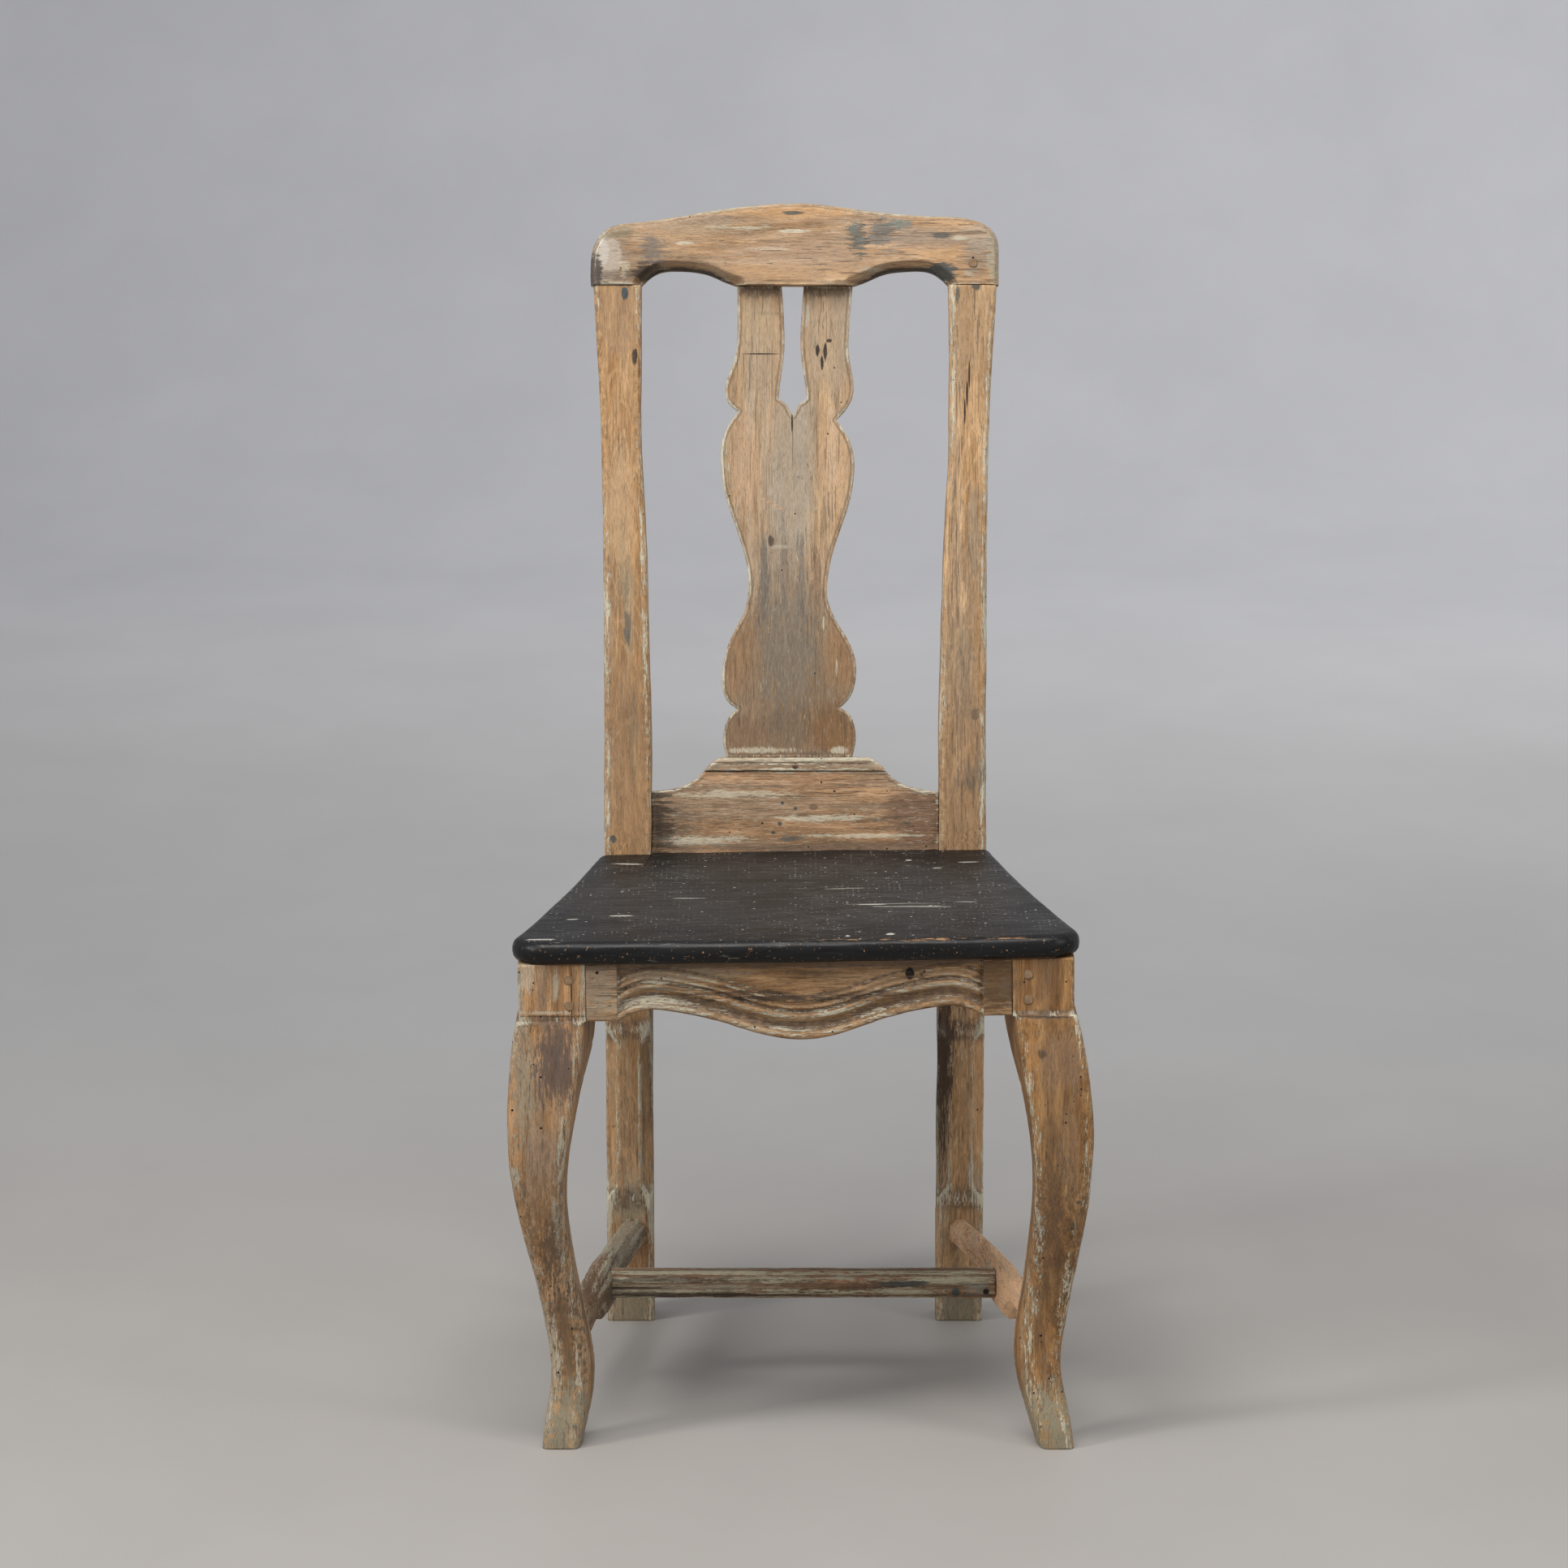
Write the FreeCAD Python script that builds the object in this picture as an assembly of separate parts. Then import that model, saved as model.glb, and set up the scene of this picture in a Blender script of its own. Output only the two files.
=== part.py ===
import FreeCAD, Part
import math
import os

# Rococo side chair with a plank seat, sizes in millimetres.
# The front is -Y and up is +Z. Left and right are -X and +X, as seen from the front.
# The origin lies on the floor, on the middle line of the back and midway from front to back.
# The back leans, so its pieces are made upright and then turned about the bend of the posts.
# In that upright frame, depth runs back from the posts' front face and rise runs up from the bend.

Vec = FreeCAD.Vector
LEFT = -1
RIGHT = 1

# Seat board
SEAT_HEIGHT = 450.0
SEAT_DEPTH = 410.0
SEAT_THICKNESS = 20.0
SEAT_FRONT_HALF = 246.0
SEAT_REAR_OVERHANG = 5.7
SEAT_SIDE_HOLLOW = 4.0
SEAT_FRONT_BOW = 9.0
SEAT_CORNER_RADIUS = 30.0
SEAT_EDGE_RADIUS = 8.5
SEAT_NOTCH_FIT = 0.6
# The seat frame and the front legs have settled to the left by this angle, in degrees.
SEAT_ROLL = 0.8

# Front posts and the cabriole legs below them
POST_WIDTH_LEFT = 57.0
POST_WIDTH_RIGHT = 53.0
POST_DEPTH = 57.0
POST_SIDE_INSET = 11.0
POST_INSET = 12.0
POST_BLOCK_HEIGHT = 49.0
# Each row: height as a share of the ledge height, how far the outer edge, the front end and
# the back end of the inner face, the front face and the back face stand outward or forward of
# the post's own faces, and the corner radius, as shares of the post's depth. The first row
# lies below the floor, where the feet are cut off.
LEG_SHARES = {
    RIGHT: (
        (-0.014, -0.031, 0.425, 0.344, -0.215, 0.270, 0.10),
        (0.045, -0.075, 0.343, 0.210, -0.225, 0.227, 0.13),
        (0.110, -0.164, 0.218, 0.084, -0.308, 0.081, 0.15),
        (0.190, -0.218, 0.132, 0.002, -0.364, -0.036, 0.16),
        (0.270, -0.144, 0.122, 0.042, -0.352, -0.045, 0.16),
        (0.350, -0.053, 0.188, 0.130, -0.276, 0.029, 0.16),
        (0.440, 0.054, 0.234, 0.217, -0.165, 0.133, 0.16),
        (0.540, 0.176, 0.310, 0.283, 0.003, 0.239, 0.15),
        (0.640, 0.248, 0.315, 0.300, 0.115, 0.262, 0.13),
        (0.740, 0.267, 0.285, 0.243, 0.161, 0.203, 0.12),
        (0.840, 0.215, 0.205, 0.100, 0.158, 0.116, 0.10),
        (0.930, 0.133, 0.118, -0.049, 0.119, 0.035, 0.08),
        (1.000, 0.038, 0.050, -0.119, 0.045, 0.000, 0.05),
    ),
    LEFT: (
        (-0.014, -0.192, 0.266, 0.216, -0.215, 0.270, 0.10),
        (0.045, -0.212, 0.233, 0.126, -0.225, 0.227, 0.13),
        (0.110, -0.296, 0.158, 0.023, -0.308, 0.081, 0.15),
        (0.190, -0.344, 0.096, -0.007, -0.364, -0.036, 0.16),
        (0.270, -0.291, 0.132, 0.074, -0.352, -0.045, 0.16),
        (0.350, -0.207, 0.217, 0.170, -0.276, 0.029, 0.16),
        (0.440, -0.075, 0.281, 0.266, -0.165, 0.133, 0.16),
        (0.540, 0.067, 0.365, 0.343, 0.003, 0.239, 0.15),
        (0.640, 0.168, 0.372, 0.344, 0.115, 0.262, 0.13),
        (0.740, 0.203, 0.296, 0.239, 0.161, 0.203, 0.12),
        (0.840, 0.186, 0.173, 0.084, 0.158, 0.116, 0.10),
        (0.930, 0.126, 0.085, -0.074, 0.119, 0.035, 0.08),
        (1.000, 0.049, 0.050, -0.126, 0.045, 0.000, 0.05),
    ),
}

# Rear legs, each in one piece with its back post
STILE_WIDTH = 43.0
STILE_SPREAD = 348.6
STILE_DEPTH = 44.0
STILE_TOP_DEPTH = 28.0
STILE_RISE = 497.0
STILE_SPLAY = 30.0
STILE_FOOT_DEPTH = 40.0
STILE_STRAIGHT_DROP = 120.0
BEND_RISE = 20.0
BACK_RAKE = 8.5
STILE_CHAMFER = 11.0
STILE_CHAMFER_TOP = 284.0
STILE_CHAMFER_FOOT = 121.0
STILE_CHAMFER_RUN = 14.0
CHAMFER_TIP_SHARE = 0.02
# Each row: height as a share of the post's rise above the bend, then how far the outer and
# the inner edge stand outward of the leg's edges, as shares of its width.
STILE_EDGE_SHARES = (
    (0.16, 0.000, 0.000),
    (0.32, 0.003, 0.045),
    (0.50, 0.012, 0.095),
    (0.62, 0.030, 0.165),
    (0.72, 0.055, 0.212),
    (0.84, 0.110, 0.220),
    (1.00, 0.225, 0.200),
)

# Crest rail
CREST_OVERHANG = 2.0
CREST_PEAK = 74.5
CREST_THICKNESS = 30.0
CREST_PROUD = 1.0
CREST_EDGE_RADIUS = 7.0
CREST_ARCH_INNER = 54.0
CREST_ARCH_RISE = 13.4
CREST_ARCH_CHAMFER = 8.5
CREST_ARCH_CHAMFER_DEPTH = 12.0
# Top outline from each end to the peak: half-length share, peak share.
CREST_TOP_SHARES = {
    LEFT: (
        (1.000, 0.00),
        (1.000, 0.22),
        (0.980, 0.50),
        (0.925, 0.675),
        (0.770, 0.768),
        (0.470, 0.880),
        (0.185, 0.974),
    ),
    RIGHT: (
        (1.000, 0.00),
        (1.000, 0.33),
        (0.978, 0.635),
        (0.900, 0.775),
        (0.690, 0.842),
        (0.385, 0.905),
        (0.150, 0.982),
    ),
}
# Arch under the crest: share of the way from its inner end to the post, share of its rise.
CREST_ARCH_SHARES = (
    (0.00, 0.00),
    (0.12, 0.28),
    (0.30, 0.76),
    (0.58, 1.00),
    (0.84, 0.82),
    (1.00, 0.00),
)

# Lower back rail and its cap strip
BACK_RAIL_RECESS = 10.0
BACK_RAIL_THICKNESS = 20.0
BACK_RAIL_END_HEIGHT = 55.3
BACK_RAIL_HEIGHT = 74.3
CAP_HALF_LENGTH = 83.0
CAP_TOP_HALF = 68.3
CAP_HEIGHT = 12.2
CAP_OVERHANG = 2.0
CAP_END_BULGE = 1.3
# Hollow at each end of the rail: share of the way from the cap to the post, share of the drop.
BACK_RAIL_HOLLOW_SHARES = (
    (0.00, 0.00),
    (0.10, 0.27),
    (0.27, 0.58),
    (0.63, 0.885),
    (1.00, 1.00),
)
CAP_NAIL_RADIUS = 1.6
CAP_NAIL_HEAD_RADIUS = 2.6
CAP_NAIL_HEAD_HEIGHT = 1.2
CAP_NAIL_LENGTH = 24.0
CAP_NAIL_SLOPE = 40.0
CAP_NAIL_RISE = 5.0

# Splat, drawn about its own centre line
SPLAT_SHIFT = -5.5
SPLAT_HALF_WIDTH = 62.0
SPLAT_THICKNESS = 11.0
SPLAT_SETBACK = 14.0
SPLAT_TENON_SHOULDER = 5.0
SPLAT_TENON_THICKNESS = 8.0
SPLAT_TOP_TENON = 12.0
SPLAT_FOOT_TENON = 20.0
SPLAT_FOOT_TENON_HALF = 44.0
# Edges from the foot up in three stretches, cut apart by the notches: share of the splat's
# height, share of its half-width from its centre line.
SPLAT_SHARES = {
    LEFT: (
        ((0.000, 0.92), (0.030, 0.97), (0.065, 0.945), (0.090, 0.86), (0.102, 0.76)),
        ((0.102, 0.76), (0.122, 0.92), (0.152, 0.985), (0.186, 0.98), (0.225, 0.93),
         (0.270, 0.80), (0.310, 0.66), (0.355, 0.600), (0.403, 0.617), (0.453, 0.705),
         (0.503, 0.82), (0.553, 0.937), (0.611, 1.000), (0.662, 1.000), (0.695, 0.935),
         (0.734, 0.75)),
        ((0.734, 0.75), (0.752, 0.895), (0.774, 0.940), (0.799, 0.92), (0.837, 0.82),
         (0.896, 0.76), (1.000, 0.763)),
    ),
    RIGHT: (
        ((0.000, 0.93), (0.040, 0.984), (0.070, 0.96), (0.095, 0.87), (0.105, 0.75)),
        ((0.105, 0.75), (0.128, 0.90), (0.160, 0.970), (0.194, 0.984), (0.232, 0.92),
         (0.265, 0.80), (0.303, 0.645), (0.335, 0.565), (0.378, 0.565), (0.428, 0.63),
         (0.474, 0.73), (0.520, 0.842), (0.562, 0.919), (0.611, 0.960), (0.645, 0.948),
         (0.690, 0.83), (0.716, 0.70)),
        ((0.716, 0.70), (0.738, 0.84), (0.765, 0.935), (0.800, 0.942), (0.853, 0.88),
         (0.900, 0.878), (1.000, 0.935)),
    ),
}
SLIT_SHIFT = 3.2
SLIT_HALF_WIDTH = 12.5
# Half of the slit from its point up: share of the splat's height, share of the half-width.
SLIT_POINT_SHARES = ((0.726, 0.00), (0.738, 0.24), (0.749, 0.42), (0.762, 1.00))
SLIT_EDGE_SHARES = ((0.762, 1.00), (0.800, 0.88), (0.845, 0.66), (0.915, 0.62), (1.000, 0.80))

# Front seat rail with its carved moulding
APRON_THICKNESS = 27.0
APRON_END_LEFT = 27.0
APRON_END_RIGHT = 24.0
APRON_HANG = 18.5
APRON_ARCH = 9.0
# Right half of the lower edge: share of the field's half-length, share of the whole rise.
APRON_EDGE_SHARES = (
    (0.00, 0.000),
    (0.20, 0.160),
    (0.45, 0.610),
    (0.70, 0.927),
    (0.80, 1.000),
    (0.90, 0.930),
)
MOULDING_HEIGHT = 37.0
MOULDING_DEPTH = 6.5
# Profile up from the lower edge: share of the moulding's height, share of its depth.
MOULDING_SHARES = (
    (0.000, 0.40),
    (0.035, 0.16),
    (0.105, 0.12),
    (0.150, 0.40),
    (0.175, 0.80),
    (0.270, 1.00),
    (0.390, 0.78),
    (0.480, 0.32),
    (0.560, 0.25),
    (0.620, 0.65),
    (0.670, 0.65),
    (0.730, 0.22),
    (0.800, 0.50),
    (0.890, 0.28),
    (0.960, 0.70),
    (1.000, 0.75),
)

# Side and rear seat rails
SIDE_RAIL_THICKNESS = 25.0
SIDE_RAIL_INSET = 3.0
REAR_RAIL_THICKNESS = 28.0

# Stretchers
STRETCHER_HALF_WIDTH_LEFT = 11.5
STRETCHER_HALF_WIDTH_RIGHT = 9.5
STRETCHER_HALF_HEIGHT = 13.0
STRETCHER_CORNER = 6.0
STRETCHER_FRONT_HEIGHT_LEFT = 96.0
STRETCHER_FRONT_HEIGHT_RIGHT = 104.0
STRETCHER_REAR_HEIGHT = 89.0
STRETCHER_FRONT_INSET_LEFT = 5.0
STRETCHER_FRONT_INSET_RIGHT = 0.5
STRETCHER_REAR_INSET_LEFT = 3.3
STRETCHER_REAR_INSET_RIGHT = 0.8
STRETCHER_BOW_LEFT = 2.5
STRETCHER_BOW_RIGHT = 4.7
STRETCHER_HOUSING = 4.0
STRETCHER_END_RUN = 10.0
KNUCKLE_HEIGHT = 87.5
KNUCKLE_HALF_HEIGHT = 20.5
KNUCKLE_HALF_LENGTH = 34.0
KNUCKLE_RAMP = 26.0
KNUCKLE_CORNER = 7.0
KNUCKLE_HALF_WIDTH_LEFT = 12.5
KNUCKLE_HALF_WIDTH_RIGHT = 11.0
CROSS_HALF_WIDTH = 13.0
CROSS_HALF_HEIGHT = 12.0
CROSS_CORNER = 6.0
CROSS_SETBACK = 235.0
CROSS_RISE = 4.0

# Joints
TENON_THICKNESS = 10.0
TENON_SHOULDER = 5.0
TENON_TOP_SHOULDER = 8.0
APRON_TENON_LENGTH = 28.0
SIDE_TENON_LENGTH = 26.0
SIDE_REAR_TENON_LENGTH = 24.0
REAR_TENON_LENGTH = 17.0
BACK_RAIL_TENON_LENGTH = 22.0
CREST_TENON_LENGTH = 34.0
CREST_TENON_SHOULDER = 11.0
STRETCHER_TENON_LENGTH = 16.0
STRETCHER_TENON_HALF_HEIGHT = 8.0
STRETCHER_TENON_THICKNESS = 9.0
CROSS_TENON_LENGTH = 14.0
PEG_RADIUS = 4.0
PEG_LENGTH = 34.0
PEG_PROUD = 0.4
SIDE_PEG_LENGTH = 25.0
CREST_PEG_LENGTH = 25.0
CREST_PEG_RISE_LEFT = 13.0
CREST_PEG_RISE_RIGHT = 20.0
STRETCHER_PEG_RADIUS = 3.0
STRETCHER_PEG_LENGTH = 24.0
STRETCHER_PEG_SUNK = 1.0
PEG_SPACING = 22.0
DOWEL_RADIUS = 4.0
DOWEL_RISE = 12.0
DOWEL_DROP = 18.0
DOWEL_APRON_HALF_SPACING = 110.0
DOWEL_SIDE_SHARES = (0.25, 0.75)
TENON_FIT = 0.2
PEG_FIT = 0.1
OVERRUN = 10.0
CUT_MARGIN = 1.0
QUARTER_TURN = 90.0

# Places that follow from the sizes
rake = math.radians(BACK_RAKE)
settle = math.radians(SEAT_ROLL)
crest_back = CREST_THICKNESS - CREST_PROUD
crest_reach = (STILE_RISE + CREST_PEAK) * math.sin(rake) + crest_back * math.cos(rake)
seat_front_y = -(SEAT_DEPTH + crest_reach) / 2
stile_face_y = seat_front_y + SEAT_DEPTH
stile_back_y = stile_face_y + STILE_DEPTH
rail_top_z = SEAT_HEIGHT - SEAT_THICKNESS
ledge_z = rail_top_z - POST_BLOCK_HEIGHT
pivot_z = SEAT_HEIGHT + BEND_RISE
post_front_y = seat_front_y + POST_INSET
post_back_y = post_front_y + POST_DEPTH
apron_back_y = post_front_y + APRON_THICKNESS
post_outer_x = SEAT_FRONT_HALF - POST_SIDE_INSET
post_inner_x = {LEFT: post_outer_x - POST_WIDTH_LEFT, RIGHT: post_outer_x - POST_WIDTH_RIGHT}
field_end_x = {LEFT: post_inner_x[LEFT] - APRON_END_LEFT, RIGHT: post_inner_x[RIGHT] - APRON_END_RIGHT}
field_half = (field_end_x[LEFT] + field_end_x[RIGHT]) / 2
field_middle_x = (field_end_x[RIGHT] - field_end_x[LEFT]) / 2
beyond_x = 2 * SEAT_FRONT_HALF
stile_outer_x = STILE_SPREAD / 2
stile_inner_x = stile_outer_x - STILE_WIDTH
stile_middle_x = (stile_outer_x + stile_inner_x) / 2
stile_top_outer_x = stile_outer_x + STILE_EDGE_SHARES[-1][1] * STILE_WIDTH
stile_top_inner_x = stile_inner_x + STILE_EDGE_SHARES[-1][2] * STILE_WIDTH
crest_half_length = stile_top_outer_x + CREST_OVERHANG
stile_straight_z = SEAT_HEIGHT - STILE_STRAIGHT_DROP
knuckle_y = seat_front_y + CROSS_SETBACK
tenon_bottom_z = ledge_z + TENON_SHOULDER
tenon_top_z = rail_top_z - TENON_TOP_SHOULDER
peg_heights = (
    ledge_z + (POST_BLOCK_HEIGHT - PEG_SPACING) / 2,
    ledge_z + (POST_BLOCK_HEIGHT + PEG_SPACING) / 2,
)
crest_peg_rises = {LEFT: CREST_PEG_RISE_LEFT, RIGHT: CREST_PEG_RISE_RIGHT}
# Each side stretcher's own sizes
stretcher_half_widths = {LEFT: STRETCHER_HALF_WIDTH_LEFT, RIGHT: STRETCHER_HALF_WIDTH_RIGHT}
stretcher_front_heights = {LEFT: STRETCHER_FRONT_HEIGHT_LEFT, RIGHT: STRETCHER_FRONT_HEIGHT_RIGHT}
stretcher_front_insets = {LEFT: STRETCHER_FRONT_INSET_LEFT, RIGHT: STRETCHER_FRONT_INSET_RIGHT}
stretcher_rear_insets = {LEFT: STRETCHER_REAR_INSET_LEFT, RIGHT: STRETCHER_REAR_INSET_RIGHT}
stretcher_bows = {LEFT: STRETCHER_BOW_LEFT, RIGHT: STRETCHER_BOW_RIGHT}
knuckle_half_widths = {LEFT: KNUCKLE_HALF_WIDTH_LEFT, RIGHT: KNUCKLE_HALF_WIDTH_RIGHT}
# In the upright frame of the back
seat_rise = -BEND_RISE
rail_end_rise = seat_rise + BACK_RAIL_END_HEIGHT
cap_rise = seat_rise + BACK_RAIL_HEIGHT
splat_rise = cap_rise + CAP_HEIGHT
splat_height = STILE_RISE - splat_rise
crest_face_y = stile_face_y - CREST_PROUD
back_rail_face_y = stile_face_y + BACK_RAIL_RECESS
splat_face_y = stile_face_y + SPLAT_SETBACK


def box_between(x0, x1, y0, y1, z0, z1):
    """Box between the given bounds, whichever way round X is given."""
    low_x, high_x = min(x0, x1), max(x0, x1)
    return Part.makeBox(high_x - low_x, y1 - y0, z1 - z0, Vec(low_x, y0, z0))


def tenon(bounds):
    """Tenon that fills its bounds."""
    return box_between(*bounds)


def mortise(bounds):
    """Socket for the tenon with these bounds, with the joint's clearance all round."""
    x0, x1, y0, y1, z0, z1 = bounds
    fit = TENON_FIT
    return box_between(x0 - fit, x1 + fit, y0 - fit, y1 + fit, z0 - fit, z1 + fit)


def point(x, y, rise):
    """Point of the back's upright frame."""
    return Vec(x, y, pivot_z + rise)


def raked(depth, rise):
    """Place on the leaning back, on the middle plane, from its depth and rise."""
    y = stile_face_y + depth * math.cos(rake) + rise * math.sin(rake)
    z = pivot_z - depth * math.sin(rake) + rise * math.cos(rake)
    return Vec(0, y, z)


def lean(shape):
    """The shape turned back about the bend of the posts."""
    leaned = shape.copy()
    leaned.rotate(Vec(0, stile_face_y, pivot_z), Vec(1, 0, 0), -BACK_RAKE)
    return leaned


def roll(shape):
    """The shape turned with the settled seat frame, about the middle of the rails' top."""
    rolled = shape.copy()
    rolled.rotate(Vec(0, 0, rail_top_z), Vec(0, 1, 0), -SEAT_ROLL)
    return rolled


def on_side(shape, side):
    """A shape made on the right, mirrored where the side is the left."""
    if side == LEFT:
        return shape.mirror(Vec(0, 0, 0), Vec(1, 0, 0))
    return shape


def both_sides(shape):
    """The shape and its mirror image."""
    return [shape, on_side(shape, LEFT)]


def line(start, end):
    """Straight edge."""
    return Part.LineSegment(start, end).toShape()


def chain(points):
    """Straight edges from point to point."""
    return [line(start, end) for start, end in zip(points, points[1:])]


def arc(start, middle, end):
    """Round edge through three points."""
    return Part.Arc(start, middle, end).toShape()


def curve(points, first=None, last=None):
    """Smooth edge through the points, with end directions where they are given."""
    spline = Part.BSplineCurve()
    if first is None:
        spline.interpolate(points)
    else:
        spline.interpolate(Points=points, InitialTangent=first, FinalTangent=last)
    return spline.toShape()


def mirrored(points):
    """Points from the right end to the middle, run on to the left end."""
    return points + [Vec(-p.x, p.y, p.z) for p in reversed(points[:-1])]


def flipped(edge):
    """The edge's mirror image on the other side."""
    return edge.mirror(Vec(0, 0, 0), Vec(1, 0, 0))


def prism(edges, direction):
    """Solid swept straight from the flat face inside the edges."""
    return Part.Face(Part.Wire(Part.__sortEdges__(edges))).extrude(direction)


def bend_arc(corner, before, after):
    """Arc that rounds a corner between two points at one distance from it."""
    run = (before - corner).Length
    inward = (before + after) * 0.5 - corner
    half_turn = math.asin(inward.Length / run)
    radius = run / math.tan(half_turn)
    middle = corner + inward.normalize() * (run / math.sin(half_turn) - radius)
    return arc(before, middle, after)


def peg(start, direction, length, radius=PEG_RADIUS):
    """Round peg."""
    return Part.makeCylinder(radius, length, start, direction)


def peg_hole(start, direction, length, radius=PEG_RADIUS):
    """Bore for the peg with these sizes, open at its outer end."""
    return Part.makeCylinder(radius + PEG_FIT, length + OVERRUN, start - direction * OVERRUN, direction)


def write(name, shape):
    """Check a node's solids and write its file."""
    assert shape.Solids and all(solid.isValid() for solid in shape.Solids), name
    shape.exportStep("parts/" + name + ".step")
    box = shape.BoundBox
    sizes = (len(shape.Solids), box.XLength, box.YLength, box.ZLength, shape.Volume)
    print(name, "solids %d, %.1f x %.1f x %.1f, volume %.0f" % sizes)


# Bounds of the tenons on the right, as (x0, x1, y0, y1, z0, z1)


def apron_tenon(side):
    """Tenon of the front seat rail in the front post, as on the right."""
    x0 = post_inner_x[side]
    y0 = post_front_y + (APRON_THICKNESS - TENON_THICKNESS) / 2
    return (x0, x0 + APRON_TENON_LENGTH, y0, y0 + TENON_THICKNESS, tenon_bottom_z, tenon_top_z)


def side_rail_x(y):
    """Middle of the side seat rail at this depth."""
    share = (y - post_back_y) / (stile_face_y - post_back_y)
    outer = post_outer_x + (stile_outer_x - post_outer_x) * share
    return outer - SIDE_RAIL_INSET - SIDE_RAIL_THICKNESS / 2


def side_front_tenon():
    """Tenon of the side seat rail in the front post."""
    x0 = side_rail_x(post_back_y) - TENON_THICKNESS / 2
    y0 = post_back_y - SIDE_TENON_LENGTH
    return (x0, x0 + TENON_THICKNESS, y0, post_back_y, tenon_bottom_z, tenon_top_z)


def side_rear_tenon():
    """Tenon of the side seat rail in the rear leg."""
    x0 = side_rail_x(stile_face_y) - TENON_THICKNESS / 2
    y1 = stile_face_y + SIDE_REAR_TENON_LENGTH
    return (x0, x0 + TENON_THICKNESS, stile_face_y, y1, tenon_bottom_z, tenon_top_z)


def rear_rail_tenon():
    """Tenon of the rear seat rail in the rear leg, rooted a little way inside the rail."""
    y0 = stile_face_y + (REAR_RAIL_THICKNESS - TENON_THICKNESS) / 2
    x0 = stile_inner_x - TENON_SHOULDER
    x1 = stile_inner_x + REAR_TENON_LENGTH
    return (x0, x1, y0, y0 + TENON_THICKNESS, tenon_bottom_z, tenon_top_z)


def back_rail_tenon():
    """Tenon of the lower back rail in the post, in the upright frame."""
    y0 = back_rail_face_y + (BACK_RAIL_THICKNESS - TENON_THICKNESS) / 2
    x1 = stile_inner_x + BACK_RAIL_TENON_LENGTH
    z0 = pivot_z + seat_rise + TENON_SHOULDER
    z1 = pivot_z + rail_end_rise - TENON_TOP_SHOULDER
    return (stile_inner_x, x1, y0, y0 + TENON_THICKNESS, z0, z1)


def crest_tenon():
    """Tenon on the top of the post, in the upright frame."""
    x0 = stile_top_inner_x + CREST_TENON_SHOULDER
    x1 = stile_top_outer_x - CREST_TENON_SHOULDER
    y0 = stile_face_y + (STILE_TOP_DEPTH - TENON_THICKNESS) / 2
    z0 = pivot_z + STILE_RISE
    return (x0, x1, y0, y0 + TENON_THICKNESS, z0, z0 + CREST_TENON_LENGTH)


# Pegs: each function gives start, direction, length and radius of the pegs on the right


def apron_pegs(side):
    """Pegs through the front post and the front rail's tenon, from the front."""
    x = post_inner_x[side] + APRON_TENON_LENGTH / 2
    y = post_front_y - PEG_PROUD
    return [(Vec(x, y, z), Vec(0, 1, 0), PEG_LENGTH, PEG_RADIUS) for z in peg_heights]


def side_pegs():
    """Pegs through post and leg and the side rail's tenons, from outside."""
    front_y = post_back_y - SIDE_TENON_LENGTH / 2
    rear_y = stile_face_y + SIDE_REAR_TENON_LENGTH / 2
    inward = Vec(-1, 0, 0)
    pegs = []
    for z in peg_heights:
        front = Vec(post_outer_x + PEG_PROUD, front_y, z)
        rear = Vec(stile_outer_x + PEG_PROUD, rear_y, z)
        pegs.append((front, inward, SIDE_PEG_LENGTH, PEG_RADIUS))
        pegs.append((rear, inward, SIDE_PEG_LENGTH, PEG_RADIUS))
    return pegs


def rear_pegs():
    """Pegs through the leg and the rear rail's tenon, from behind."""
    x = stile_inner_x + REAR_TENON_LENGTH / 2
    y = stile_back_y + PEG_PROUD
    return [(Vec(x, y, z), Vec(0, -1, 0), PEG_LENGTH, PEG_RADIUS) for z in peg_heights]


def back_rail_peg():
    """Peg through the post and the lower back rail's tenon, from behind, in the upright frame."""
    x0, x1, y0, y1, z0, z1 = back_rail_tenon()
    start = Vec((x0 + x1) / 2, stile_back_y - PEG_PROUD, (z0 + z1) / 2)
    return (start, Vec(0, -1, 0), PEG_LENGTH, PEG_RADIUS)


def crest_peg(side):
    """Peg through the crest and the post's top tenon, from the front, in the upright frame."""
    x = (stile_top_inner_x + stile_top_outer_x) / 2
    start = point(x, crest_face_y - PEG_PROUD, STILE_RISE + crest_peg_rises[side])
    return (start, Vec(0, 1, 0), CREST_PEG_LENGTH, PEG_RADIUS)


# Legs


def leg_section(side, share):
    """Leg sizes at a share of the ledge height, straight between the rows of the table."""
    rows = LEG_SHARES[side]
    for low, high in zip(rows, rows[1:]):
        if share <= high[0]:
            part = (share - low[0]) / (high[0] - low[0])
            return [a + (b - a) * part for a, b in zip(low, high)]
    return list(rows[-1])


def leg_corners(side, row, z):
    """Sharp corners of the leg's section: outer front, outer back, inner back, inner front."""
    outer = post_outer_x + row[1] * POST_DEPTH
    inner_front = post_inner_x[side] + row[2] * POST_DEPTH
    inner_back = post_inner_x[side] + row[3] * POST_DEPTH
    front = post_front_y - row[4] * POST_DEPTH
    back = post_back_y - row[5] * POST_DEPTH
    places = ((outer, front), (outer, back), (inner_back, back), (inner_front, front))
    return [Vec(x, y, z) for x, y in places]


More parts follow.
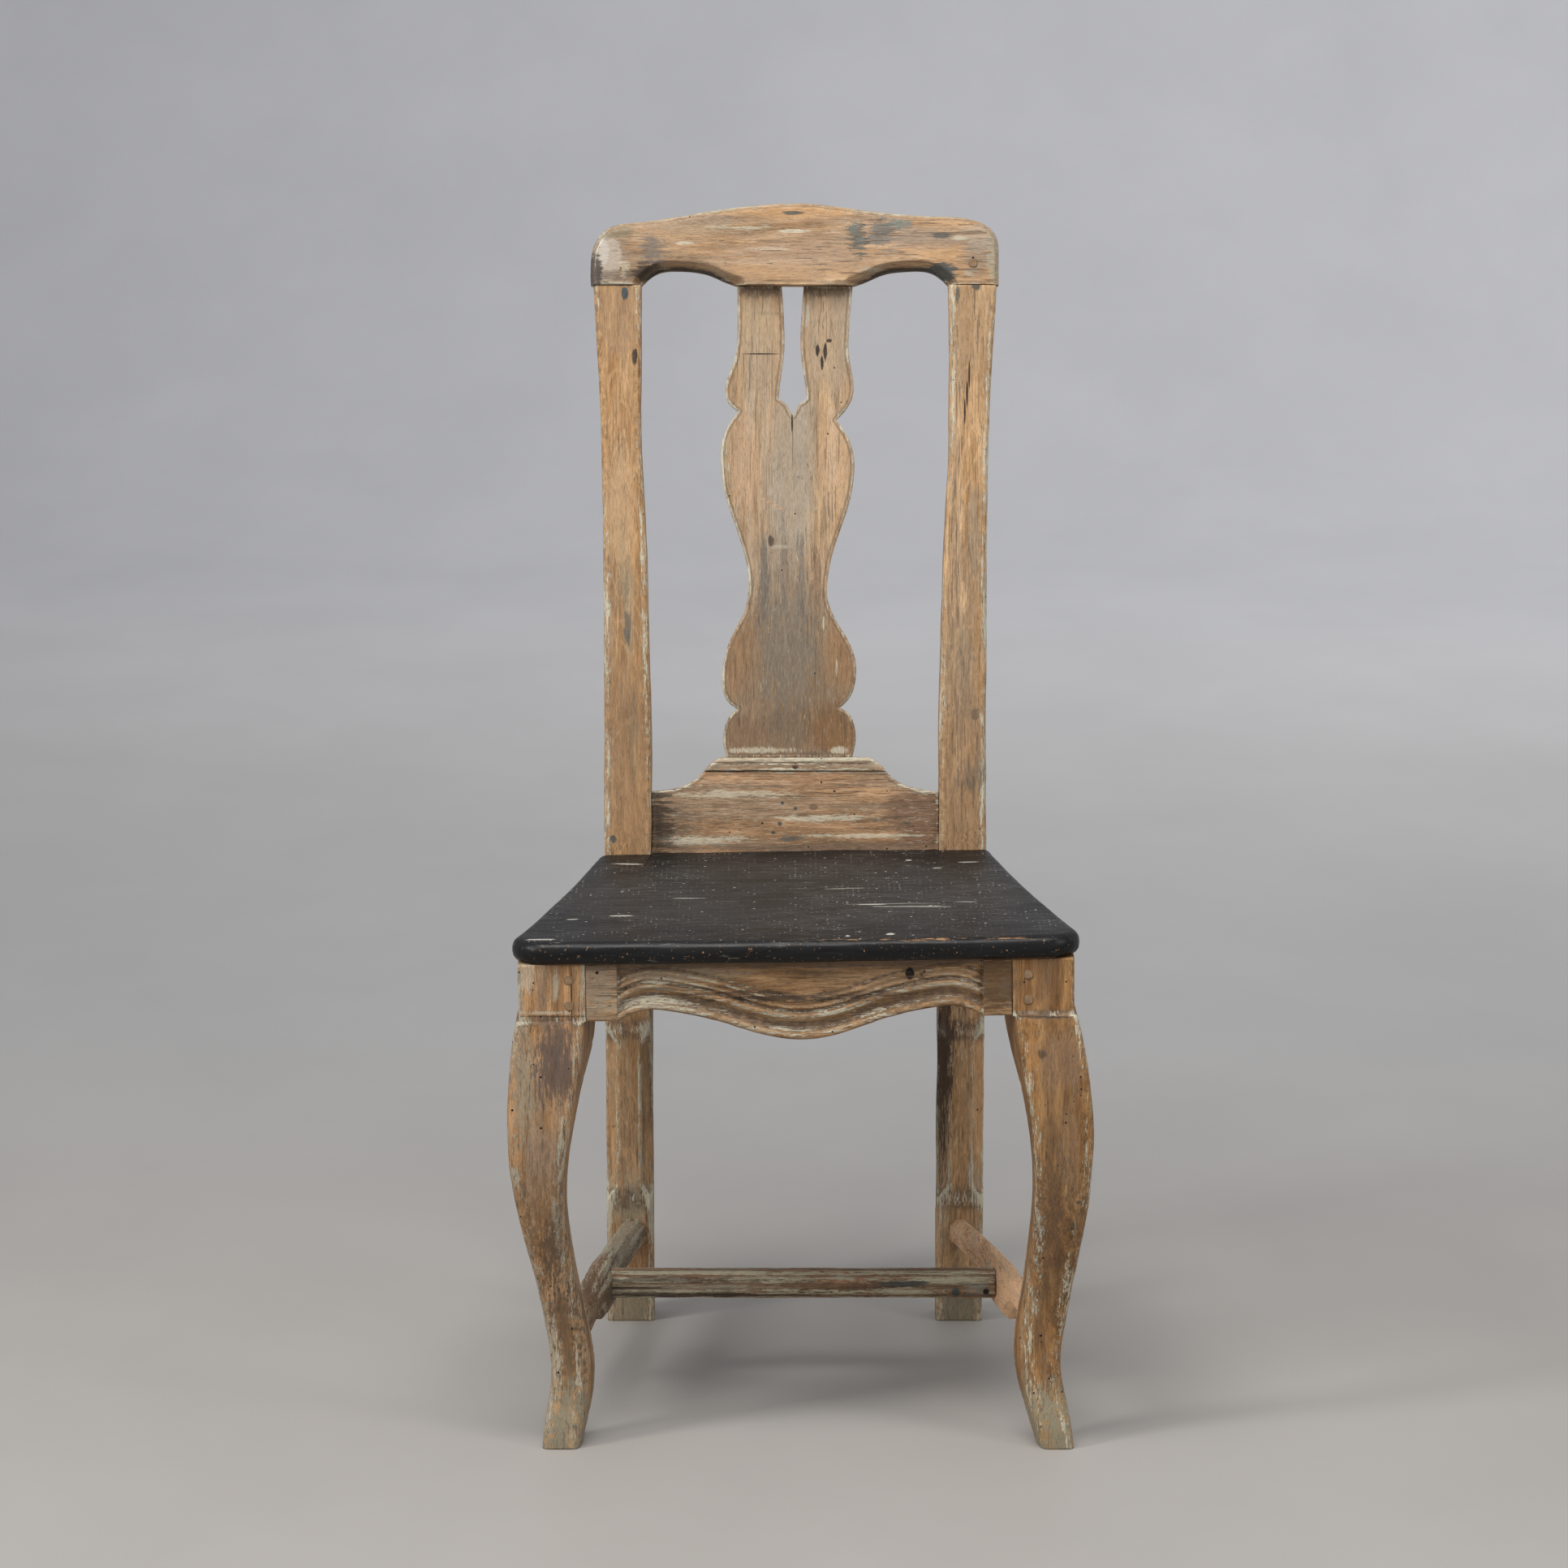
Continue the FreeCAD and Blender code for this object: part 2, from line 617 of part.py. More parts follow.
def rounded_section(corners, radius):
    """Closed level outline with its corners rounded, for the loft up a leg."""
    edges = []
    ends = []
    for before, corner, after in zip(corners[-1:] + corners[:-1], corners, corners[1:] + corners[:1]):
        start = corner + (before - corner).normalize() * radius
        end = corner + (after - corner).normalize() * radius
        edges.append(bend_arc(corner, start, end))
        ends.append((start, end))
    outline = []
    for edge, this, following in zip(edges, ends, ends[1:] + ends[:1]):
        outline += [edge, line(this[1], following[0])]
    return Part.Wire(outline)


def front_leg_body(side):
    """Cabriole leg and square post before any joint is cut, run on below the floor."""
    sections = []
    for row in LEG_SHARES[side]:
        corners = leg_corners(side, row, row[0] * ledge_z)
        sections.append(rounded_section(corners, row[6] * POST_DEPTH))
    cabriole = Part.makeLoft(sections, True, False)
    inner = post_inner_x[side]
    post = box_between(inner, post_outer_x, post_front_y, post_back_y, ledge_z, rail_top_z)
    return cabriole.fuse(post)


def leg_face_y(z, straight_y, splay):
    """Depth of a rear leg's curved face at this height."""
    radius = (stile_straight_z ** 2 + splay ** 2) / (2 * splay)
    return straight_y + radius - math.sqrt(radius ** 2 - (stile_straight_z - z) ** 2)


def leg_arc(straight_y, splay):
    """Curved face line of a rear leg, from the floor up to its straight part."""
    foot = Vec(0, straight_y + splay, 0)
    middle = Vec(0, leg_face_y(stile_straight_z / 2, straight_y, splay), stile_straight_z / 2)
    return arc(foot, middle, Vec(0, straight_y, stile_straight_z))


def stile_side_view():
    """Rear leg and post as seen from the side, swept across the chair's right half."""
    back_splay = STILE_SPLAY + STILE_FOOT_DEPTH - STILE_DEPTH
    front_corner = Vec(0, stile_face_y, pivot_z)
    back_corner = Vec(0, stile_back_y, pivot_z)
    front_top = raked(0, STILE_RISE)
    back_top = raked(STILE_TOP_DEPTH, STILE_RISE)
    below = Vec(0, 0, -BEND_RISE)
    front_above = front_corner + (front_top - front_corner).normalize() * BEND_RISE
    back_above = back_corner + (back_top - back_corner).normalize() * BEND_RISE
    edges = [
        leg_arc(stile_face_y, STILE_SPLAY),
        line(Vec(0, stile_face_y, stile_straight_z), front_corner + below),
        bend_arc(front_corner, front_corner + below, front_above),
        line(front_above, front_top),
        line(front_top, back_top),
        line(back_top, back_above),
        bend_arc(back_corner, back_corner + below, back_above),
        line(back_corner + below, Vec(0, stile_back_y, stile_straight_z)),
        leg_arc(stile_back_y, back_splay),
        line(Vec(0, stile_back_y + back_splay, 0), Vec(0, stile_face_y + STILE_SPLAY, 0)),
    ]
    return prism(edges, Vec(STILE_SPREAD, 0, 0))


def stile_edge(base_x, column):
    """Points up one edge of the post in the front view, from its share column."""
    points = []
    for row in STILE_EDGE_SHARES:
        z = pivot_z + row[0] * STILE_RISE * math.cos(rake)
        points.append(Vec(base_x + row[column] * STILE_WIDTH, stile_face_y - OVERRUN, z))
    return points


def stile_front_view():
    """Rear leg and post as seen from the front, swept from front to back."""
    edges = []
    ends = []
    for base_x, column in ((stile_outer_x, 1), (stile_inner_x, 2)):
        points = stile_edge(base_x, column)
        foot = Vec(base_x, points[0].y, 0)
        top = points[-1] + Vec(0, 0, OVERRUN)
        edges += [line(foot, points[0]), line(points[-1], top)]
        edges.append(curve(points, Vec(0, 0, 1), points[-1] - points[-2]))
        ends.append((foot, top))
    edges += [line(ends[0][0], ends[1][0]), line(ends[0][1], ends[1][1])]
    return prism(edges, Vec(0, STILE_RISE, 0))


def stile_chamfer(edge_x, inward):
    """Wedge that takes a front corner off the rear leg, fading out at both ends."""
    run = STILE_CHAMFER_RUN
    top = STILE_CHAMFER_TOP
    foot = STILE_CHAMFER_FOOT
    tip = STILE_CHAMFER * CHAMFER_TIP_SHARE
    full = STILE_CHAMFER
    stations = ((foot, tip), (foot + run, full), ((foot + top) / 2, full), (top - run, full), (top, tip))
    sections = []
    for z, size in stations:
        y = leg_face_y(z, stile_face_y, STILE_SPLAY)
        corner = Vec(edge_x - inward * CUT_MARGIN, y - CUT_MARGIN, z)
        across = corner + Vec(inward * (size + 2 * CUT_MARGIN), 0, 0)
        along = corner + Vec(0, size + 2 * CUT_MARGIN, 0)
        sections.append(Part.makePolygon([corner, across, along, corner]))
    return Part.makeLoft(sections, True, True)


def stile(side, stretcher_cut):
    """Rear leg with its back post, tenoned at the top, cut for the rails and the stretcher."""
    body = stile_side_view().common(stile_front_view())
    body = body.cut([stile_chamfer(stile_outer_x, -1), stile_chamfer(stile_inner_x, 1)])
    body = body.fuse(lean(tenon(crest_tenon())))
    cuts = [lean(mortise(back_rail_tenon()))]
    cuts += [lean(peg_hole(*one)) for one in (back_rail_peg(), crest_peg(side))]
    settled = [mortise(side_rear_tenon()), mortise(rear_rail_tenon())]
    settled += [peg_hole(*one) for one in side_pegs() + rear_pegs()]
    settled = [roll(on_side(cut, side)) for cut in settled]
    return on_side(body.cut(cuts), side).cut(settled + stretcher_cut)


def front_leg(side, stretcher_cut):
    """Front leg with its post, cut for the rails and the stretcher, its foot cut off level."""
    cuts = [mortise(apron_tenon(side)), mortise(side_front_tenon())]
    cuts += [peg_hole(*one) for one in apron_pegs(side) + side_pegs()]
    body = roll(on_side(front_leg_body(side).cut(cuts), side))
    below = box_between(-beyond_x, beyond_x, seat_front_y, stile_face_y, -POST_DEPTH, 0)
    return body.cut([below] + stretcher_cut)


# Stretchers


def octagon(x, y, z, half_width, half_height, corner):
    """Eight-sided section of a stretcher that runs front to back."""
    across, up = half_width - corner, half_height - corner
    pairs = ((half_width, up), (across, half_height), (-across, half_height), (-half_width, up),
             (-half_width, -up), (-across, -half_height), (across, -half_height), (half_width, -up))
    points = [Vec(x + dx, y, z + dz) for dx, dz in pairs]
    return Part.makePolygon(points + points[:1])


class SideStretcher:
    """Places and sizes of one side stretcher, all as on the right."""

    def __init__(self, side):
        self.side = side
        self.front_z = stretcher_front_heights[side]
        row = leg_section(side, self.front_z / ledge_z)
        corners = leg_corners(side, row, self.front_z)
        settled = side * (rail_top_z - self.front_z) * math.sin(settle)
        self.leg_outer_x = corners[0].x + settled
        leg_inner_x = (corners[2].x + corners[3].x) / 2
        self.front_x = (corners[0].x + leg_inner_x) / 2 + settled - stretcher_front_insets[side]
        self.front_y = corners[1].y - STRETCHER_HOUSING
        self.rear_x = stile_middle_x - stretcher_rear_insets[side]
        rear_face = leg_face_y(STRETCHER_REAR_HEIGHT, stile_face_y, STILE_SPLAY)
        self.rear_y = rear_face + STRETCHER_HOUSING
        self.half_width = stretcher_half_widths[side]
        self.knuckle_half_width = knuckle_half_widths[side]

    def along(self, y):
        """Middle of the stretcher at this depth."""
        share = (y - self.front_y) / (self.rear_y - self.front_y)
        x = self.front_x + (self.rear_x - self.front_x) * share
        x += stretcher_bows[self.side] * math.sin(math.pi * share)
        z = self.front_z + (STRETCHER_REAR_HEIGHT - self.front_z) * share
        return x, z

    def bar(self, y, like_y=None):
        """Section of the bar at this depth, with the height of another depth where given."""
        x, z = self.along(y)
        if like_y is not None:
            z = self.along(like_y)[1]
        return octagon(x, y, z, self.half_width, STRETCHER_HALF_HEIGHT, STRETCHER_CORNER)

    def knuckle(self, y):
        """Section of the thick block that takes the cross stretcher."""
        x = self.along(y)[0]
        return octagon(x, y, KNUCKLE_HEIGHT, self.knuckle_half_width, KNUCKLE_HALF_HEIGHT, KNUCKLE_CORNER)

    def body(self):
        """The stretcher between its two shoulders."""
        block = KNUCKLE_HALF_LENGTH
        ramp = block + KNUCKLE_RAMP
        sections = [
            self.bar(self.front_y),
            self.bar(self.front_y + STRETCHER_END_RUN, self.front_y),
            self.bar(knuckle_y - ramp),
            self.knuckle(knuckle_y - block),
            self.knuckle(knuckle_y + block),
            self.bar(knuckle_y + ramp),
            self.bar(self.rear_y - STRETCHER_END_RUN, self.rear_y),
            self.bar(self.rear_y),
        ]
        return Part.makeLoft(sections, True, True)

    def tenons(self):
        """Bounds of the front and the rear tenon."""
        half = STRETCHER_TENON_THICKNESS / 2
        high = STRETCHER_TENON_HALF_HEIGHT
        length = STRETCHER_TENON_LENGTH
        rear_z = STRETCHER_REAR_HEIGHT
        front = (self.front_x - half, self.front_x + half, self.front_y - length, self.front_y,
                 self.front_z - high, self.front_z + high)
        rear = (self.rear_x - half, self.rear_x + half, self.rear_y, self.rear_y + length,
                rear_z - high, rear_z + high)
        return [front, rear]

    def pegs(self):
        """Small pegs through leg and tenon, driven in from outside."""
        inward = Vec(-1, 0, 0)
        middle = STRETCHER_TENON_LENGTH / 2
        front = Vec(self.leg_outer_x - STRETCHER_PEG_SUNK, self.front_y - middle, self.front_z)
        rear = Vec(stile_outer_x - STRETCHER_PEG_SUNK, self.rear_y + middle, STRETCHER_REAR_HEIGHT)
        return [(start, inward, STRETCHER_PEG_LENGTH, STRETCHER_PEG_RADIUS) for start in (front, rear)]

    def cross_tenon(self):
        """Bounds of the cross stretcher's tenon in the knuckle."""
        inner = self.along(knuckle_y)[0] - self.knuckle_half_width
        half = STRETCHER_TENON_THICKNESS / 2
        z = KNUCKLE_HEIGHT + CROSS_RISE
        low, high = z - STRETCHER_TENON_HALF_HEIGHT, z + STRETCHER_TENON_HALF_HEIGHT
        return (inner - OVERRUN, inner + CROSS_TENON_LENGTH, knuckle_y - half, knuckle_y + half, low, high)

    def leg_cuts(self):
        """What the front and the rear leg lose to the stretcher and its pegs."""
        cuts = [self.body()] + [mortise(one) for one in self.tenons()]
        cuts += [peg_hole(*one) for one in self.pegs()]
        return [on_side(cut, self.side) for cut in cuts]

    def solid(self):
        """The finished stretcher."""
        body = self.body().fuse([tenon(one) for one in self.tenons()])
        body = body.cut([mortise(self.cross_tenon())] + [peg_hole(*one) for one in self.pegs()])
        return on_side(body, self.side)


def cross_stretcher(stretchers):
    """Bar between the two knuckles, its shoulders cut to their slanted faces."""
    reach = STRETCHER_TENON_HALF_HEIGHT
    left = -stretchers[0].along(knuckle_y)[0] + stretchers[0].knuckle_half_width - reach
    right = stretchers[1].along(knuckle_y)[0] - stretchers[1].knuckle_half_width + reach
    z = KNUCKLE_HEIGHT + CROSS_RISE
    section = octagon(0, 0, 0, CROSS_HALF_WIDTH, CROSS_HALF_HEIGHT, CROSS_CORNER)
    section.rotate(Vec(0, 0, 0), Vec(0, 0, 1), -QUARTER_TURN)
    section.translate(Vec(left, knuckle_y, z))
    bar = Part.Face(section).extrude(Vec(right - left, 0, 0))
    bar = bar.cut([on_side(one.body(), one.side) for one in stretchers])
    return bar.fuse([on_side(tenon(one.cross_tenon()), one.side) for one in stretchers])


# Seat frame


def apron_lower_edge():
    """Lower edge of the carved field at the block's face, as one smooth edge."""
    rise = APRON_HANG + APRON_ARCH
    low = ledge_z - APRON_HANG
    shares = list(APRON_EDGE_SHARES) + [(1, APRON_HANG / rise)]
    right = [Vec(x * field_half, post_front_y, low + z * rise) for x, z in reversed(shares)]
    edge = curve(mirrored(right))
    edge.translate(Vec(field_middle_x, 0, 0))
    return edge


def apron_field():
    """Field with its moulding: the profile carried sideways along the lower edge."""
    top = APRON_HANG + APRON_ARCH + POST_BLOCK_HEIGHT
    profile = [(depth * MOULDING_DEPTH, height * MOULDING_HEIGHT) for height, depth in MOULDING_SHARES]
    profile += [(profile[-1][0], top), (APRON_THICKNESS, top), (APRON_THICKNESS, 0)]
    steps = [Vec(0, depth, height) for depth, height in profile]
    edge = apron_lower_edge()
    faces = []
    for start, end in zip(steps, steps[1:] + steps[:1]):
        moved = edge.copy()
        moved.translate(start)
        faces.append(moved.extrude(end - start))
    for side in (LEFT, RIGHT):
        corner = Vec(side * field_end_x[side], post_front_y, ledge_z)
        outline = [corner + step for step in steps]
        faces.append(Part.Face(Part.makePolygon(outline + outline[:1])))
    shell = Part.makeShell(faces)
    shell.sewShape()
    field = Part.makeSolid(shell)
    if field.Volume < 0:
        field.reverse()
    low = ledge_z - APRON_HANG - OVERRUN
    room = box_between(-beyond_x, beyond_x, seat_front_y, apron_back_y + OVERRUN, low, rail_top_z)
    return field.common(room)


def front_seat_rail():
    """Apron with plain end blocks, tenons, peg holes and dowel holes."""
    joined = []
    cuts = []
    for side in (LEFT, RIGHT):
        start, end = side * field_end_x[side], side * post_inner_x[side]
        joined.append(box_between(start, end, post_front_y, apron_back_y, ledge_z, rail_top_z))
        joined.append(on_side(tenon(apron_tenon(side)), side))
        cuts += [on_side(peg_hole(*one), side) for one in apron_pegs(side)]
    for x, y in dowel_places():
        if y < apron_back_y:
            cuts += both_sides(dowel_hole(x, y))
    return roll(apron_field().fuse(joined).cut(cuts).removeSplitter())


def side_seat_rail(side):
    """Rail from front post to rear leg."""
    half = SIDE_RAIL_THICKNESS / 2
    corners = []
    for y, sign in ((post_back_y, 1), (stile_face_y, 1), (stile_face_y, -1), (post_back_y, -1)):
        corners.append(Vec(side_rail_x(y) + sign * half, y, ledge_z))
    body = prism(chain(corners + corners[:1]), Vec(0, 0, POST_BLOCK_HEIGHT))
    body = body.fuse([tenon(side_front_tenon()), tenon(side_rear_tenon())])
    cuts = [peg_hole(*one) for one in side_pegs()]
    cuts += [dowel_hole(x, y) for x, y in dowel_places() if y > apron_back_y]
    return roll(on_side(body.cut(cuts), side))


def rear_seat_rail():
    """Rail between the rear legs, under the seat's rear edge."""
    back_y = stile_face_y + REAR_RAIL_THICKNESS
    half = stile_inner_x + OVERRUN
    body = roll(box_between(-half, half, stile_face_y, back_y, ledge_z, rail_top_z))
    between = box_between(-stile_inner_x, stile_inner_x, stile_face_y, back_y, 0, SEAT_HEIGHT)
    body = body.common(between).fuse([roll(one) for one in both_sides(tenon(rear_rail_tenon()))])
    return body.cut([roll(cut) for one in rear_pegs() for cut in both_sides(peg_hole(*one))])


def dowel_places():
    """Places of the blind dowels on the right, on the front rail and the side rail."""
    places = [(DOWEL_APRON_HALF_SPACING, (post_front_y + apron_back_y) / 2)]
    for share in DOWEL_SIDE_SHARES:
        y = post_back_y + (stile_face_y - post_back_y) * share
        places.append((side_rail_x(y), y))
    return places


def dowel_hole(x, y):
    """Blind bore for a dowel, from the rail up into the seat."""
    length = DOWEL_DROP + DOWEL_RISE + 2 * PEG_FIT
    start = Vec(x, y, rail_top_z - DOWEL_DROP - PEG_FIT)
    return Part.makeCylinder(DOWEL_RADIUS + PEG_FIT, length, start)


def seat_dowels():
    """Blind dowels between the rails and the seat board."""
    dowels = []
    for x, y in dowel_places():
        start = Vec(x, y, rail_top_z - DOWEL_DROP)
        dowels += both_sides(Part.makeCylinder(DOWEL_RADIUS, DOWEL_DROP + DOWEL_RISE, start))
    return dowels


def seat_board(rail):
    """Plank with round front corners and a rounded edge, its rear edge cut to the back rail."""
    front = Vec(0, seat_front_y, rail_top_z)
    corner = Vec(SEAT_FRONT_HALF, seat_front_y + SEAT_FRONT_BOW, rail_top_z)
    rear = Vec(stile_outer_x + SEAT_REAR_OVERHANG, stile_face_y, rail_top_z)
    notch = Vec(stile_inner_x - SEAT_NOTCH_FIT, stile_face_y, rail_top_z)
    tongue = notch + Vec(0, BACK_RAIL_RECESS + OVERRUN, 0)
    side_middle = (corner + rear) * 0.5 - Vec(SEAT_SIDE_HOLLOW, 0, 0)
    half = [arc(corner, side_middle, rear)] + chain([rear, notch, tongue])
    edges = half + [flipped(edge) for edge in half]
    edges.append(line(tongue, Vec(-tongue.x, tongue.y, tongue.z)))
    edges.append(arc(corner, front, Vec(-corner.x, corner.y, corner.z)))
    board = prism(edges, Vec(0, 0, SEAT_THICKNESS))
    upright = [edge for edge in board.Edges if is_upright_at(edge, corner)]
    board = board.makeFillet(SEAT_CORNER_RADIUS, upright)
    rims = [edge for edge in board.Edges if is_rim(edge)]
    board = board.makeFillet(SEAT_EDGE_RADIUS, rims)
    cuts = [cut for x, y in dowel_places() for cut in both_sides(dowel_hole(x, y))]
    return roll(board.cut(cuts)).cut(rail)


def is_upright_at(edge, corner):
    """Whether the edge stands at this corner or at its mirror image."""
    low = edge.BoundBox
    near = abs(abs(low.Center.x) - corner.x) + abs(low.Center.y - corner.y)
    return low.ZLength > SEAT_THICKNESS / 2 and near < SEAT_THICKNESS


def is_rim(edge):
    """Whether the edge runs round the seat's front and sides, on top or underneath."""
    box = edge.BoundBox
    return box.ZLength < SEAT_THICKNESS / 2 and box.YMin < stile_face_y - SEAT_THICKNESS


# Back


def back_rail_prism():
    """Lower back rail before its joints, in the upright frame, run on down past the seat."""
    bottom = seat_rise - SEAT_THICKNESS - BACK_RAIL_THICKNESS
    drop = cap_rise - rail_end_rise
    hollow = []
    for out, down in BACK_RAIL_HOLLOW_SHARES:
        x = CAP_HALF_LENGTH + (stile_inner_x - CAP_HALF_LENGTH) * out
        hollow.append(point(x, back_rail_face_y, cap_rise - drop * down))
    end_top = hollow[-1]
    end_bottom = point(stile_inner_x, back_rail_face_y, bottom)
    half = [curve(hollow), line(end_top, end_bottom)]
    edges = half + [flipped(edge) for edge in half]
    edges.append(line(hollow[0], Vec(-hollow[0].x, hollow[0].y, hollow[0].z)))
    edges.append(line(end_bottom, Vec(-end_bottom.x, end_bottom.y, end_bottom.z)))
    return prism(edges, Vec(0, BACK_RAIL_THICKNESS, 0))


def back_rail_body():
    """Lower back rail in place, cut off level where it stands on the rear seat rail."""
    low = ledge_z - POST_BLOCK_HEIGHT
    back = stile_back_y + POST_DEPTH
    floor = box_between(-beyond_x, beyond_x, seat_front_y, back, low, rail_top_z)
    return lean(back_rail_prism()).cut(roll(floor))


def back_rail():
    """Lower back rail with its tenons and the socket for the splat's foot."""
    body = back_rail_body().fuse([lean(one) for one in both_sides(tenon(back_rail_tenon()))])
    cuts = both_sides(peg_hole(*back_rail_peg())) + [mortise(splat_foot_tenon()), cap_nail()]
    return body.cut([lean(cut) for cut in cuts])


def shoe_moulding():
    """Cap strip on the rail, with a slot for the splat's foot."""
    low, high = CAP_HALF_LENGTH, CAP_TOP_HALF
    y = back_rail_face_y - CAP_OVERHANG
    foot = point(low, y, cap_rise)
    top = point(high, y, splat_rise)
    slope = (top - foot).normalize()
    bulge = (foot + top) * 0.5 + Vec(slope.z, 0, -slope.x) * CAP_END_BULGE
    end = arc(foot, bulge, top)
    edges = [end, flipped(end)]
    edges.append(line(foot, Vec(-foot.x, foot.y, foot.z)))
    edges.append(line(top, Vec(-top.x, top.y, top.z)))
    body = prism(edges, Vec(0, CAP_OVERHANG + BACK_RAIL_THICKNESS, 0))
    return lean(body.cut([mortise(splat_foot_tenon()), cap_nail()]))


def cap_nail():
    """Nail driven down at a slant through the cap strip into the rail, in the upright frame."""
    slope = math.radians(CAP_NAIL_SLOPE)
    direction = Vec(0, math.cos(slope), -math.sin(slope))
    start = point(0, back_rail_face_y - CAP_OVERHANG, cap_rise + CAP_NAIL_RISE)
    shank = Part.makeCylinder(CAP_NAIL_RADIUS, CAP_NAIL_LENGTH, start, direction)
    head = Part.makeCylinder(CAP_NAIL_HEAD_RADIUS, CAP_NAIL_HEAD_HEIGHT, start, direction)
    return shank.fuse(head)


def splat_point(side, share, out):
    """Point on the splat's edge, from its share of the height and of the half-width."""
    x = SPLAT_SHIFT + side * out * SPLAT_HALF_WIDTH
    return point(x, splat_face_y, splat_rise + share * splat_height)


def slit_point(side, share, out):
    """Point on the slit's edge."""
    x = SPLAT_SHIFT + SLIT_SHIFT + side * out * SLIT_HALF_WIDTH
    return point(x, splat_face_y, splat_rise + share * splat_height)


def splat_top_tenon(side):
    """Bounds of one prong's tenon in the crest, in the upright frame."""
    edge = splat_point(side, *SPLAT_SHARES[side][-1][-1]).x
    slit = slit_point(side, *SLIT_EDGE_SHARES[-1]).x
    x0, x1 = slit + side * SPLAT_TENON_SHOULDER, edge - side * SPLAT_TENON_SHOULDER
    y0 = splat_face_y + (SPLAT_THICKNESS - SPLAT_TENON_THICKNESS) / 2
    z0 = pivot_z + STILE_RISE
    return (min(x0, x1), max(x0, x1), y0, y0 + SPLAT_TENON_THICKNESS, z0, z0 + SPLAT_TOP_TENON)


def splat_foot_tenon():
    """Bounds of the splat's foot tenon through the cap strip into the rail."""
    x0 = SPLAT_SHIFT - SPLAT_FOOT_TENON_HALF
    x1 = SPLAT_SHIFT + SPLAT_FOOT_TENON_HALF
    y0 = splat_face_y + (SPLAT_THICKNESS - SPLAT_TENON_THICKNESS) / 2
    z1 = pivot_z + splat_rise
    return (x0, x1, y0, y0 + SPLAT_TENON_THICKNESS, z1 - SPLAT_FOOT_TENON, z1)


def splat():
    """Waisted board with its slit and its tenons."""
    edges = []
    for side in (LEFT, RIGHT):
        for stretch in SPLAT_SHARES[side]:
            edges.append(curve([splat_point(side, *row) for row in stretch]))
        edges += chain([slit_point(side, *row) for row in SLIT_POINT_SHARES])
        edges.append(curve([slit_point(side, *row) for row in SLIT_EDGE_SHARES]))
        edge_top = splat_point(side, *SPLAT_SHARES[side][-1][-1])
        edges.append(line(slit_point(side, *SLIT_EDGE_SHARES[-1]), edge_top))
    feet = [splat_point(side, *SPLAT_SHARES[side][0][0]) for side in (LEFT, RIGHT)]
    edges.append(line(*feet))
    body = prism(edges, Vec(0, SPLAT_THICKNESS, 0))
    tenons = [splat_foot_tenon(), splat_top_tenon(LEFT), splat_top_tenon(RIGHT)]
    return lean(body.fuse([tenon(one) for one in tenons]).cut(cap_nail()))


def crest_arch(growth, y):
    """Opening line of the right arch under the crest, grown by this share of its chamfer."""
    middle = (CREST_ARCH_INNER + stile_top_inner_x) / 2
    half = (stile_top_inner_x - CREST_ARCH_INNER) / 2
    widen = (half + growth * CREST_ARCH_CHAMFER) / half
    raise_by = (CREST_ARCH_RISE + growth * CREST_ARCH_CHAMFER) / CREST_ARCH_RISE
    points = []
    for along, up in CREST_ARCH_SHARES:
        x = middle + (2 * along - 1) * half * widen
        points.append(point(x, y, STILE_RISE + up * CREST_ARCH_RISE * raise_by))
    return points


def crest_chamfer():
    """Bevel along the right arch, widest at the crest's face."""
    wires = []
    for y in (crest_face_y - CUT_MARGIN, crest_face_y + CREST_ARCH_CHAMFER_DEPTH):
        growth = 1 - (y - crest_face_y) / CREST_ARCH_CHAMFER_DEPTH
        points = crest_arch(growth, y)
        drop = Vec(0, 0, -OVERRUN)
        frame = [points[-1], points[-1] + drop, points[0] + drop, points[0]]
        wires.append(Part.Wire([curve(points)] + chain(frame)))
    return Part.makeLoft(wires, True, True)


def crest_top(side):
    """Points of the crest's top outline from one end towards the peak."""
    points = []
    for out, up in CREST_TOP_SHARES[side]:
        x = side * out * crest_half_length
        points.append(point(x, crest_face_y, STILE_RISE + up * CREST_PEAK))
    return points


def crest_rail():
    """Top rail with round shoulders and two chamfered arches, capping the posts."""
    top = crest_top(RIGHT) + [point(0, crest_face_y, STILE_RISE + CREST_PEAK)]
    top += reversed(crest_top(LEFT))
    arch = crest_arch(0, crest_face_y)
    half = [line(top[0], arch[-1]), curve(arch)]
    edges = half + [flipped(edge) for edge in half]
    edges.append(curve(top))
    edges.append(line(arch[0], Vec(-arch[0].x, arch[0].y, arch[0].z)))
    body = prism(edges, Vec(0, CREST_THICKNESS, 0))
    rims = [edge for edge in body.Edges if is_crest_rim(edge)]
    body = body.makeFillet(CREST_EDGE_RADIUS, rims)
    cuts = both_sides(crest_chamfer()) + both_sides(mortise(crest_tenon()))
    cuts += [on_side(peg_hole(*crest_peg(side)), side) for side in (LEFT, RIGHT)]
    cuts += [mortise(splat_top_tenon(side)) for side in (LEFT, RIGHT)]
    return lean(body.cut(cuts))


def is_crest_rim(edge):
    """Whether the edge runs over the crest's ends and top, on its face or its back."""
    box = edge.BoundBox
    return box.YLength < CREST_PROUD and box.XLength > crest_half_length


# All nodes

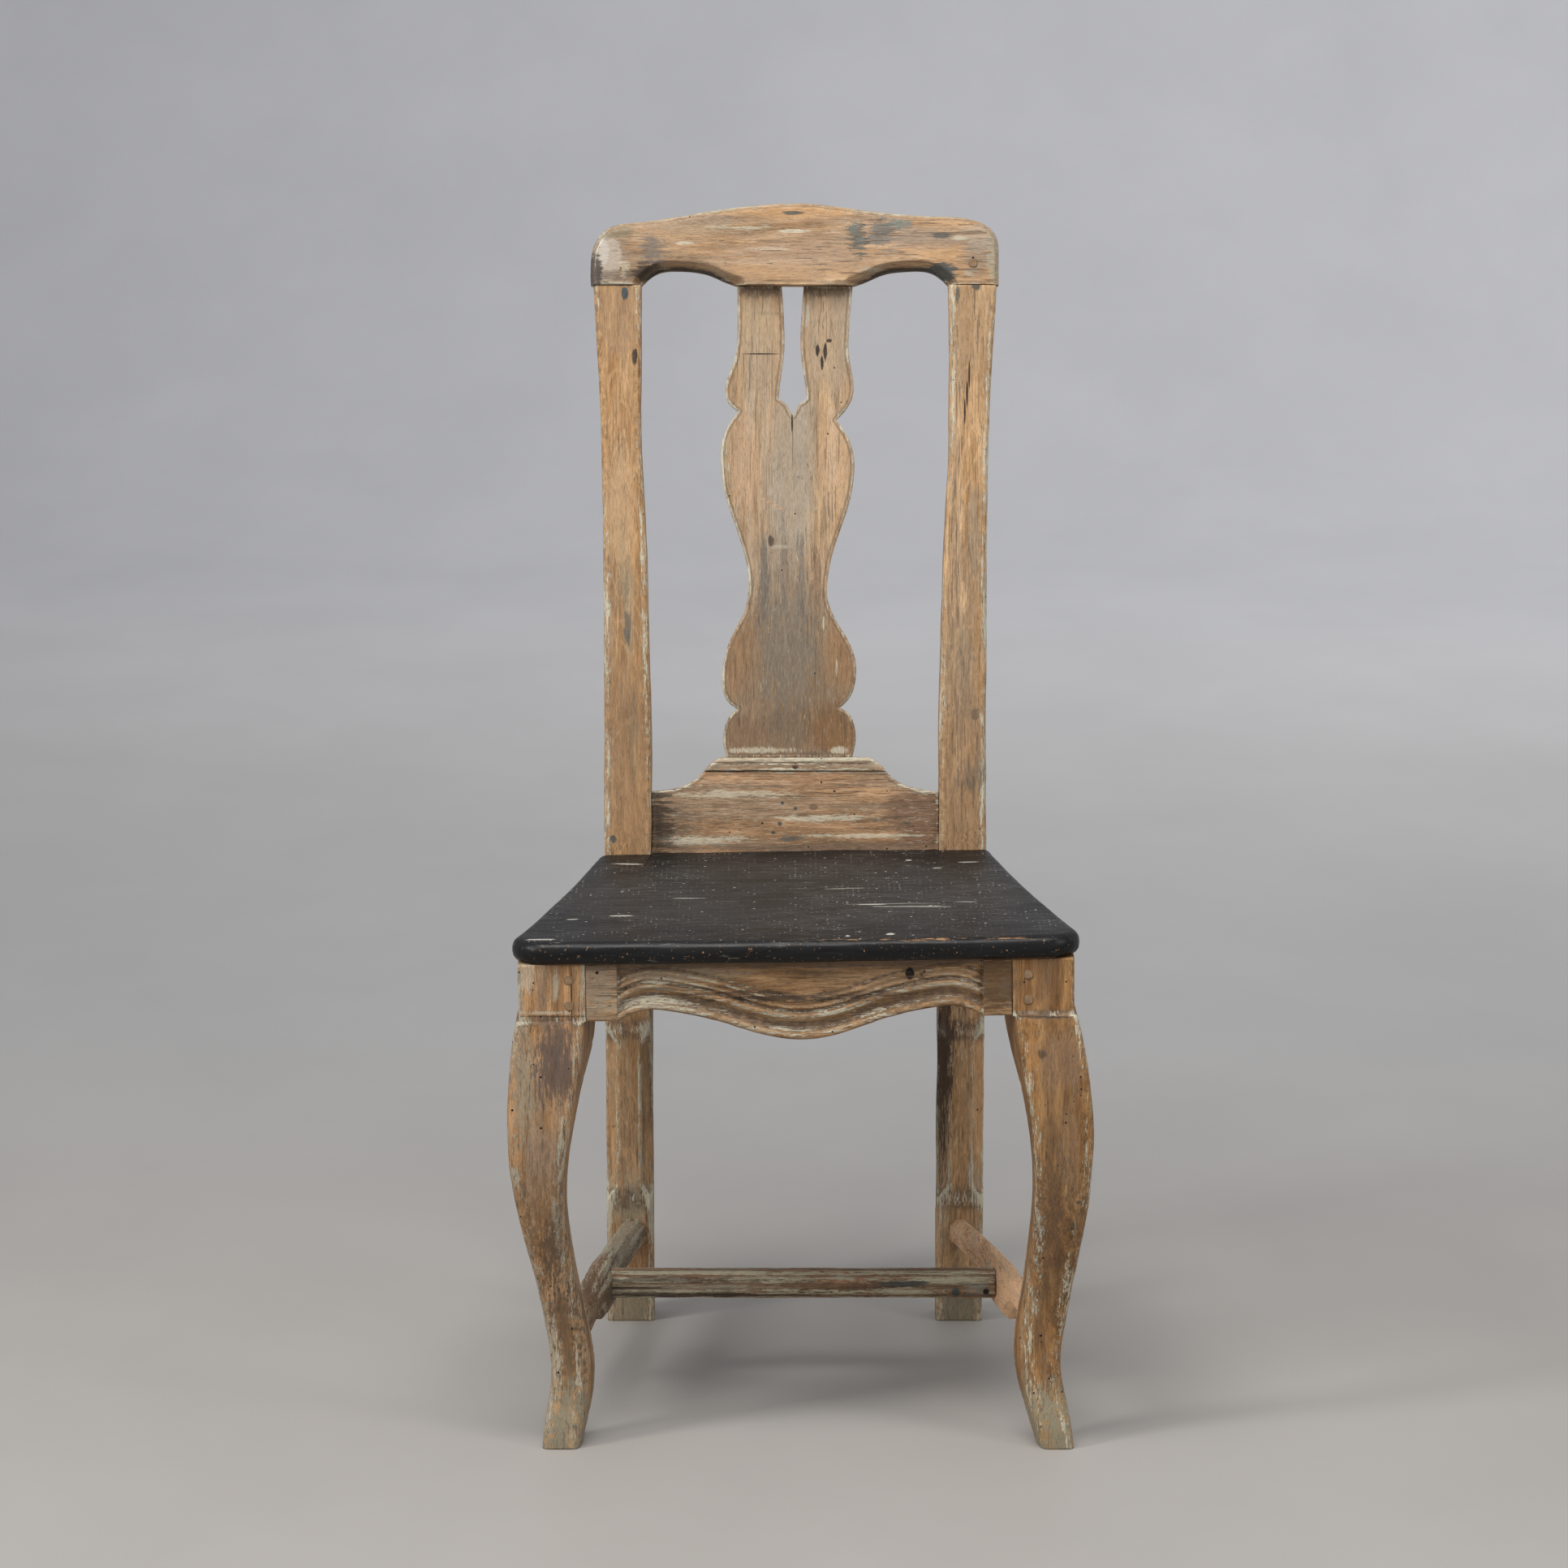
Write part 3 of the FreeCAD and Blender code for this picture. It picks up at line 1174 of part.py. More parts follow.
stretchers = [SideStretcher(side) for side in (LEFT, RIGHT)]
rail_body = back_rail_body()
nodes = {
    "crest_rail": crest_rail(),
    "splat": splat(),
    "back_rail": back_rail(),
    "shoe_moulding": shoe_moulding(),
    "shoe_nail": lean(cap_nail()),
    "seat_board": seat_board(rail_body),
    "front_seat_rail": front_seat_rail(),
    "rear_seat_rail": rear_seat_rail(),
    "cross_stretcher": cross_stretcher(stretchers),
}
for stretcher in stretchers:
    side_name = "left" if stretcher.side == LEFT else "right"
    nodes["side_seat_rail_" + side_name] = side_seat_rail(stretcher.side)
    nodes["side_stretcher_" + side_name] = stretcher.solid()
    nodes["front_leg_" + side_name] = front_leg(stretcher.side, stretcher.leg_cuts())
    nodes["stile_" + side_name] = stile(stretcher.side, stretcher.leg_cuts())

front_pegs = [on_side(peg(*one), side) for side in (LEFT, RIGHT) for one in apron_pegs(side)]
rail_pegs = [one for sizes in side_pegs() for one in both_sides(peg(*sizes))]
back_pegs = [roll(one) for sizes in rear_pegs() for one in both_sides(peg(*sizes))]
back_pegs += [lean(one) for one in both_sides(peg(*back_rail_peg()))]
crest_pegs = [on_side(peg(*crest_peg(side)), side) for side in (LEFT, RIGHT)]
nodes["crest_pegs"] = Part.makeCompound([lean(one) for one in crest_pegs])
nodes["front_rail_pegs"] = roll(Part.makeCompound(front_pegs))
nodes["side_rail_pegs"] = roll(Part.makeCompound(rail_pegs))
nodes["back_rail_pegs"] = Part.makeCompound(back_pegs)
nodes["stretcher_pegs"] = Part.makeCompound(
    [on_side(peg(*one), each.side) for each in stretchers for one in each.pegs()]
)
nodes["seat_dowels"] = roll(Part.makeCompound(seat_dowels()))

os.makedirs("parts", exist_ok=True)
for name, shape in nodes.items():
    write(name, shape)
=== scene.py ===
"""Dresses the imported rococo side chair: worn shapes, painted finishes, stage, light and camera.

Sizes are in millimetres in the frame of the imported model: +Z up and the front towards -Y. Left and
right are -X and +X. Meshes are put out in metres. The back leans, so its pieces are drawn upright,
by depth behind the posts' front face and rise above their bend, and are then turned back. The seat
frame has settled to the left, so its pieces are drawn level and are then turned with it. Each
sub-assembly's tables and finishes stand before its class.
"""

import functools
import itertools
import logging
import math
from collections.abc import Callable
from dataclasses import dataclass, field
from enum import Enum

import bmesh
import bpy
import numpy as np
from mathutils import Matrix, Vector

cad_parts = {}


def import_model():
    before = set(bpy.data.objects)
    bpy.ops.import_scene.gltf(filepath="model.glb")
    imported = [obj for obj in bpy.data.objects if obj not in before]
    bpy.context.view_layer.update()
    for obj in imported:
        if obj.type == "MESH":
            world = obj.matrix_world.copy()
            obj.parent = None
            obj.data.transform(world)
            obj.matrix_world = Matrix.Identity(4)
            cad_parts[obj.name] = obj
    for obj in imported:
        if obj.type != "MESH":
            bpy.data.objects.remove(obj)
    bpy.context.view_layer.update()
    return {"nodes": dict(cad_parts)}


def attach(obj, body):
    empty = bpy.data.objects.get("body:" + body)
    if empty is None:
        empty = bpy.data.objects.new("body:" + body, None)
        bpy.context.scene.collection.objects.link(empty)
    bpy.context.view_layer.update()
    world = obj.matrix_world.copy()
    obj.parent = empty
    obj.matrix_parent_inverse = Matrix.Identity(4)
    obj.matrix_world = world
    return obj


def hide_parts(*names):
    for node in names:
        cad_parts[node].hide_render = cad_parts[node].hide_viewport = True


Array = np.ndarray
Colour = tuple[float, float, float]
Triple = tuple[float, float, float]
Socket = bpy.types.NodeSocket
Piece = bpy.types.Object
LOG = logging.getLogger("chair")
LEFT, RIGHT = -1, 1
SIDE_NAMES = {LEFT: "left", RIGHT: "right"}
MM = 0.001
RAKE = math.radians(8.5)
LEG_SLOPE = math.radians(6.0)
SETTLE = math.radians(0.8)
RAIL_TOP, RAIL_FACE = 430.0, 429.8
LEDGE = 381.0
BEND_Y, BEND_Z = 148.42, 470.0
POST_RISE = 497.0
SEAT_FRONT, APRON_FRONT = -261.58, -249.58
STRETCH = 9.0
ALONG_X, ALONG_Y, ALONG_Z = (STRETCH, 1.0, 1.0), (1.0, STRETCH, 1.0), (1.0, 1.0, STRETCH)
EDGE_REACH, CORNER_REACH = 4.0, 3.5
END_RINGS = np.array([0.97, 0.85, 0.6, 0.3, 0.0])
END_EDGES = np.array([0.8, 0.4, 0.1, 0.0, 0.0])
HASH_STEPS = np.array([73856093, 19349663, 83492791])
HASH_SEED, HASH_TURN, HASH_MASK = 7919, 1274126177, 0x7FFFFFFF


def sided(left: object, right: object) -> object:
    """A field of a class that holds a size for each side."""
    return field(default_factory=lambda: {LEFT: left, RIGHT: right})


# Places


def leaned(points: Array) -> Array:
    """Turn points of the upright back to their place about the posts' bend.

    Args:
        points: Rows of x, depth behind the posts' face and rise above the bend.

    Returns:
        Rows of x, y and z on the leaning back.
    """
    x, depth, rise = np.moveaxis(np.asarray(points, float), -1, 0)
    y = BEND_Y + depth * math.cos(RAKE) + rise * math.sin(RAKE)
    z = BEND_Z - depth * math.sin(RAKE) + rise * math.cos(RAKE)
    return np.stack([x, y, z], axis=-1)


def settled(points: Array) -> Array:
    """Turn points of the level seat frame with its slight drop to the left.

    Args:
        points: Rows of x, y and z.

    Returns:
        The rows turned about the middle of the rails' top.
    """
    x, y, z = np.moveaxis(np.asarray(points, float), -1, 0)
    up = z - RAIL_TOP
    turned_x = x * math.cos(SETTLE) - up * math.sin(SETTLE)
    turned_z = x * math.sin(SETTLE) + up * math.cos(SETTLE)
    return np.stack([turned_x, y, RAIL_TOP + turned_z], axis=-1)


# Curves and random fields


def smooth_through(rows: Array, places: Array) -> Array:
    """Read a natural cubic curve through a table.

    Between two rows the value is the straight line plus the cubic bend given by the second
    derivatives, which solve one linear system and are zero at both ends.

    Args:
        rows: Table whose first column rises and whose other columns are values.
        places: Where to read it.

    Returns:
        One row of values for each place.
    """
    rows = np.asarray(rows, float)
    at, values = rows[:, 0], rows[:, 1:]
    step = np.diff(at)
    system = np.eye(len(at))
    target = np.zeros_like(values)
    inner = np.arange(1, len(at) - 1)
    system[inner, inner - 1] = step[:-1]
    system[inner, inner] = 2 * (step[:-1] + step[1:])
    system[inner, inner + 1] = step[1:]
    slope = np.diff(values, axis=0) / step[:, None]
    target[inner] = 6 * np.diff(slope, axis=0)
    bend = np.linalg.solve(system, target)
    places = np.clip(places, at[0], at[-1])
    low = np.clip(np.searchsorted(at, places, side="right") - 1, 0, len(at) - 2)
    width = step[low][:, None]
    b = ((places - at[low]) / step[low])[:, None]
    a = 1 - b
    cubic = ((a**3 - a) * bend[low] + (b**3 - b) * bend[low + 1]) * width**2 / 6
    return a * values[low] + b * values[low + 1] + cubic


def run_of(points: Array) -> Array:
    """Length of a broken line from its start to each of its corners."""
    return np.concatenate([[0.0], np.cumsum(np.linalg.norm(np.diff(points, axis=0), axis=1))])


def curve_points(points: Array, count: int) -> Array:
    """Points along a smooth curve through the given ones, by its length between them.

    Args:
        points: Points in the plane.
        count: How many points to return.

    Returns:
        Rows of points from the first to the last.
    """
    points = np.asarray(points, float)
    run = run_of(points)
    return smooth_through(np.column_stack([run, points]), np.linspace(0, run[-1], count))


def read_along(points: Array, places: Array) -> Array:
    """Points of a broken line at shares of its length."""
    run = run_of(points)
    return np.column_stack([np.interp(places * run[-1], run, column) for column in points.T])


def crowded(count: int, share: float = 0.85) -> Array:
    """Places closer together towards 0 and 1: a mix of t and (1 - cos(pi t)) / 2 by the share."""
    t = np.linspace(0, 1, count)
    return (1 - share) * t + share * (0.5 - 0.5 * np.cos(np.pi * t))


def drift(points: Array, size: Triple | float, seed: int) -> Array:
    """Smooth random field between -1 and 1.

    Each lattice corner has a fixed random value, and the eight values round a point are blended
    by the eased distances 6 t^5 - 15 t^4 + 10 t^3.

    Args:
        points: Rows of x, y and z in millimetres.
        size: Size of the lattice cells, one number or one for each axis.
        seed: Picks another field.

    Returns:
        One value for each row.
    """
    scaled = points / np.asarray(size, float) + 0.37 * seed
    cell = np.floor(scaled).astype(np.int64)
    part = scaled - cell
    ease = part**3 * (part * (part * 6 - 15) + 10)
    total = np.zeros(len(points))
    for corner in itertools.product((0, 1), repeat=3):
        key = (cell + np.array(corner)) @ HASH_STEPS + seed * HASH_SEED
        key = ((key ^ (key >> 13)) * HASH_TURN) & HASH_MASK
        value = ((key ^ (key >> 15)) & 0xFFFF) / 32767.5 - 1
        total += value * np.prod(np.where(corner, ease, 1 - ease), axis=1)
    return total


# Surfaces


@dataclass
class Surface:
    """Points and four-sided faces of one closed surface, with what each point lies near to."""

    points: Array
    faces: Array
    edge: Array
    hollow: Array

    @classmethod
    def joined(cls, parts: list["Surface"]) -> "Surface":
        """Put several surfaces into one.

        Args:
            parts: The surfaces.

        Returns:
            One surface that holds them all.
        """
        starts = np.cumsum([0] + [len(part.points) for part in parts[:-1]])
        return cls(
            np.concatenate([part.points for part in parts]),
            np.concatenate([part.faces + start for part, start in zip(parts, starts)]),
            np.concatenate([part.edge for part in parts]),
            np.concatenate([part.hollow for part in parts]),
        )

    def placed(self, place: Callable[[Array], Array]) -> "Surface":
        """The surface with every point carried to its place."""
        return Surface(place(self.points), self.faces, self.edge, self.hollow)


def grid_faces(numbers: Array, closed: bool = False) -> Array:
    """Faces of a grid of point numbers.

    Args:
        numbers: Rows and columns of point numbers.
        closed: Whether the last column joins the first.

    Returns:
        One row of four numbers for each cell.
    """
    if closed:
        numbers = np.concatenate([numbers, numbers[:, :1]], axis=1)
    cells = [numbers[:-1, :-1], numbers[:-1, 1:], numbers[1:, 1:], numbers[1:, :-1]]
    return np.stack(cells, axis=-1).reshape(-1, 4)


def tube(rings: Array, edge: Array, hollow: Array | None = None) -> Surface:
    """Closed body through a row of rings, each end closed by rings that shrink to its middle.

    Args:
        rings: Rings of points, ring by ring and round each one.
        edge: How near each point lies to an arris, from 0 to 1.
        hollow: How near each point lies to a recess, from 0 to 1.

    Returns:
        The closed surface.
    """
    hollow = np.zeros(rings.shape[:2]) if hollow is None else hollow
    shrink, fade = END_RINGS[:, None, None], END_EDGES[:, None]
    starts, ends = [rings[:1].mean(axis=1, keepdims=True), rings[-1:].mean(axis=1, keepdims=True)]
    head = starts + (rings[:1] - starts) * shrink[::-1]
    tail = ends + (rings[-1:] - ends) * shrink
    edge = np.concatenate([edge[:1] * fade[::-1], edge, edge[-1:] * fade])
    hollow = np.concatenate([hollow[:1] * fade[::-1], hollow, hollow[-1:] * fade])
    rings = np.concatenate([head, rings, tail])
    numbers = np.arange(rings.shape[0] * rings.shape[1]).reshape(rings.shape[:2])
    return Surface(rings.reshape(-1, 3), grid_faces(numbers, True), edge.ravel(), hollow.ravel())


def at_places(loops: Array, places: Array, axis: int) -> Array:
    """Rings from flat outlines, each set at its own place along the axis that they lack."""
    return np.insert(loops, axis, places[:, None], axis=-1)


def rounded_loops(corners: Array, radii: Array | float, arc: int = 3, side: int = 6) -> tuple[Array, Array]:
    """Outlines with rounded corners, one for each row of corners.

    A corner is the conic through its two arc ends, (1-t)^2 A + 1.5 t (1-t) C + t^2 B over the sum
    of its weights, and the sides between the arcs are straight.

    Args:
        corners: Corners of each outline, outline by outline, in order round it.
        radii: Distance of the arc ends from each corner, or from all of them.
        arc: Steps in each arc.
        side: Steps in each side.

    Returns:
        The points of each outline, and how near each lies to a corner, from 0 to 1.
    """
    before = np.roll(corners, 1, axis=1) - corners
    after = np.roll(corners, -1, axis=1) - corners
    reach = np.broadcast_to(radii, corners.shape[:2])[..., None]
    start = corners + before / np.linalg.norm(before, axis=2, keepdims=True) * reach
    end = corners + after / np.linalg.norm(after, axis=2, keepdims=True) * reach
    t = np.linspace(0, 1, arc + 1)[:, None]
    weights = [(1 - t) ** 2, 1.5 * t * (1 - t), t**2]
    total = sum(weights)
    turn = sum(w / total * p[:, :, None] for w, p in zip(weights, (start, corners, end)))
    s = np.linspace(0, 1, side + 1)[1:-1][:, None]
    following = np.roll(start, -1, axis=1)
    straight = end[:, :, None] * (1 - s) + following[:, :, None] * s
    gap = np.linalg.norm(following - end, axis=2)[..., None]
    nearness = np.exp(-((gap * np.minimum(s, 1 - s)[:, 0] / CORNER_REACH) ** 2))
    points = np.concatenate([turn, straight], axis=2)
    edge = np.concatenate([np.ones(turn.shape[:3]), nearness], axis=2)
    return points.reshape(len(corners), -1, 2), edge.reshape(len(corners), -1)


@dataclass(frozen=True)
class Arris:
    """How a board's edge is worked: the width and depth taken off, and how flat the cut is."""

    width: float
    depth: float
    flat: float = 0.0

    def taken(self, distance: Array) -> Array:
        """Depth taken off at this distance from the edge.

        A round arris takes d - sqrt(d^2 - (d - s)^2) scaled to its width, a flat one d (1 - s).

        Args:
            distance: Distance from the outline.

        Returns:
            The depth of wood taken off.
        """
        share = np.clip(1 - distance / self.width, 0, 1)
        round_cut = 1 - np.sqrt(np.clip(1 - share**2, 0, 1))
        return self.depth * (self.flat * share + (1 - self.flat) * round_cut)


def distance_to(points: Array, line: Array) -> Array:
    """Shortest distance from points to a broken line in the plane.

    Args:
        points: Rows of points.
        line: Rows of the line's corners.

    Returns:
        One distance for each point.
    """
    start, run = line[:-1], np.diff(line, axis=0)
    length = np.maximum((run**2).sum(axis=1), 1e-12)
    best = np.full(len(points), np.inf)
    for chunk in np.array_split(np.arange(len(points)), max(1, len(points) // 4000)):
        offset = points[chunk, None] - start
        share = np.clip((offset * run).sum(axis=2) / length, 0, 1)
        gap = offset - share[..., None] * run
        best[chunk] = np.sqrt((gap**2).sum(axis=2)).min(axis=1)
    return best


@dataclass
class Rim:
    """One stretch of a board's outline: its point numbers in the sheet and its two arrises."""

    numbers: Array
    front: Arris
    back: Arris

    @classmethod
    def alike(cls, arris: Arris, *stretches: Array) -> list["Rim"]:
        """Stretches whose arrises are all the same."""
        return [cls(numbers, arris, arris) for numbers in stretches]


def board(sheets: list[Array], rims: list[Rim], thickness: float, wall: int = 6) -> Surface:
    """Board with a front and a back sheet, its edges worked along each rim.

    Each point of the front sheet sinks by the deepest of the cuts that the rims make at its
    distance, the back sheet likewise, and a wall joins the two along every rim.

    Args:
        sheets: Grids of points in the board's plane.
        rims: Stretches of outline, numbered through all the sheets in order.
        thickness: From face to back.
        wall: Steps across each wall.

    Returns:
        The surface, as x, depth and height.
    """
    flat = np.concatenate([sheet.reshape(-1, 2) for sheet in sheets])
    sunk, raised = np.zeros(len(flat)), np.zeros(len(flat))
    near = np.full(len(flat), np.inf)
    for rim in rims:
        away = distance_to(flat, flat[rim.numbers])
        sunk = np.maximum(sunk, rim.front.taken(away))
        raised = np.maximum(raised, rim.back.taken(away))
        near = np.minimum(near, away)
    fronts = np.column_stack([flat[:, 0], sunk, flat[:, 1]])
    backs = np.column_stack([flat[:, 0], thickness - raised, flat[:, 1]])
    faces, start = [], 0
    for sheet in sheets:
        numbers = start + np.arange(sheet.shape[0] * sheet.shape[1]).reshape(sheet.shape[:2])
        faces += [grid_faces(numbers), grid_faces(numbers + len(flat))]
        start += numbers.size
    points, edge = [fronts, backs], [np.exp(-((near / EDGE_REACH) ** 2))] * 2
    count = 2 * len(flat)
    for rim in rims:
        share = np.linspace(0, 1, wall + 1)[:, None, None]
        rows = fronts[rim.numbers] * (1 - share) + backs[rim.numbers] * share
        numbers = count + np.arange(rows.shape[0] * rows.shape[1]).reshape(rows.shape[:2])
        across = np.linalg.norm(rows[-1] - rows[0], axis=1) * np.minimum(share, 1 - share)[..., 0]
        points.append(rows.reshape(-1, 3))
        edge.append(np.exp(-((across / EDGE_REACH) ** 2)).ravel())
        faces.append(grid_faces(numbers))
        count += numbers.size
    edge = np.concatenate(edge)
    return Surface(np.concatenate(points), np.concatenate(faces), edge, np.zeros(len(edge)))


def coons(bottom: Array, right: Array, top: Array, left: Array, u: Array, v: Array) -> Array:
    """Sheet between four curves, rows from bottom to top.

    Each point is the blend of the two facing pairs of curves less the blend of the corners.

    Args:
        bottom: Points from left to right.
        right: Points from bottom to top.
        top: Points from left to right.
        left: Points from bottom to top.
        u: Place from 0 to 1 of each point of the bottom and the top.
        v: Place from 0 to 1 of each point of the sides.

    Returns:
        The grid of points.
    """
    u, v = u[None, :, None], v[:, None, None]
    between = (1 - v) * bottom[None] + v * top[None] + (1 - u) * left[:, None] + u * right[:, None]
    corners = (1 - u) * (1 - v) * bottom[0] + u * (1 - v) * bottom[-1]
    corners = corners + (1 - u) * v * top[0] + u * v * top[-1]
    return between - corners


def outline_numbers(shape: tuple[int, int]) -> tuple[Array, Array, Array, Array]:
    """Point numbers along a sheet's bottom, right, top and left.

    Args:
        shape: Rows and columns of the sheet.

    Returns:
        The four lines of numbers.
    """
    numbers = np.arange(shape[0] * shape[1]).reshape(shape)
    return numbers[0], numbers[:, -1], numbers[-1], numbers[:, 0]


# Wear in the shapes


@dataclass(frozen=True)
class Dent:
    """A small hollow, or a bump where its depth is below zero."""

    place: Triple
    reach: Triple
    depth: float


@dataclass(frozen=True)
class Wear:
    """How uneven a hand-made, worn piece is, in millimetres."""

    seed: int
    grain: Triple
    sway: float = 0.5
    ripple: float = 0.12
    nicks: float = 0.7
    dents: tuple[Dent, ...] = ()

    def moved(self, points: Array, normals: Array, edge: Array) -> Array:
        """Move points along their normals.

        The move is a slow sway in two sizes, plus a ripple drawn out along the grain in two
        sizes, less nicks where a random field passes a limit near an arris, less each dent as
        exp(-(distance/reach)^2).

        Args:
            points: Rows of points.
            normals: Their normals.
            edge: How near each lies to an arris.

        Returns:
            The moved points.
        """
        along = np.asarray(self.grain, float)
        move = self.sway * drift(points, 55.0, self.seed)
        move += self.sway * 0.45 * drift(points, 24.0, self.seed + 1)
        move += self.ripple * drift(points, tuple(along * 3.2), self.seed + 2)
        move += self.ripple * 0.6 * drift(points, tuple(along * 1.4), self.seed + 3)
        chips = np.clip(drift(points, tuple(along * 2.5), self.seed + 4) - 0.35, 0, 1)
        move -= self.nicks * 1.6 * edge * chips
        for dent in self.dents:
            offset = (points - np.array(dent.place)) / np.array(dent.reach)
            move -= dent.depth * np.exp(-(offset**2).sum(axis=1))
        return points + normals * move[:, None]


# Finishes


CREAM: Colour = (0.54, 0.49, 0.37)
SAGE: Colour = (0.38, 0.335, 0.245)
OLIVE: Colour = (0.22, 0.18, 0.115)
ORANGE: Colour = (0.50, 0.29, 0.135)
UMBER: Colour = (0.14, 0.095, 0.065)
PLUM: Colour = (0.085, 0.062, 0.058)
INK: Colour = (0.05, 0.068, 0.072)
# Near black, for dirt and for painted shade.
DIRT_AND_SHADE: Colour = (0.030, 0.022, 0.017)
BLACK: Colour = (0.006, 0.005, 0.005)
DARK = 0.1
SEED_STEPS = (37.1, 11.7, 5.3)
VECTOR_INPUTS = ("Place", "Fibres", "Centre", "Reach")


class Grain(Enum):
    """Which way the fibres run: the turn that stands them up, and how far they are drawn out."""

    UPRIGHT = ((0.0, 0.0, 0.0), (1.0, 1.0, 1 / STRETCH))
    ACROSS = ((0.0, math.pi / 2, 0.0), (1 / STRETCH, 1.0, 1.0))
    LENGTHWISE = ((math.pi / 2, 0.0, 0.0), (1.0, 1 / STRETCH, 1.0))


class Stance(Enum):
    """How a piece stands: the origin in metres and the turn of its own upright drawing."""

    PLAIN = ((0.0, 0.0, 0.0), (0.0, 0.0, 0.0))
    SETTLED = ((0.0, 0.0, RAIL_TOP * MM), (0.0, -SETTLE, 0.0))
    LEANING = ((0.0, BEND_Y * MM, BEND_Z * MM), (-RAKE, 0.0, 0.0))
    BENT = ((0.0, BEND_Y * MM, BEND_Z * MM), (0.0, 0.0, 0.0))


class Graph:
    """Short calls for the shader nodes that the finishes are made of."""

    def __init__(self, tree: bpy.types.NodeTree) -> None:
        """Keep the tree that nodes are added to."""
        self.tree = tree

    def feed(self, node: bpy.types.Node, inputs: dict) -> None:
        """Give a node its inputs.

        Args:
            node: The node.
            inputs: What goes into each input, a socket to link or a plain value.
        """
        for label, value in inputs.items():
            socket = node.inputs[label]
            if isinstance(value, Socket):
                self.tree.links.new(value, socket)
            else:
                socket.default_value = (*value, 1.0) if socket.type == "RGBA" else value

    def add(self, kind: str, inputs: dict | None = None, **settings: object) -> bpy.types.Node:
        """Add a node.

        Args:
            kind: The node's type.
            inputs: What goes into each input.
            settings: Properties of the node, which are set first.

        Returns:
            The node.
        """
        node = self.tree.nodes.new(kind)
        for label, value in settings.items():
            setattr(node, label, value)
        self.feed(node, inputs or {})
        return node

    def use(self, group: bpy.types.NodeTree, inputs: dict) -> bpy.types.bpy_prop_collection:
        """Place a shared group and give its outputs."""
        return self.add("ShaderNodeGroup", inputs, node_tree=group).outputs

    def math(self, operation: str, *values: object) -> Socket:
        """A Math node of one to three values."""
        return self.add("ShaderNodeMath", dict(enumerate(values)), operation=operation).outputs[0]

    def total(self, *terms: tuple[object, float]) -> Socket:
        """The sum of values, each times its weight."""
        result = self.math("MULTIPLY", *terms[0])
        for value, weight in terms[1:]:
            result = self.math("MULTIPLY_ADD", value, weight, result)
        return result

    def product(self, *values: object) -> Socket:
        """The product of several values."""
        return functools.reduce(lambda result, value: self.math("MULTIPLY", result, value), values)

    def step(self, value: object, low: float, high: float, start: float = 0.0, end: float = 1.0) -> Socket:
        """A soft step from start at low to end at high."""
        ends = {"Value": value, "From Min": low, "From Max": high, "To Min": start, "To Max": end}
        return self.add("ShaderNodeMapRange", ends, interpolation_type="SMOOTHSTEP").outputs[0]

    def noise(self, vector: object, size: float, detail: float = 3.0, rough: float = 0.55) -> Socket:
        """Soft random values about 0.5, of patches of the given size."""
        inputs = {"Vector": vector, "Scale": 1 / size, "Detail": detail, "Roughness": rough}
        return self.add("ShaderNodeTexNoise", inputs).outputs[0]

    def mix(self, share: object, first: object, second: object) -> Socket:
        """Go from the first colour to the second."""
        return self.add("ShaderNodeMix", {0: share, 6: first, 7: second}, data_type="RGBA").outputs[2]

    def scaled(self, vector: object, scale: object) -> Socket:
        """A colour or vector times a number or a vector."""
        if isinstance(scale, tuple):
            return self.vectors("MULTIPLY", vector, scale)
        return self.add("ShaderNodeVectorMath", {0: vector, "Scale": scale}, operation="SCALE").outputs[0]

    def vectors(self, operation: str, *values: object) -> Socket:
        """A Vector Math node of two vectors."""
        return self.add("ShaderNodeVectorMath", dict(enumerate(values)), operation=operation).outputs[0]

    def parts(self, vector: object) -> bpy.types.bpy_prop_collection:
        """The three numbers of a vector."""
        return self.add("ShaderNodeSeparateXYZ", {0: vector}).outputs

    def ramp(self, value: object, stops: tuple[tuple[float, Colour], ...]) -> Socket:
        """A colour read off a row of stops.

        Args:
            value: Where to read, from 0 to 1.
            stops: Place and colour of each stop.

        Returns:
            The colour.
        """
        node = self.add("ShaderNodeValToRGB", {0: value})
        elements = node.color_ramp.elements
        for _ in stops[2:]:
            elements.new(0.5)
        for element, (place, colour) in zip(elements, stops):
            element.position, element.color = place, (*colour, 1.0)
        return node.outputs[0]

    def attribute(self, label: str) -> Socket:
        """A number stored at the mesh's points."""
        return self.add("ShaderNodeAttribute", attribute_name=label).outputs["Fac"]

    def bump(self, height: object, strength: float, distance: float) -> Socket:
        """The normal of a surface with this relief."""
        inputs = {"Height": height, "Strength": strength, "Distance": distance}
        return self.add("ShaderNodeBump", inputs).outputs[0]

    def place(self, stance: Stance) -> Socket:
        """The place on a piece in its own upright drawing, in millimetres.

        On the bent rear legs the fold is taken out: the depth loses tan(lean) times the height
        above the bend, and tan(splay) times the depth below it.

        Args:
            stance: How the piece stands.

        Returns:
            The place as a vector.
        """
        origin, turn = stance.value
        inputs = {"Vector": self.add("ShaderNodeTexCoord").outputs["Object"], "Location": origin,
                  "Rotation": turn, "Scale": (MM, MM, MM)}
        place = self.add("ShaderNodeMapping", inputs, vector_type="TEXTURE").outputs[0]
        if stance is not Stance.BENT:
            return place
        x, y, z = self.parts(place)
        over, under = self.math("MAXIMUM", z, 0.0), self.math("MINIMUM", z, 0.0)
        depth = self.total((y, 1.0), (over, -math.tan(RAKE)), (under, math.tan(LEG_SLOPE)))
        return self.add("ShaderNodeCombineXYZ", {0: x, 1: depth, 2: z}).outputs[0]

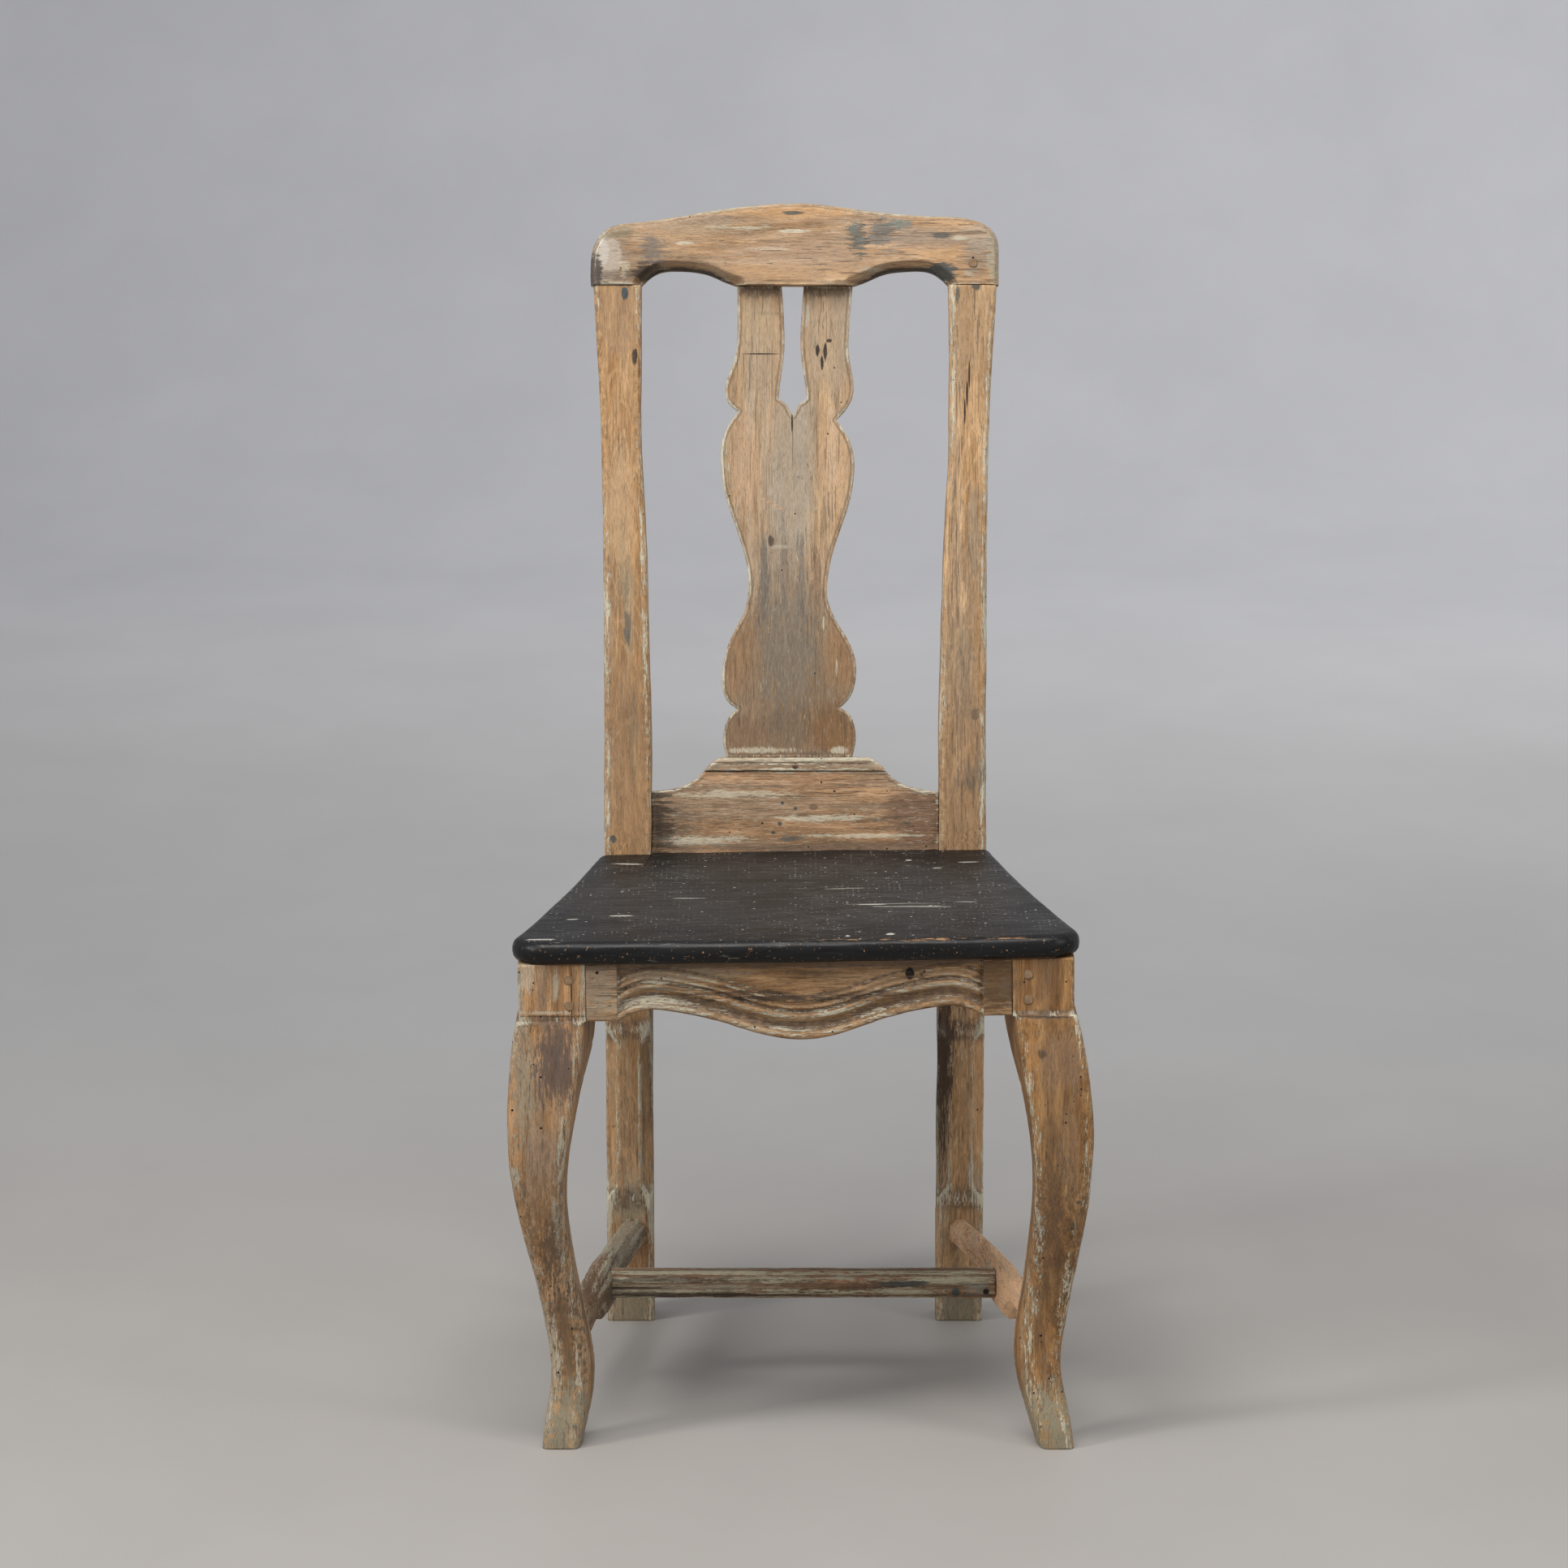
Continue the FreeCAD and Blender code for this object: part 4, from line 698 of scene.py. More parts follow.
    def fibres(self, place: Socket, grain: Grain, seed: float = 0.0) -> Socket:
        """A place drawn out along the grain, and moved by the seed to another stretch of it."""
        turn, drawn = grain.value
        shift = tuple(seed * step for step in SEED_STEPS)
        inputs = {"Vector": place, "Location": shift, "Rotation": turn, "Scale": drawn}
        return self.add("ShaderNodeMapping", inputs).outputs[0]


def shared(name: str, inputs: tuple[str, ...], outputs: tuple[str, ...],
           draw: Callable) -> bpy.types.NodeTree:
    """Give a node group by its name, built at its first use.

    Args:
        name: Name of the group.
        inputs: Names of its inputs, numbers apart from those named in VECTOR_INPUTS.
        outputs: Names of its outputs, all numbers.
        draw: Fills the group: takes the graph and the inputs, and gives the outputs in order.

    Returns:
        The group.
    """
    tree = bpy.data.node_groups.get(name)
    if tree:
        return tree
    tree = bpy.data.node_groups.new(name, "ShaderNodeTree")
    for label in inputs:
        kind = "NodeSocketVector" if label in VECTOR_INPUTS else "NodeSocketFloat"
        tree.interface.new_socket(label, in_out="INPUT", socket_type=kind)
    for label in outputs:
        tree.interface.new_socket(label, in_out="OUTPUT", socket_type="NodeSocketFloat")
    graph = Graph(tree)
    entry, leave = graph.add("NodeGroupInput"), graph.add("NodeGroupOutput")
    graph.feed(leave, dict(zip(outputs, draw(graph, entry.outputs))))
    return tree


def wood_grain() -> bpy.types.NodeTree:
    """Grain of dry wood: broad streaks, fine fibres, slow changes of tone and thin drying cracks."""

    def draw(graph: Graph, given: object) -> tuple:
        """Noises of 7, 0.8 and 26 mm for streaks, fibres and tone, and longer ones for hairs and cracks."""
        streak = graph.noise(given["Fibres"], 7.0, 3.0, 0.55)
        hair = graph.noise(graph.scaled(given["Fibres"], (1.0, 1.0, 0.4)), 1.3, 3.0, 0.6)
        fibre = graph.noise(given["Fibres"], 0.8, 3.0, 0.7)
        tone = graph.noise(given["Fibres"], 26.0, 3.0, 0.5)
        line = graph.noise(graph.scaled(given["Fibres"], (1.0, 1.0, 0.33)), 1.7, 2.0, 0.5)
        crack = graph.product(graph.step(line, 0.62, 0.66), graph.step(tone, 0.42, 0.56))
        return streak, fibre, tone, hair, crack

    return shared("wood_grain", ("Fibres",), ("Streak", "Fibre", "Tone", "Hair", "Crack"), draw)


def wood_arches() -> bpy.types.NodeTree:
    """Nested arches of a flat-sawn board."""

    def draw(graph: Graph, given: object) -> tuple:
        """A sine of the height plus a share of the square of the way off the board's middle."""
        x, _, height = graph.parts(given["Place"])
        aside = graph.math("SUBTRACT", x, given["Middle"])
        bend = graph.noise(graph.scaled(given["Place"], (1.0, 0.4, 0.25)), 22.0, 3.0, 0.5)
        turns = graph.total((height, 0.032), (graph.product(aside, aside), 0.0042), (bend, 4.0))
        wave = graph.math("SINE", graph.math("MULTIPLY", turns, 2 * math.pi))
        return (graph.step(wave, 0.72, 1.0),)

    return shared("wood_arches", ("Place", "Middle"), ("Line",), draw)


def paint_left() -> bpy.types.NodeTree:
    """Old paint that scraping has left in hollows, along arrises and in flakes."""

    def draw(graph: Graph, given: object) -> tuple:
        """Paint is where three noises plus shares of the edge and hollow values pass a limit."""
        broad = graph.noise(given["Fibres"], 12.0, 3.0, 0.6)
        fine = graph.noise(given["Fibres"], 2.0, 3.0, 0.7)
        grit = graph.noise(given["Fibres"], 0.6, 2.0, 0.6)
        field = graph.total((broad, 0.36), (fine, 0.36), (grit, 0.28), (given["Edge"], 0.125),
                            (given["Hollow"], 0.11))
        return (graph.step(graph.math("ADD", field, given["Share"]), 0.615, 0.64),)

    return shared("paint_left", ("Fibres", "Edge", "Hollow", "Share"), ("Mask",), draw)


def specks(flat: bool = False) -> bpy.types.NodeTree:
    """Small round spots, each about the middle of a random cell, kept in a share of the cells.

    Args:
        flat: Whether the cells lie side by side on a level face, or fill space.

    Returns:
        The group.
    """

    def draw(graph: Graph, given: object) -> tuple:
        """A spot is where the way to the cell's middle is under its size, and its draw under the share."""
        cells = graph.add("ShaderNodeTexVoronoi", {"Vector": given["Place"], "Scale": 1.0},
                          voronoi_dimensions="2D" if flat else "3D").outputs
        pick = graph.parts(cells["Color"])
        size = graph.math("MULTIPLY_ADD", pick[1], given["Size"], given["Size"])
        near = graph.step(graph.math("DIVIDE", cells["Distance"], size), 0.8, 0.5)
        return (graph.product(near, graph.math("LESS_THAN", pick[0], given["Share"])),)

    return shared("flat_specks" if flat else "specks", ("Place", "Share", "Size"), ("Mask",), draw)


def patch() -> bpy.types.NodeTree:
    """A ragged ellipsoid."""

    def draw(graph: Graph, given: object) -> tuple:
        """A soft step down of the length of (place - centre) / reach, broken up by two noises."""
        offset = graph.vectors("SUBTRACT", given["Place"], given["Centre"])
        ratio = graph.vectors("DIVIDE", offset, given["Reach"])
        length = graph.add("ShaderNodeVectorMath", {0: ratio}, operation="LENGTH").outputs["Value"]
        swing = graph.math("MULTIPLY", graph.math("SUBTRACT", given["Rough"], 0.5), given["Ragged"])
        soft = graph.step(graph.math("ADD", length, swing), 1.35, 0.55)
        grit = graph.product(graph.math("SUBTRACT", given["Fine"], 0.5), given["Ragged"], 0.5)
        return (graph.step(graph.math("ADD", soft, grit), 0.24, 0.76),)

    return shared("patch", ("Place", "Centre", "Reach", "Rough", "Fine", "Ragged"), ("Mask",), draw)


@dataclass(frozen=True)
class Stain:
    """A patch of another colour, at a place in the piece's own drawing, in millimetres."""

    place: Triple
    reach: Triple
    colour: Colour
    strength: float = 0.75
    ragged: float = 3.0
    gloss: float = 0.0

    @property
    def over(self) -> bool:
        """Whether it lies over the paint, as dirt and painted shade do."""
        return max(self.colour) < DARK

    def mask(self, graph: Graph, place: Socket, rough: Socket, fine: Socket) -> Socket:
        """Where the stain shows."""
        given = {"Place": place, "Centre": self.place, "Reach": self.reach, "Rough": rough, "Fine": fine,
                 "Ragged": self.ragged}
        return graph.use(patch(), given)["Mask"]


def stained(*rows: tuple) -> tuple[Stain, ...]:
    """Stains from rows of their values.

    Args:
        rows: Each the three numbers of the place, the three of the reach, the colour, and then the
            strength, raggedness and gloss where they aren't the usual ones.

    Returns:
        The stains in order.
    """
    return tuple(Stain(row[:3], row[3:6], *row[6:]) for row in rows)


def laid(graph: Graph, colour: Socket, masks: list[tuple[Stain, Socket]], over: bool) -> Socket:
    """Lay the stains that go over the paint, or those that go under it.

    Args:
        graph: Where nodes are added.
        colour: The colour that they cover.
        masks: Every stain, and where it shows.
        over: Which of the two are laid.

    Returns:
        The colour.
    """
    for stain, mask in masks:
        if stain.over == over:
            colour = graph.mix(graph.product(mask, stain.strength), colour, stain.colour)
    return colour


@dataclass(frozen=True)
class Finish:
    """A finish by its name. Each kind of finish has its own way to draw the material."""

    name: str

    def drawn(self, graph: Graph) -> dict:
        """What feeds each input of the shader, a socket or a plain value."""
        raise NotImplementedError

    def material(self) -> bpy.types.Material:
        """The finish's material, made at its first use.

        Returns:
            The material.
        """
        made = bpy.data.materials.get(self.name)
        if made is None:
            made = bpy.data.materials.new(self.name)
            made.use_nodes = True
            graph = Graph(made.node_tree)
            graph.feed(made.node_tree.nodes["Principled BSDF"], self.drawn(graph))
        return made


@dataclass(frozen=True)
class ScrapedWood(Finish):
    """Dry old wood scraped almost bare, with what is left of its paint."""

    grain: Grain
    stance: Stance = Stance.PLAIN
    seed: float = 1.0
    light: Colour = (0.53, 0.34, 0.19)
    middle: Colour = (0.40, 0.24, 0.115)
    deep: Colour = (0.24, 0.135, 0.062)
    bloom: Colour = (0.36, 0.29, 0.21)
    bloomed: float = 0.6
    paint: Colour = CREAM
    painted: float = 0.0
    flecked: float = 0.5
    holed: float = 0.05
    lined: float = 0.0
    # How far hollows darken towards umber: dirt, and painted shade in the apron's grooves.
    hollow_darkening: float = 0.8
    arched: float = 0.0
    middle_x: float = 0.0
    hole_cell: float = 6.0
    hole_size: float = 0.13
    specular: float = 0.22
    coat_roughness: float = 0.22
    relief: float = 0.0009
    stains: tuple[Stain, ...] = ()

    def tone(self, graph: Graph, place: Socket, fibres: Socket, grain: object) -> Socket:
        """The bare wood's colour.

        Args:
            graph: Where nodes are added.
            place: The place in the piece's drawing.
            fibres: The same along the fibres.
            grain: Outputs of the grain group.

        Returns:
            The colour.
        """
        colour = graph.ramp(grain["Streak"], ((0.28, self.deep), (0.50, self.middle), (0.68, self.light)))
        bloom = graph.product(graph.step(graph.noise(fibres, 17.0, 4.0), 0.42, 0.62), self.bloomed)
        colour = graph.mix(bloom, colour, self.bloom)
        if self.arched:
            line = graph.use(wood_arches(), {"Place": place, "Middle": self.middle_x})["Line"]
            colour = graph.mix(graph.product(line, self.arched), colour, self.light)
        colour = graph.scaled(colour, graph.step(grain["Hair"], 0.38, 0.62, 0.84, 1.14))
        return graph.scaled(colour, graph.step(grain["Tone"], 0.3, 0.7, 0.82, 1.18))

    def flecks(self, graph: Graph, place: Socket, fibres: Socket) -> Socket:
        """Where short and long dark flecks show: more in some areas than in others."""
        areas = graph.step(graph.noise(place, 30.0, 3.0), 0.42, 0.60, 0.25, 1.0)
        short = graph.step(graph.noise(graph.scaled(fibres, (1.0, 1.0, 2.6)), 2.0, 4.0, 0.75), 0.63, 0.68)
        long = graph.step(graph.noise(fibres, 1.3, 3.0, 0.7), 0.63, 0.66)
        return graph.product(graph.math("MAXIMUM", short, long), self.flecked, areas)

    def drawn(self, graph: Graph) -> dict:
        """Lay stains (among them painted shade and painted highlights), worn arrises, paint, darkened hollows
        (dirt and painted shade), flecks and worm holes over the bare wood.

        Args:
            graph: Where nodes are added.

        Returns:
            What feeds each input of the shader.
        """
        place = graph.place(self.stance)
        fibres = graph.fibres(place, self.grain, self.seed)
        edge, hollow = graph.attribute("edge"), graph.attribute("hollow")
        grain = graph.use(wood_grain(), {"Fibres": fibres})
        rough = graph.noise(fibres, 3.0, 5.0, 0.85)
        masks = [(stain, stain.mask(graph, place, rough, grain["Fibre"])) for stain in self.stains]
        colour = laid(graph, self.tone(graph, place, fibres, grain), masks, over=False)
        spots = graph.noise(place, 6.0, 3.0)
        rubbed = graph.product(edge, graph.step(spots, 0.42, 0.6), 0.6)
        colour = graph.mix(rubbed, colour, self.light)
        given = {"Fibres": fibres, "Edge": edge, "Hollow": hollow, "Share": self.painted}
        paint = graph.use(paint_left(), given)["Mask"]
        # Hollows darken towards umber: dirt in all of them, and painted shade as well in the apron's grooves.
        spread = graph.step(spots, 0.60, 0.40, 0.4, 1.0)
        hollow_dark = graph.product(graph.step(hollow, 0.0, 0.6), spread, self.hollow_darkening)
        colour = graph.mix(hollow_dark, colour, UMBER)
        colour = laid(graph, graph.mix(paint, colour, self.paint), masks, over=True)
        colour = graph.scaled(colour, graph.step(grain["Fibre"], 0.3, 0.7, 0.75, 1.23))
        if self.lined:
            near = graph.total((edge, 1.0), (rough, 0.5))
            line = graph.product(graph.step(near, 0.56, 0.68), graph.step(near, 1.06, 0.94), self.lined)
            colour = graph.mix(line, colour, UMBER)
        fleck = self.flecks(graph, place, fibres)
        colour = graph.mix(fleck, colour, INK)
        colour = graph.mix(graph.product(grain["Crack"], 0.6), colour, UMBER)
        cells = graph.scaled(place, (1 / self.hole_cell,) * 3)
        holes = graph.use(specks(), {"Place": cells, "Share": self.holed, "Size": self.hole_size})["Mask"]
        height = graph.total((grain["Fibre"], 0.30), (grain["Streak"], 0.55), (paint, 0.28), (fleck, -0.2),
                             (grain["Crack"], -0.7), (holes, -2.0))
        feeds = {
            "Base Color": graph.mix(holes, colour, BLACK),
            "Roughness": graph.step(grain["Fibre"], 0.3, 0.7, 0.78, 0.60),
            "Specular IOR Level": self.specular,
            "Normal": graph.bump(height, 0.9, self.relief),
        }
        for stain, mask in masks:
            if stain.gloss:
                gloss = graph.product(mask, stain.gloss)
                feeds["Roughness"] = graph.total((feeds["Roughness"], 1.0), (gloss, -0.3))
                feeds |= {"Coat Weight": gloss, "Coat Roughness": self.coat_roughness}
        return feeds


@dataclass(frozen=True)
class SeatPaint(Finish):
    """Satin black paint, rubbed brown in the middle, scratched along the grain and specked with white."""

    name: str = "seat_black"
    black: Colour = (0.0045, 0.0045, 0.005)
    worn: Colour = (0.0245, 0.0222, 0.021)
    hair: Colour = (0.15, 0.145, 0.14)
    bare: Colour = (0.36, 0.19, 0.09)
    chalk: Colour = (0.50, 0.48, 0.42)
    under_deep: Colour = (0.09, 0.055, 0.033)
    under_light: Colour = (0.22, 0.14, 0.085)
    specular: float = 0.27
    relief: float = 0.0009
    scratches: tuple[Stain, ...] = ()

    def dots(self, graph: Graph, place: Socket, areas: Socket) -> Socket:
        """Where white dots show: large ones anywhere, and small ones that crowd in some areas.

        Args:
            graph: Where nodes are added.
            place: The place in the seat's drawing.
            areas: Where the small dots crowd.

        Returns:
            The mask.
        """
        large = graph.scaled(place, (1 / 9, 1 / 6, 1 / 6))
        large = graph.use(specks(True), {"Place": large, "Share": 0.035, "Size": 0.11})["Mask"]
        small = graph.scaled(place, (1 / 4.6, 1 / 4, 1 / 4))
        small = graph.use(specks(True), {"Place": small, "Share": 0.15, "Size": 0.12})["Mask"]
        small = graph.product(small, graph.total((areas, 0.7), (1.0, 0.3)), 0.8)
        return graph.math("MAXIMUM", large, small)

    def drawn(self, graph: Graph) -> dict:
        """Lay wear, scratches and flecks over the black, and leave the underside bare.

        Args:
            graph: Where nodes are added.

        Returns:
            What feeds each input of the shader.
        """
        place = graph.place(Stance.SETTLED)
        fibres = graph.fibres(place, Grain.ACROSS)
        x, y, z = graph.parts(place)
        grain = graph.use(wood_grain(), {"Fibres": fibres})
        rough = graph.noise(fibres, 3.6, 4.0, 0.65)
        middle = Stain((0.0, -50.0, 20.0), (215.0, 165.0, 60.0), self.worn, ragged=2.0)
        middle = middle.mask(graph, place, rough, rough)
        colour = graph.mix(graph.product(middle, 0.9), self.black, self.worn)
        colour = graph.scaled(colour, graph.step(grain["Streak"], 0.34, 0.66, 0.7, 1.5))
        hair = graph.noise(graph.scaled(fibres, (1.0, 1.0, 0.22)), 0.55, 2.0, 0.6)
        level = graph.step(z, 18.0, 19.6)
        areas = graph.step(graph.noise(place, 55.0, 3.0), 0.42, 0.6)
        hair = graph.product(graph.step(hair, 0.58, 0.66), areas, level)
        colour = graph.mix(graph.product(hair, 0.75), colour, self.hair)
        chalk = graph.product(self.dots(graph, place, areas), level)
        for scratch in self.scratches:
            mask = scratch.mask(graph, place, rough, rough)
            chalk = graph.math("MAXIMUM", chalk, graph.product(mask, scratch.strength))
        colour = graph.mix(chalk, colour, self.chalk)
        nosed = graph.product(graph.step(y, -250.0, -254.0), graph.step(z, 17.0, 18.6))
        rubbed = graph.product(nosed, graph.step(graph.noise(fibres, 2.2, 4.0, 0.7), 0.55, 0.62),
                               graph.step(x, -40.0, 60.0))
        broken = graph.step(graph.noise(place, 2.5, 3.0, 0.7), 0.64, 0.7)
        rims = graph.product(graph.attribute("edge"), broken)
        colour = graph.mix(graph.math("MAXIMUM", rubbed, rims), colour, self.bare)
        under = graph.step(z, 1.4, 0.8)
        boards = graph.ramp(grain["Streak"], ((0.36, self.under_deep), (0.62, self.under_light)))
        top = graph.step(z, 18.4, 19.8)
        shine = graph.total((graph.step(grain["Streak"], 0.3, 0.7, 0.32, 0.44), 1.0), (top, 0.08),
                            (middle, 0.08), (chalk, 0.2), (under, 0.4))
        height = graph.total((grain["Fibre"], 0.12), (grain["Streak"], 0.5), (chalk, 0.2), (rubbed, -0.3))
        return {
            "Base Color": graph.mix(under, colour, boards),
            "Roughness": shine,
            "Specular IOR Level": self.specular,
            "Normal": graph.bump(height, 0.6, self.relief),
        }


@dataclass(frozen=True)
class Speckled(Finish):
    """A small part's finish: two colours in soft patches, and fine pits."""

    first: Colour
    second: Colour
    patch_size: float
    grain_size: float
    roughness: float = 0.8
    metallic: float = 0.0
    rim: Colour | None = None
    relief: float = 0.0006
    change: float = 0.18

    def drawn(self, graph: Graph) -> dict:
        """Mix the two colours by a noise, vary them by a finer one, and darken the rim.

        Args:
            graph: Where nodes are added.

        Returns:
            What feeds each input of the shader.
        """
        place = graph.place(Stance.PLAIN)
        fine = graph.noise(place, self.grain_size, 4.0, 0.65)
        share = graph.step(graph.noise(place, self.patch_size, 4.0), 0.36, 0.64)
        colour = graph.mix(share, self.first, self.second)
        colour = graph.scaled(colour, graph.step(fine, 0.25, 0.75, 1 - self.change, 1 + self.change))
        if self.rim:
            colour = graph.mix(graph.product(graph.attribute("edge"), 0.8), colour, self.rim)
        return {"Base Color": colour, "Roughness": self.roughness, "Metallic": self.metallic,
                "Normal": graph.bump(fine, 0.6, self.relief)}


@dataclass(frozen=True)
class FloorPaint(Finish):
    """The plain floor and wall: warm in front and of a bluer grey towards the back, with painted light that
    makes the far wall lighter and the right side lighter than the left.
    """

    name: str = "pale_floor"
    warm: Colour = (0.375, 0.355, 0.335)
    dim: Colour = (0.37, 0.365, 0.362)
    cool_lit_wall: Colour = (0.433, 0.43, 0.442)
    cloud: float = 0.04
    roughness: float = 0.6

    def drawn(self, graph: Graph) -> dict:
        """Change the colour with the way back, a little from left to right, and by soft clouds; the lighter
        far wall and the lighter right side are painted light.

        Args:
            graph: Where nodes are added.

        Returns:
            What feeds each input of the shader.
        """
        place = graph.scaled(graph.place(Stance.PLAIN), (MM, MM, MM))
        x, y, _ = graph.parts(place)
        # Painted light: the far stop is lighter than the floor.
        stops = ((0.05, self.warm), (0.22, self.dim), (0.55, self.dim), (0.92, self.cool_lit_wall))
        colour = graph.ramp(graph.step(y, -1.0, 7.0), stops)
        clouds = graph.noise(graph.scaled(place, (1.0, 0.6, 1.0)), 0.35, 5.0, 0.6)
        colour = graph.scaled(colour, graph.step(clouds, 0.2, 0.8, 1 - self.cloud, 1 + self.cloud))
        # Painted light: lighter from left to right.
        colour = graph.scaled(colour, graph.step(x, -2.0, 2.4, 0.93, 1.03))
        return {"Base Color": colour, "Roughness": self.roughness}


def make_piece(name: str, surface: Surface, wear: Wear, nodes: tuple[str, ...],
               finish: Finish) -> Piece:
    """Put a surface into a mesh, wear it, and let it stand for its CAD nodes.

    Args:
        name: Name of the new object.
        surface: The surface in place, in millimetres.
        wear: How the surface is worn.
        nodes: CAD nodes that the piece stands for.
        finish: What gives the piece its material.

    Returns:
        The object, riding on the body of its nodes.
    """
    mesh = bpy.data.meshes.new(name)
    mesh.from_pydata((surface.points * MM).tolist(), [], surface.faces.tolist())
    for label, values in (("edge", surface.edge), ("hollow", surface.hollow)):
        layer = mesh.attributes.new(label, "FLOAT", "POINT")
        layer.data.foreach_set("value", values.astype(np.float32))
    work = bmesh.new()
    work.from_mesh(mesh)
    bmesh.ops.remove_doubles(work, verts=work.verts, dist=1e-6)
    bmesh.ops.dissolve_degenerate(work, edges=work.edges, dist=1e-7)
    bmesh.ops.recalc_face_normals(work, faces=work.faces)
    work.to_mesh(mesh)
    work.free()
    count = len(mesh.vertices)
    points, normals, edge = np.zeros(count * 3), np.zeros(count * 3), np.zeros(count, np.float32)
    mesh.vertices.foreach_get("co", points)
    mesh.vertex_normals.foreach_get("vector", normals)
    mesh.attributes["edge"].data.foreach_get("value", edge)
    moved = wear.moved(points.reshape(-1, 3) / MM, normals.reshape(-1, 3), edge)
    moved[:, 2] = np.maximum(moved[:, 2], 0.0)
    mesh.vertices.foreach_set("co", (moved * MM).ravel())
    mesh.polygons.foreach_set("use_smooth", np.ones(len(mesh.polygons), bool))
    mesh.update()
    mesh.materials.append(finish.material())
    piece = bpy.data.objects.new(name, mesh)
    bpy.context.scene.collection.objects.link(piece)
    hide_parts(*nodes)
    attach(piece, "root")
    LOG.info("%s: %d faces", name, len(mesh.polygons))
    return piece


# Front of the chair


# Share of the leg's height, then front, back and corner radius as shares of the post's depth
LEG_ROWS = (
    (-0.014, -0.215, 0.270, 0.10), (0.045, -0.225, 0.227, 0.13), (0.110, -0.308, 0.081, 0.15),
    (0.190, -0.364, -0.036, 0.16), (0.270, -0.352, -0.045, 0.16), (0.350, -0.276, 0.029, 0.16),
    (0.440, -0.165, 0.133, 0.16), (0.540, 0.003, 0.239, 0.15), (0.640, 0.115, 0.262, 0.13),
    (0.740, 0.161, 0.203, 0.12), (0.840, 0.158, 0.116, 0.10), (0.930, 0.119, 0.035, 0.08),
    (1.000, 0.045, 0.000, 0.05),
)
# At the same heights: outer face, inner face in front and inner face behind, as shares of it
LEG_EDGES = {
    LEFT: (
        (-0.192, 0.266, 0.216), (-0.212, 0.233, 0.126), (-0.296, 0.158, 0.023), (-0.344, 0.096, -0.007),
        (-0.291, 0.132, 0.074), (-0.207, 0.217, 0.170), (-0.075, 0.281, 0.266), (0.067, 0.365, 0.343),
        (0.168, 0.372, 0.344), (0.203, 0.296, 0.239), (0.186, 0.173, 0.084), (0.126, 0.085, -0.074),
        (0.049, 0.050, -0.126),
    ),
    RIGHT: (
        (-0.031, 0.425, 0.344), (-0.075, 0.343, 0.210), (-0.164, 0.218, 0.084), (-0.218, 0.132, 0.002),
        (-0.144, 0.122, 0.042), (-0.053, 0.188, 0.130), (0.054, 0.234, 0.217), (0.176, 0.310, 0.283),
        (0.248, 0.315, 0.300), (0.267, 0.285, 0.243), (0.215, 0.205, 0.100), (0.133, 0.118, -0.049),
        (0.038, 0.050, -0.119),
    ),
}
LEFT_LEG_STAINS = stained(
    (-203, -250, 342, 17, 40, 38, PLUM, 0.75, 5.0), (-206, -262, 383, 34, 20, 1.2, DIRT_AND_SHADE, 0.7, 2.0),
    (-231, -250, 325, 10, 60, 52, (0.29, 0.25, 0.18), 0.75, 5.0),
    (-216, -262, 255, 16, 30, 38, (0.32, 0.23, 0.16), 0.6), (-190, -262, 300, 9, 30, 30, ORANGE, 0.4),
    (-206, -262, 190, 26, 40, 60, (0.055, 0.04, 0.03), 0.5, 9.0),
    (-214, -262, 210, 14, 30, 40, (0.42, 0.235, 0.105), 0.5),
    (-205, -262, 168, 16, 30, 44, (0.16, 0.10, 0.058), 0.75),
    (-190, -245, 108, 24, 60, 44, (0.12, 0.07, 0.036), 0.8, 2.2),
    (-190, -245, 62, 22, 60, 26, (0.15, 0.095, 0.052), 0.7, 2.4), (-221, -262, 120, 6, 30, 46, PLUM, 0.7),
    (-198, -262, 105, 6, 20, 30, ORANGE, 0.45),
    (-200, -250, 10, 48, 60, 50, (0.25, 0.225, 0.155), 0.9, 3.0),
    (-206, -262, 386, 34, 20, 1.8, CREAM, 0.6, 4.0), (-189.5, -252, 402, 0.7, 6, 26, DIRT_AND_SHADE, 0.9, 0.4),
    (-228, -250, 420, 9, 20, 16, CREAM, 0.5, 4.0), (-203, -250, 408, 3, 8, 14, SAGE, 0.8),
)
RIGHT_LEG_STAINS = stained(
    (225, -262, 345, 24, 40, 24, (0.25, 0.155, 0.09), 0.6), (208, -262, 352, 4, 20, 4, DIRT_AND_SHADE, 0.6),
    (232, -262, 270, 10, 30, 40, (0.29, 0.175, 0.095), 0.5),
    (212, -262, 200, 16, 30, 60, (0.22, 0.12, 0.058), 0.7),
    (236.5, -262, 200, 0.9, 20, 8, INK, 0.95, 0.5), (240, -262, 222, 2.6, 20, 2.2, INK, 0.8, 1.0),
    (214, -262, 122, 6.5, 16, 46, SAGE, 0.85, 5.0),
    (220, -262, 105, 14, 30, 46, (0.17, 0.105, 0.055), 0.6, 3.0),
    (222, -262, 180, 26, 40, 70, (0.055, 0.04, 0.03), 0.45, 9.0),
    (202, -262, 110, 8, 30, 55, (0.42, 0.235, 0.10), 0.6),
    (218, -250, 10, 48, 60, 48, (0.28, 0.25, 0.17), 0.9, 3.0),
    (206, -262, 386, 34, 20, 1.8, CREAM, 0.6, 4.0), (206, -262, 383, 34, 20, 1.2, DIRT_AND_SHADE, 0.7, 2.0),
    # Painted shade: the dark brown at the top of the right post, under the seat's overhang.
    (210, -250, 420, 14, 30, 24, (0.18, 0.10, 0.05), 0.6),
)
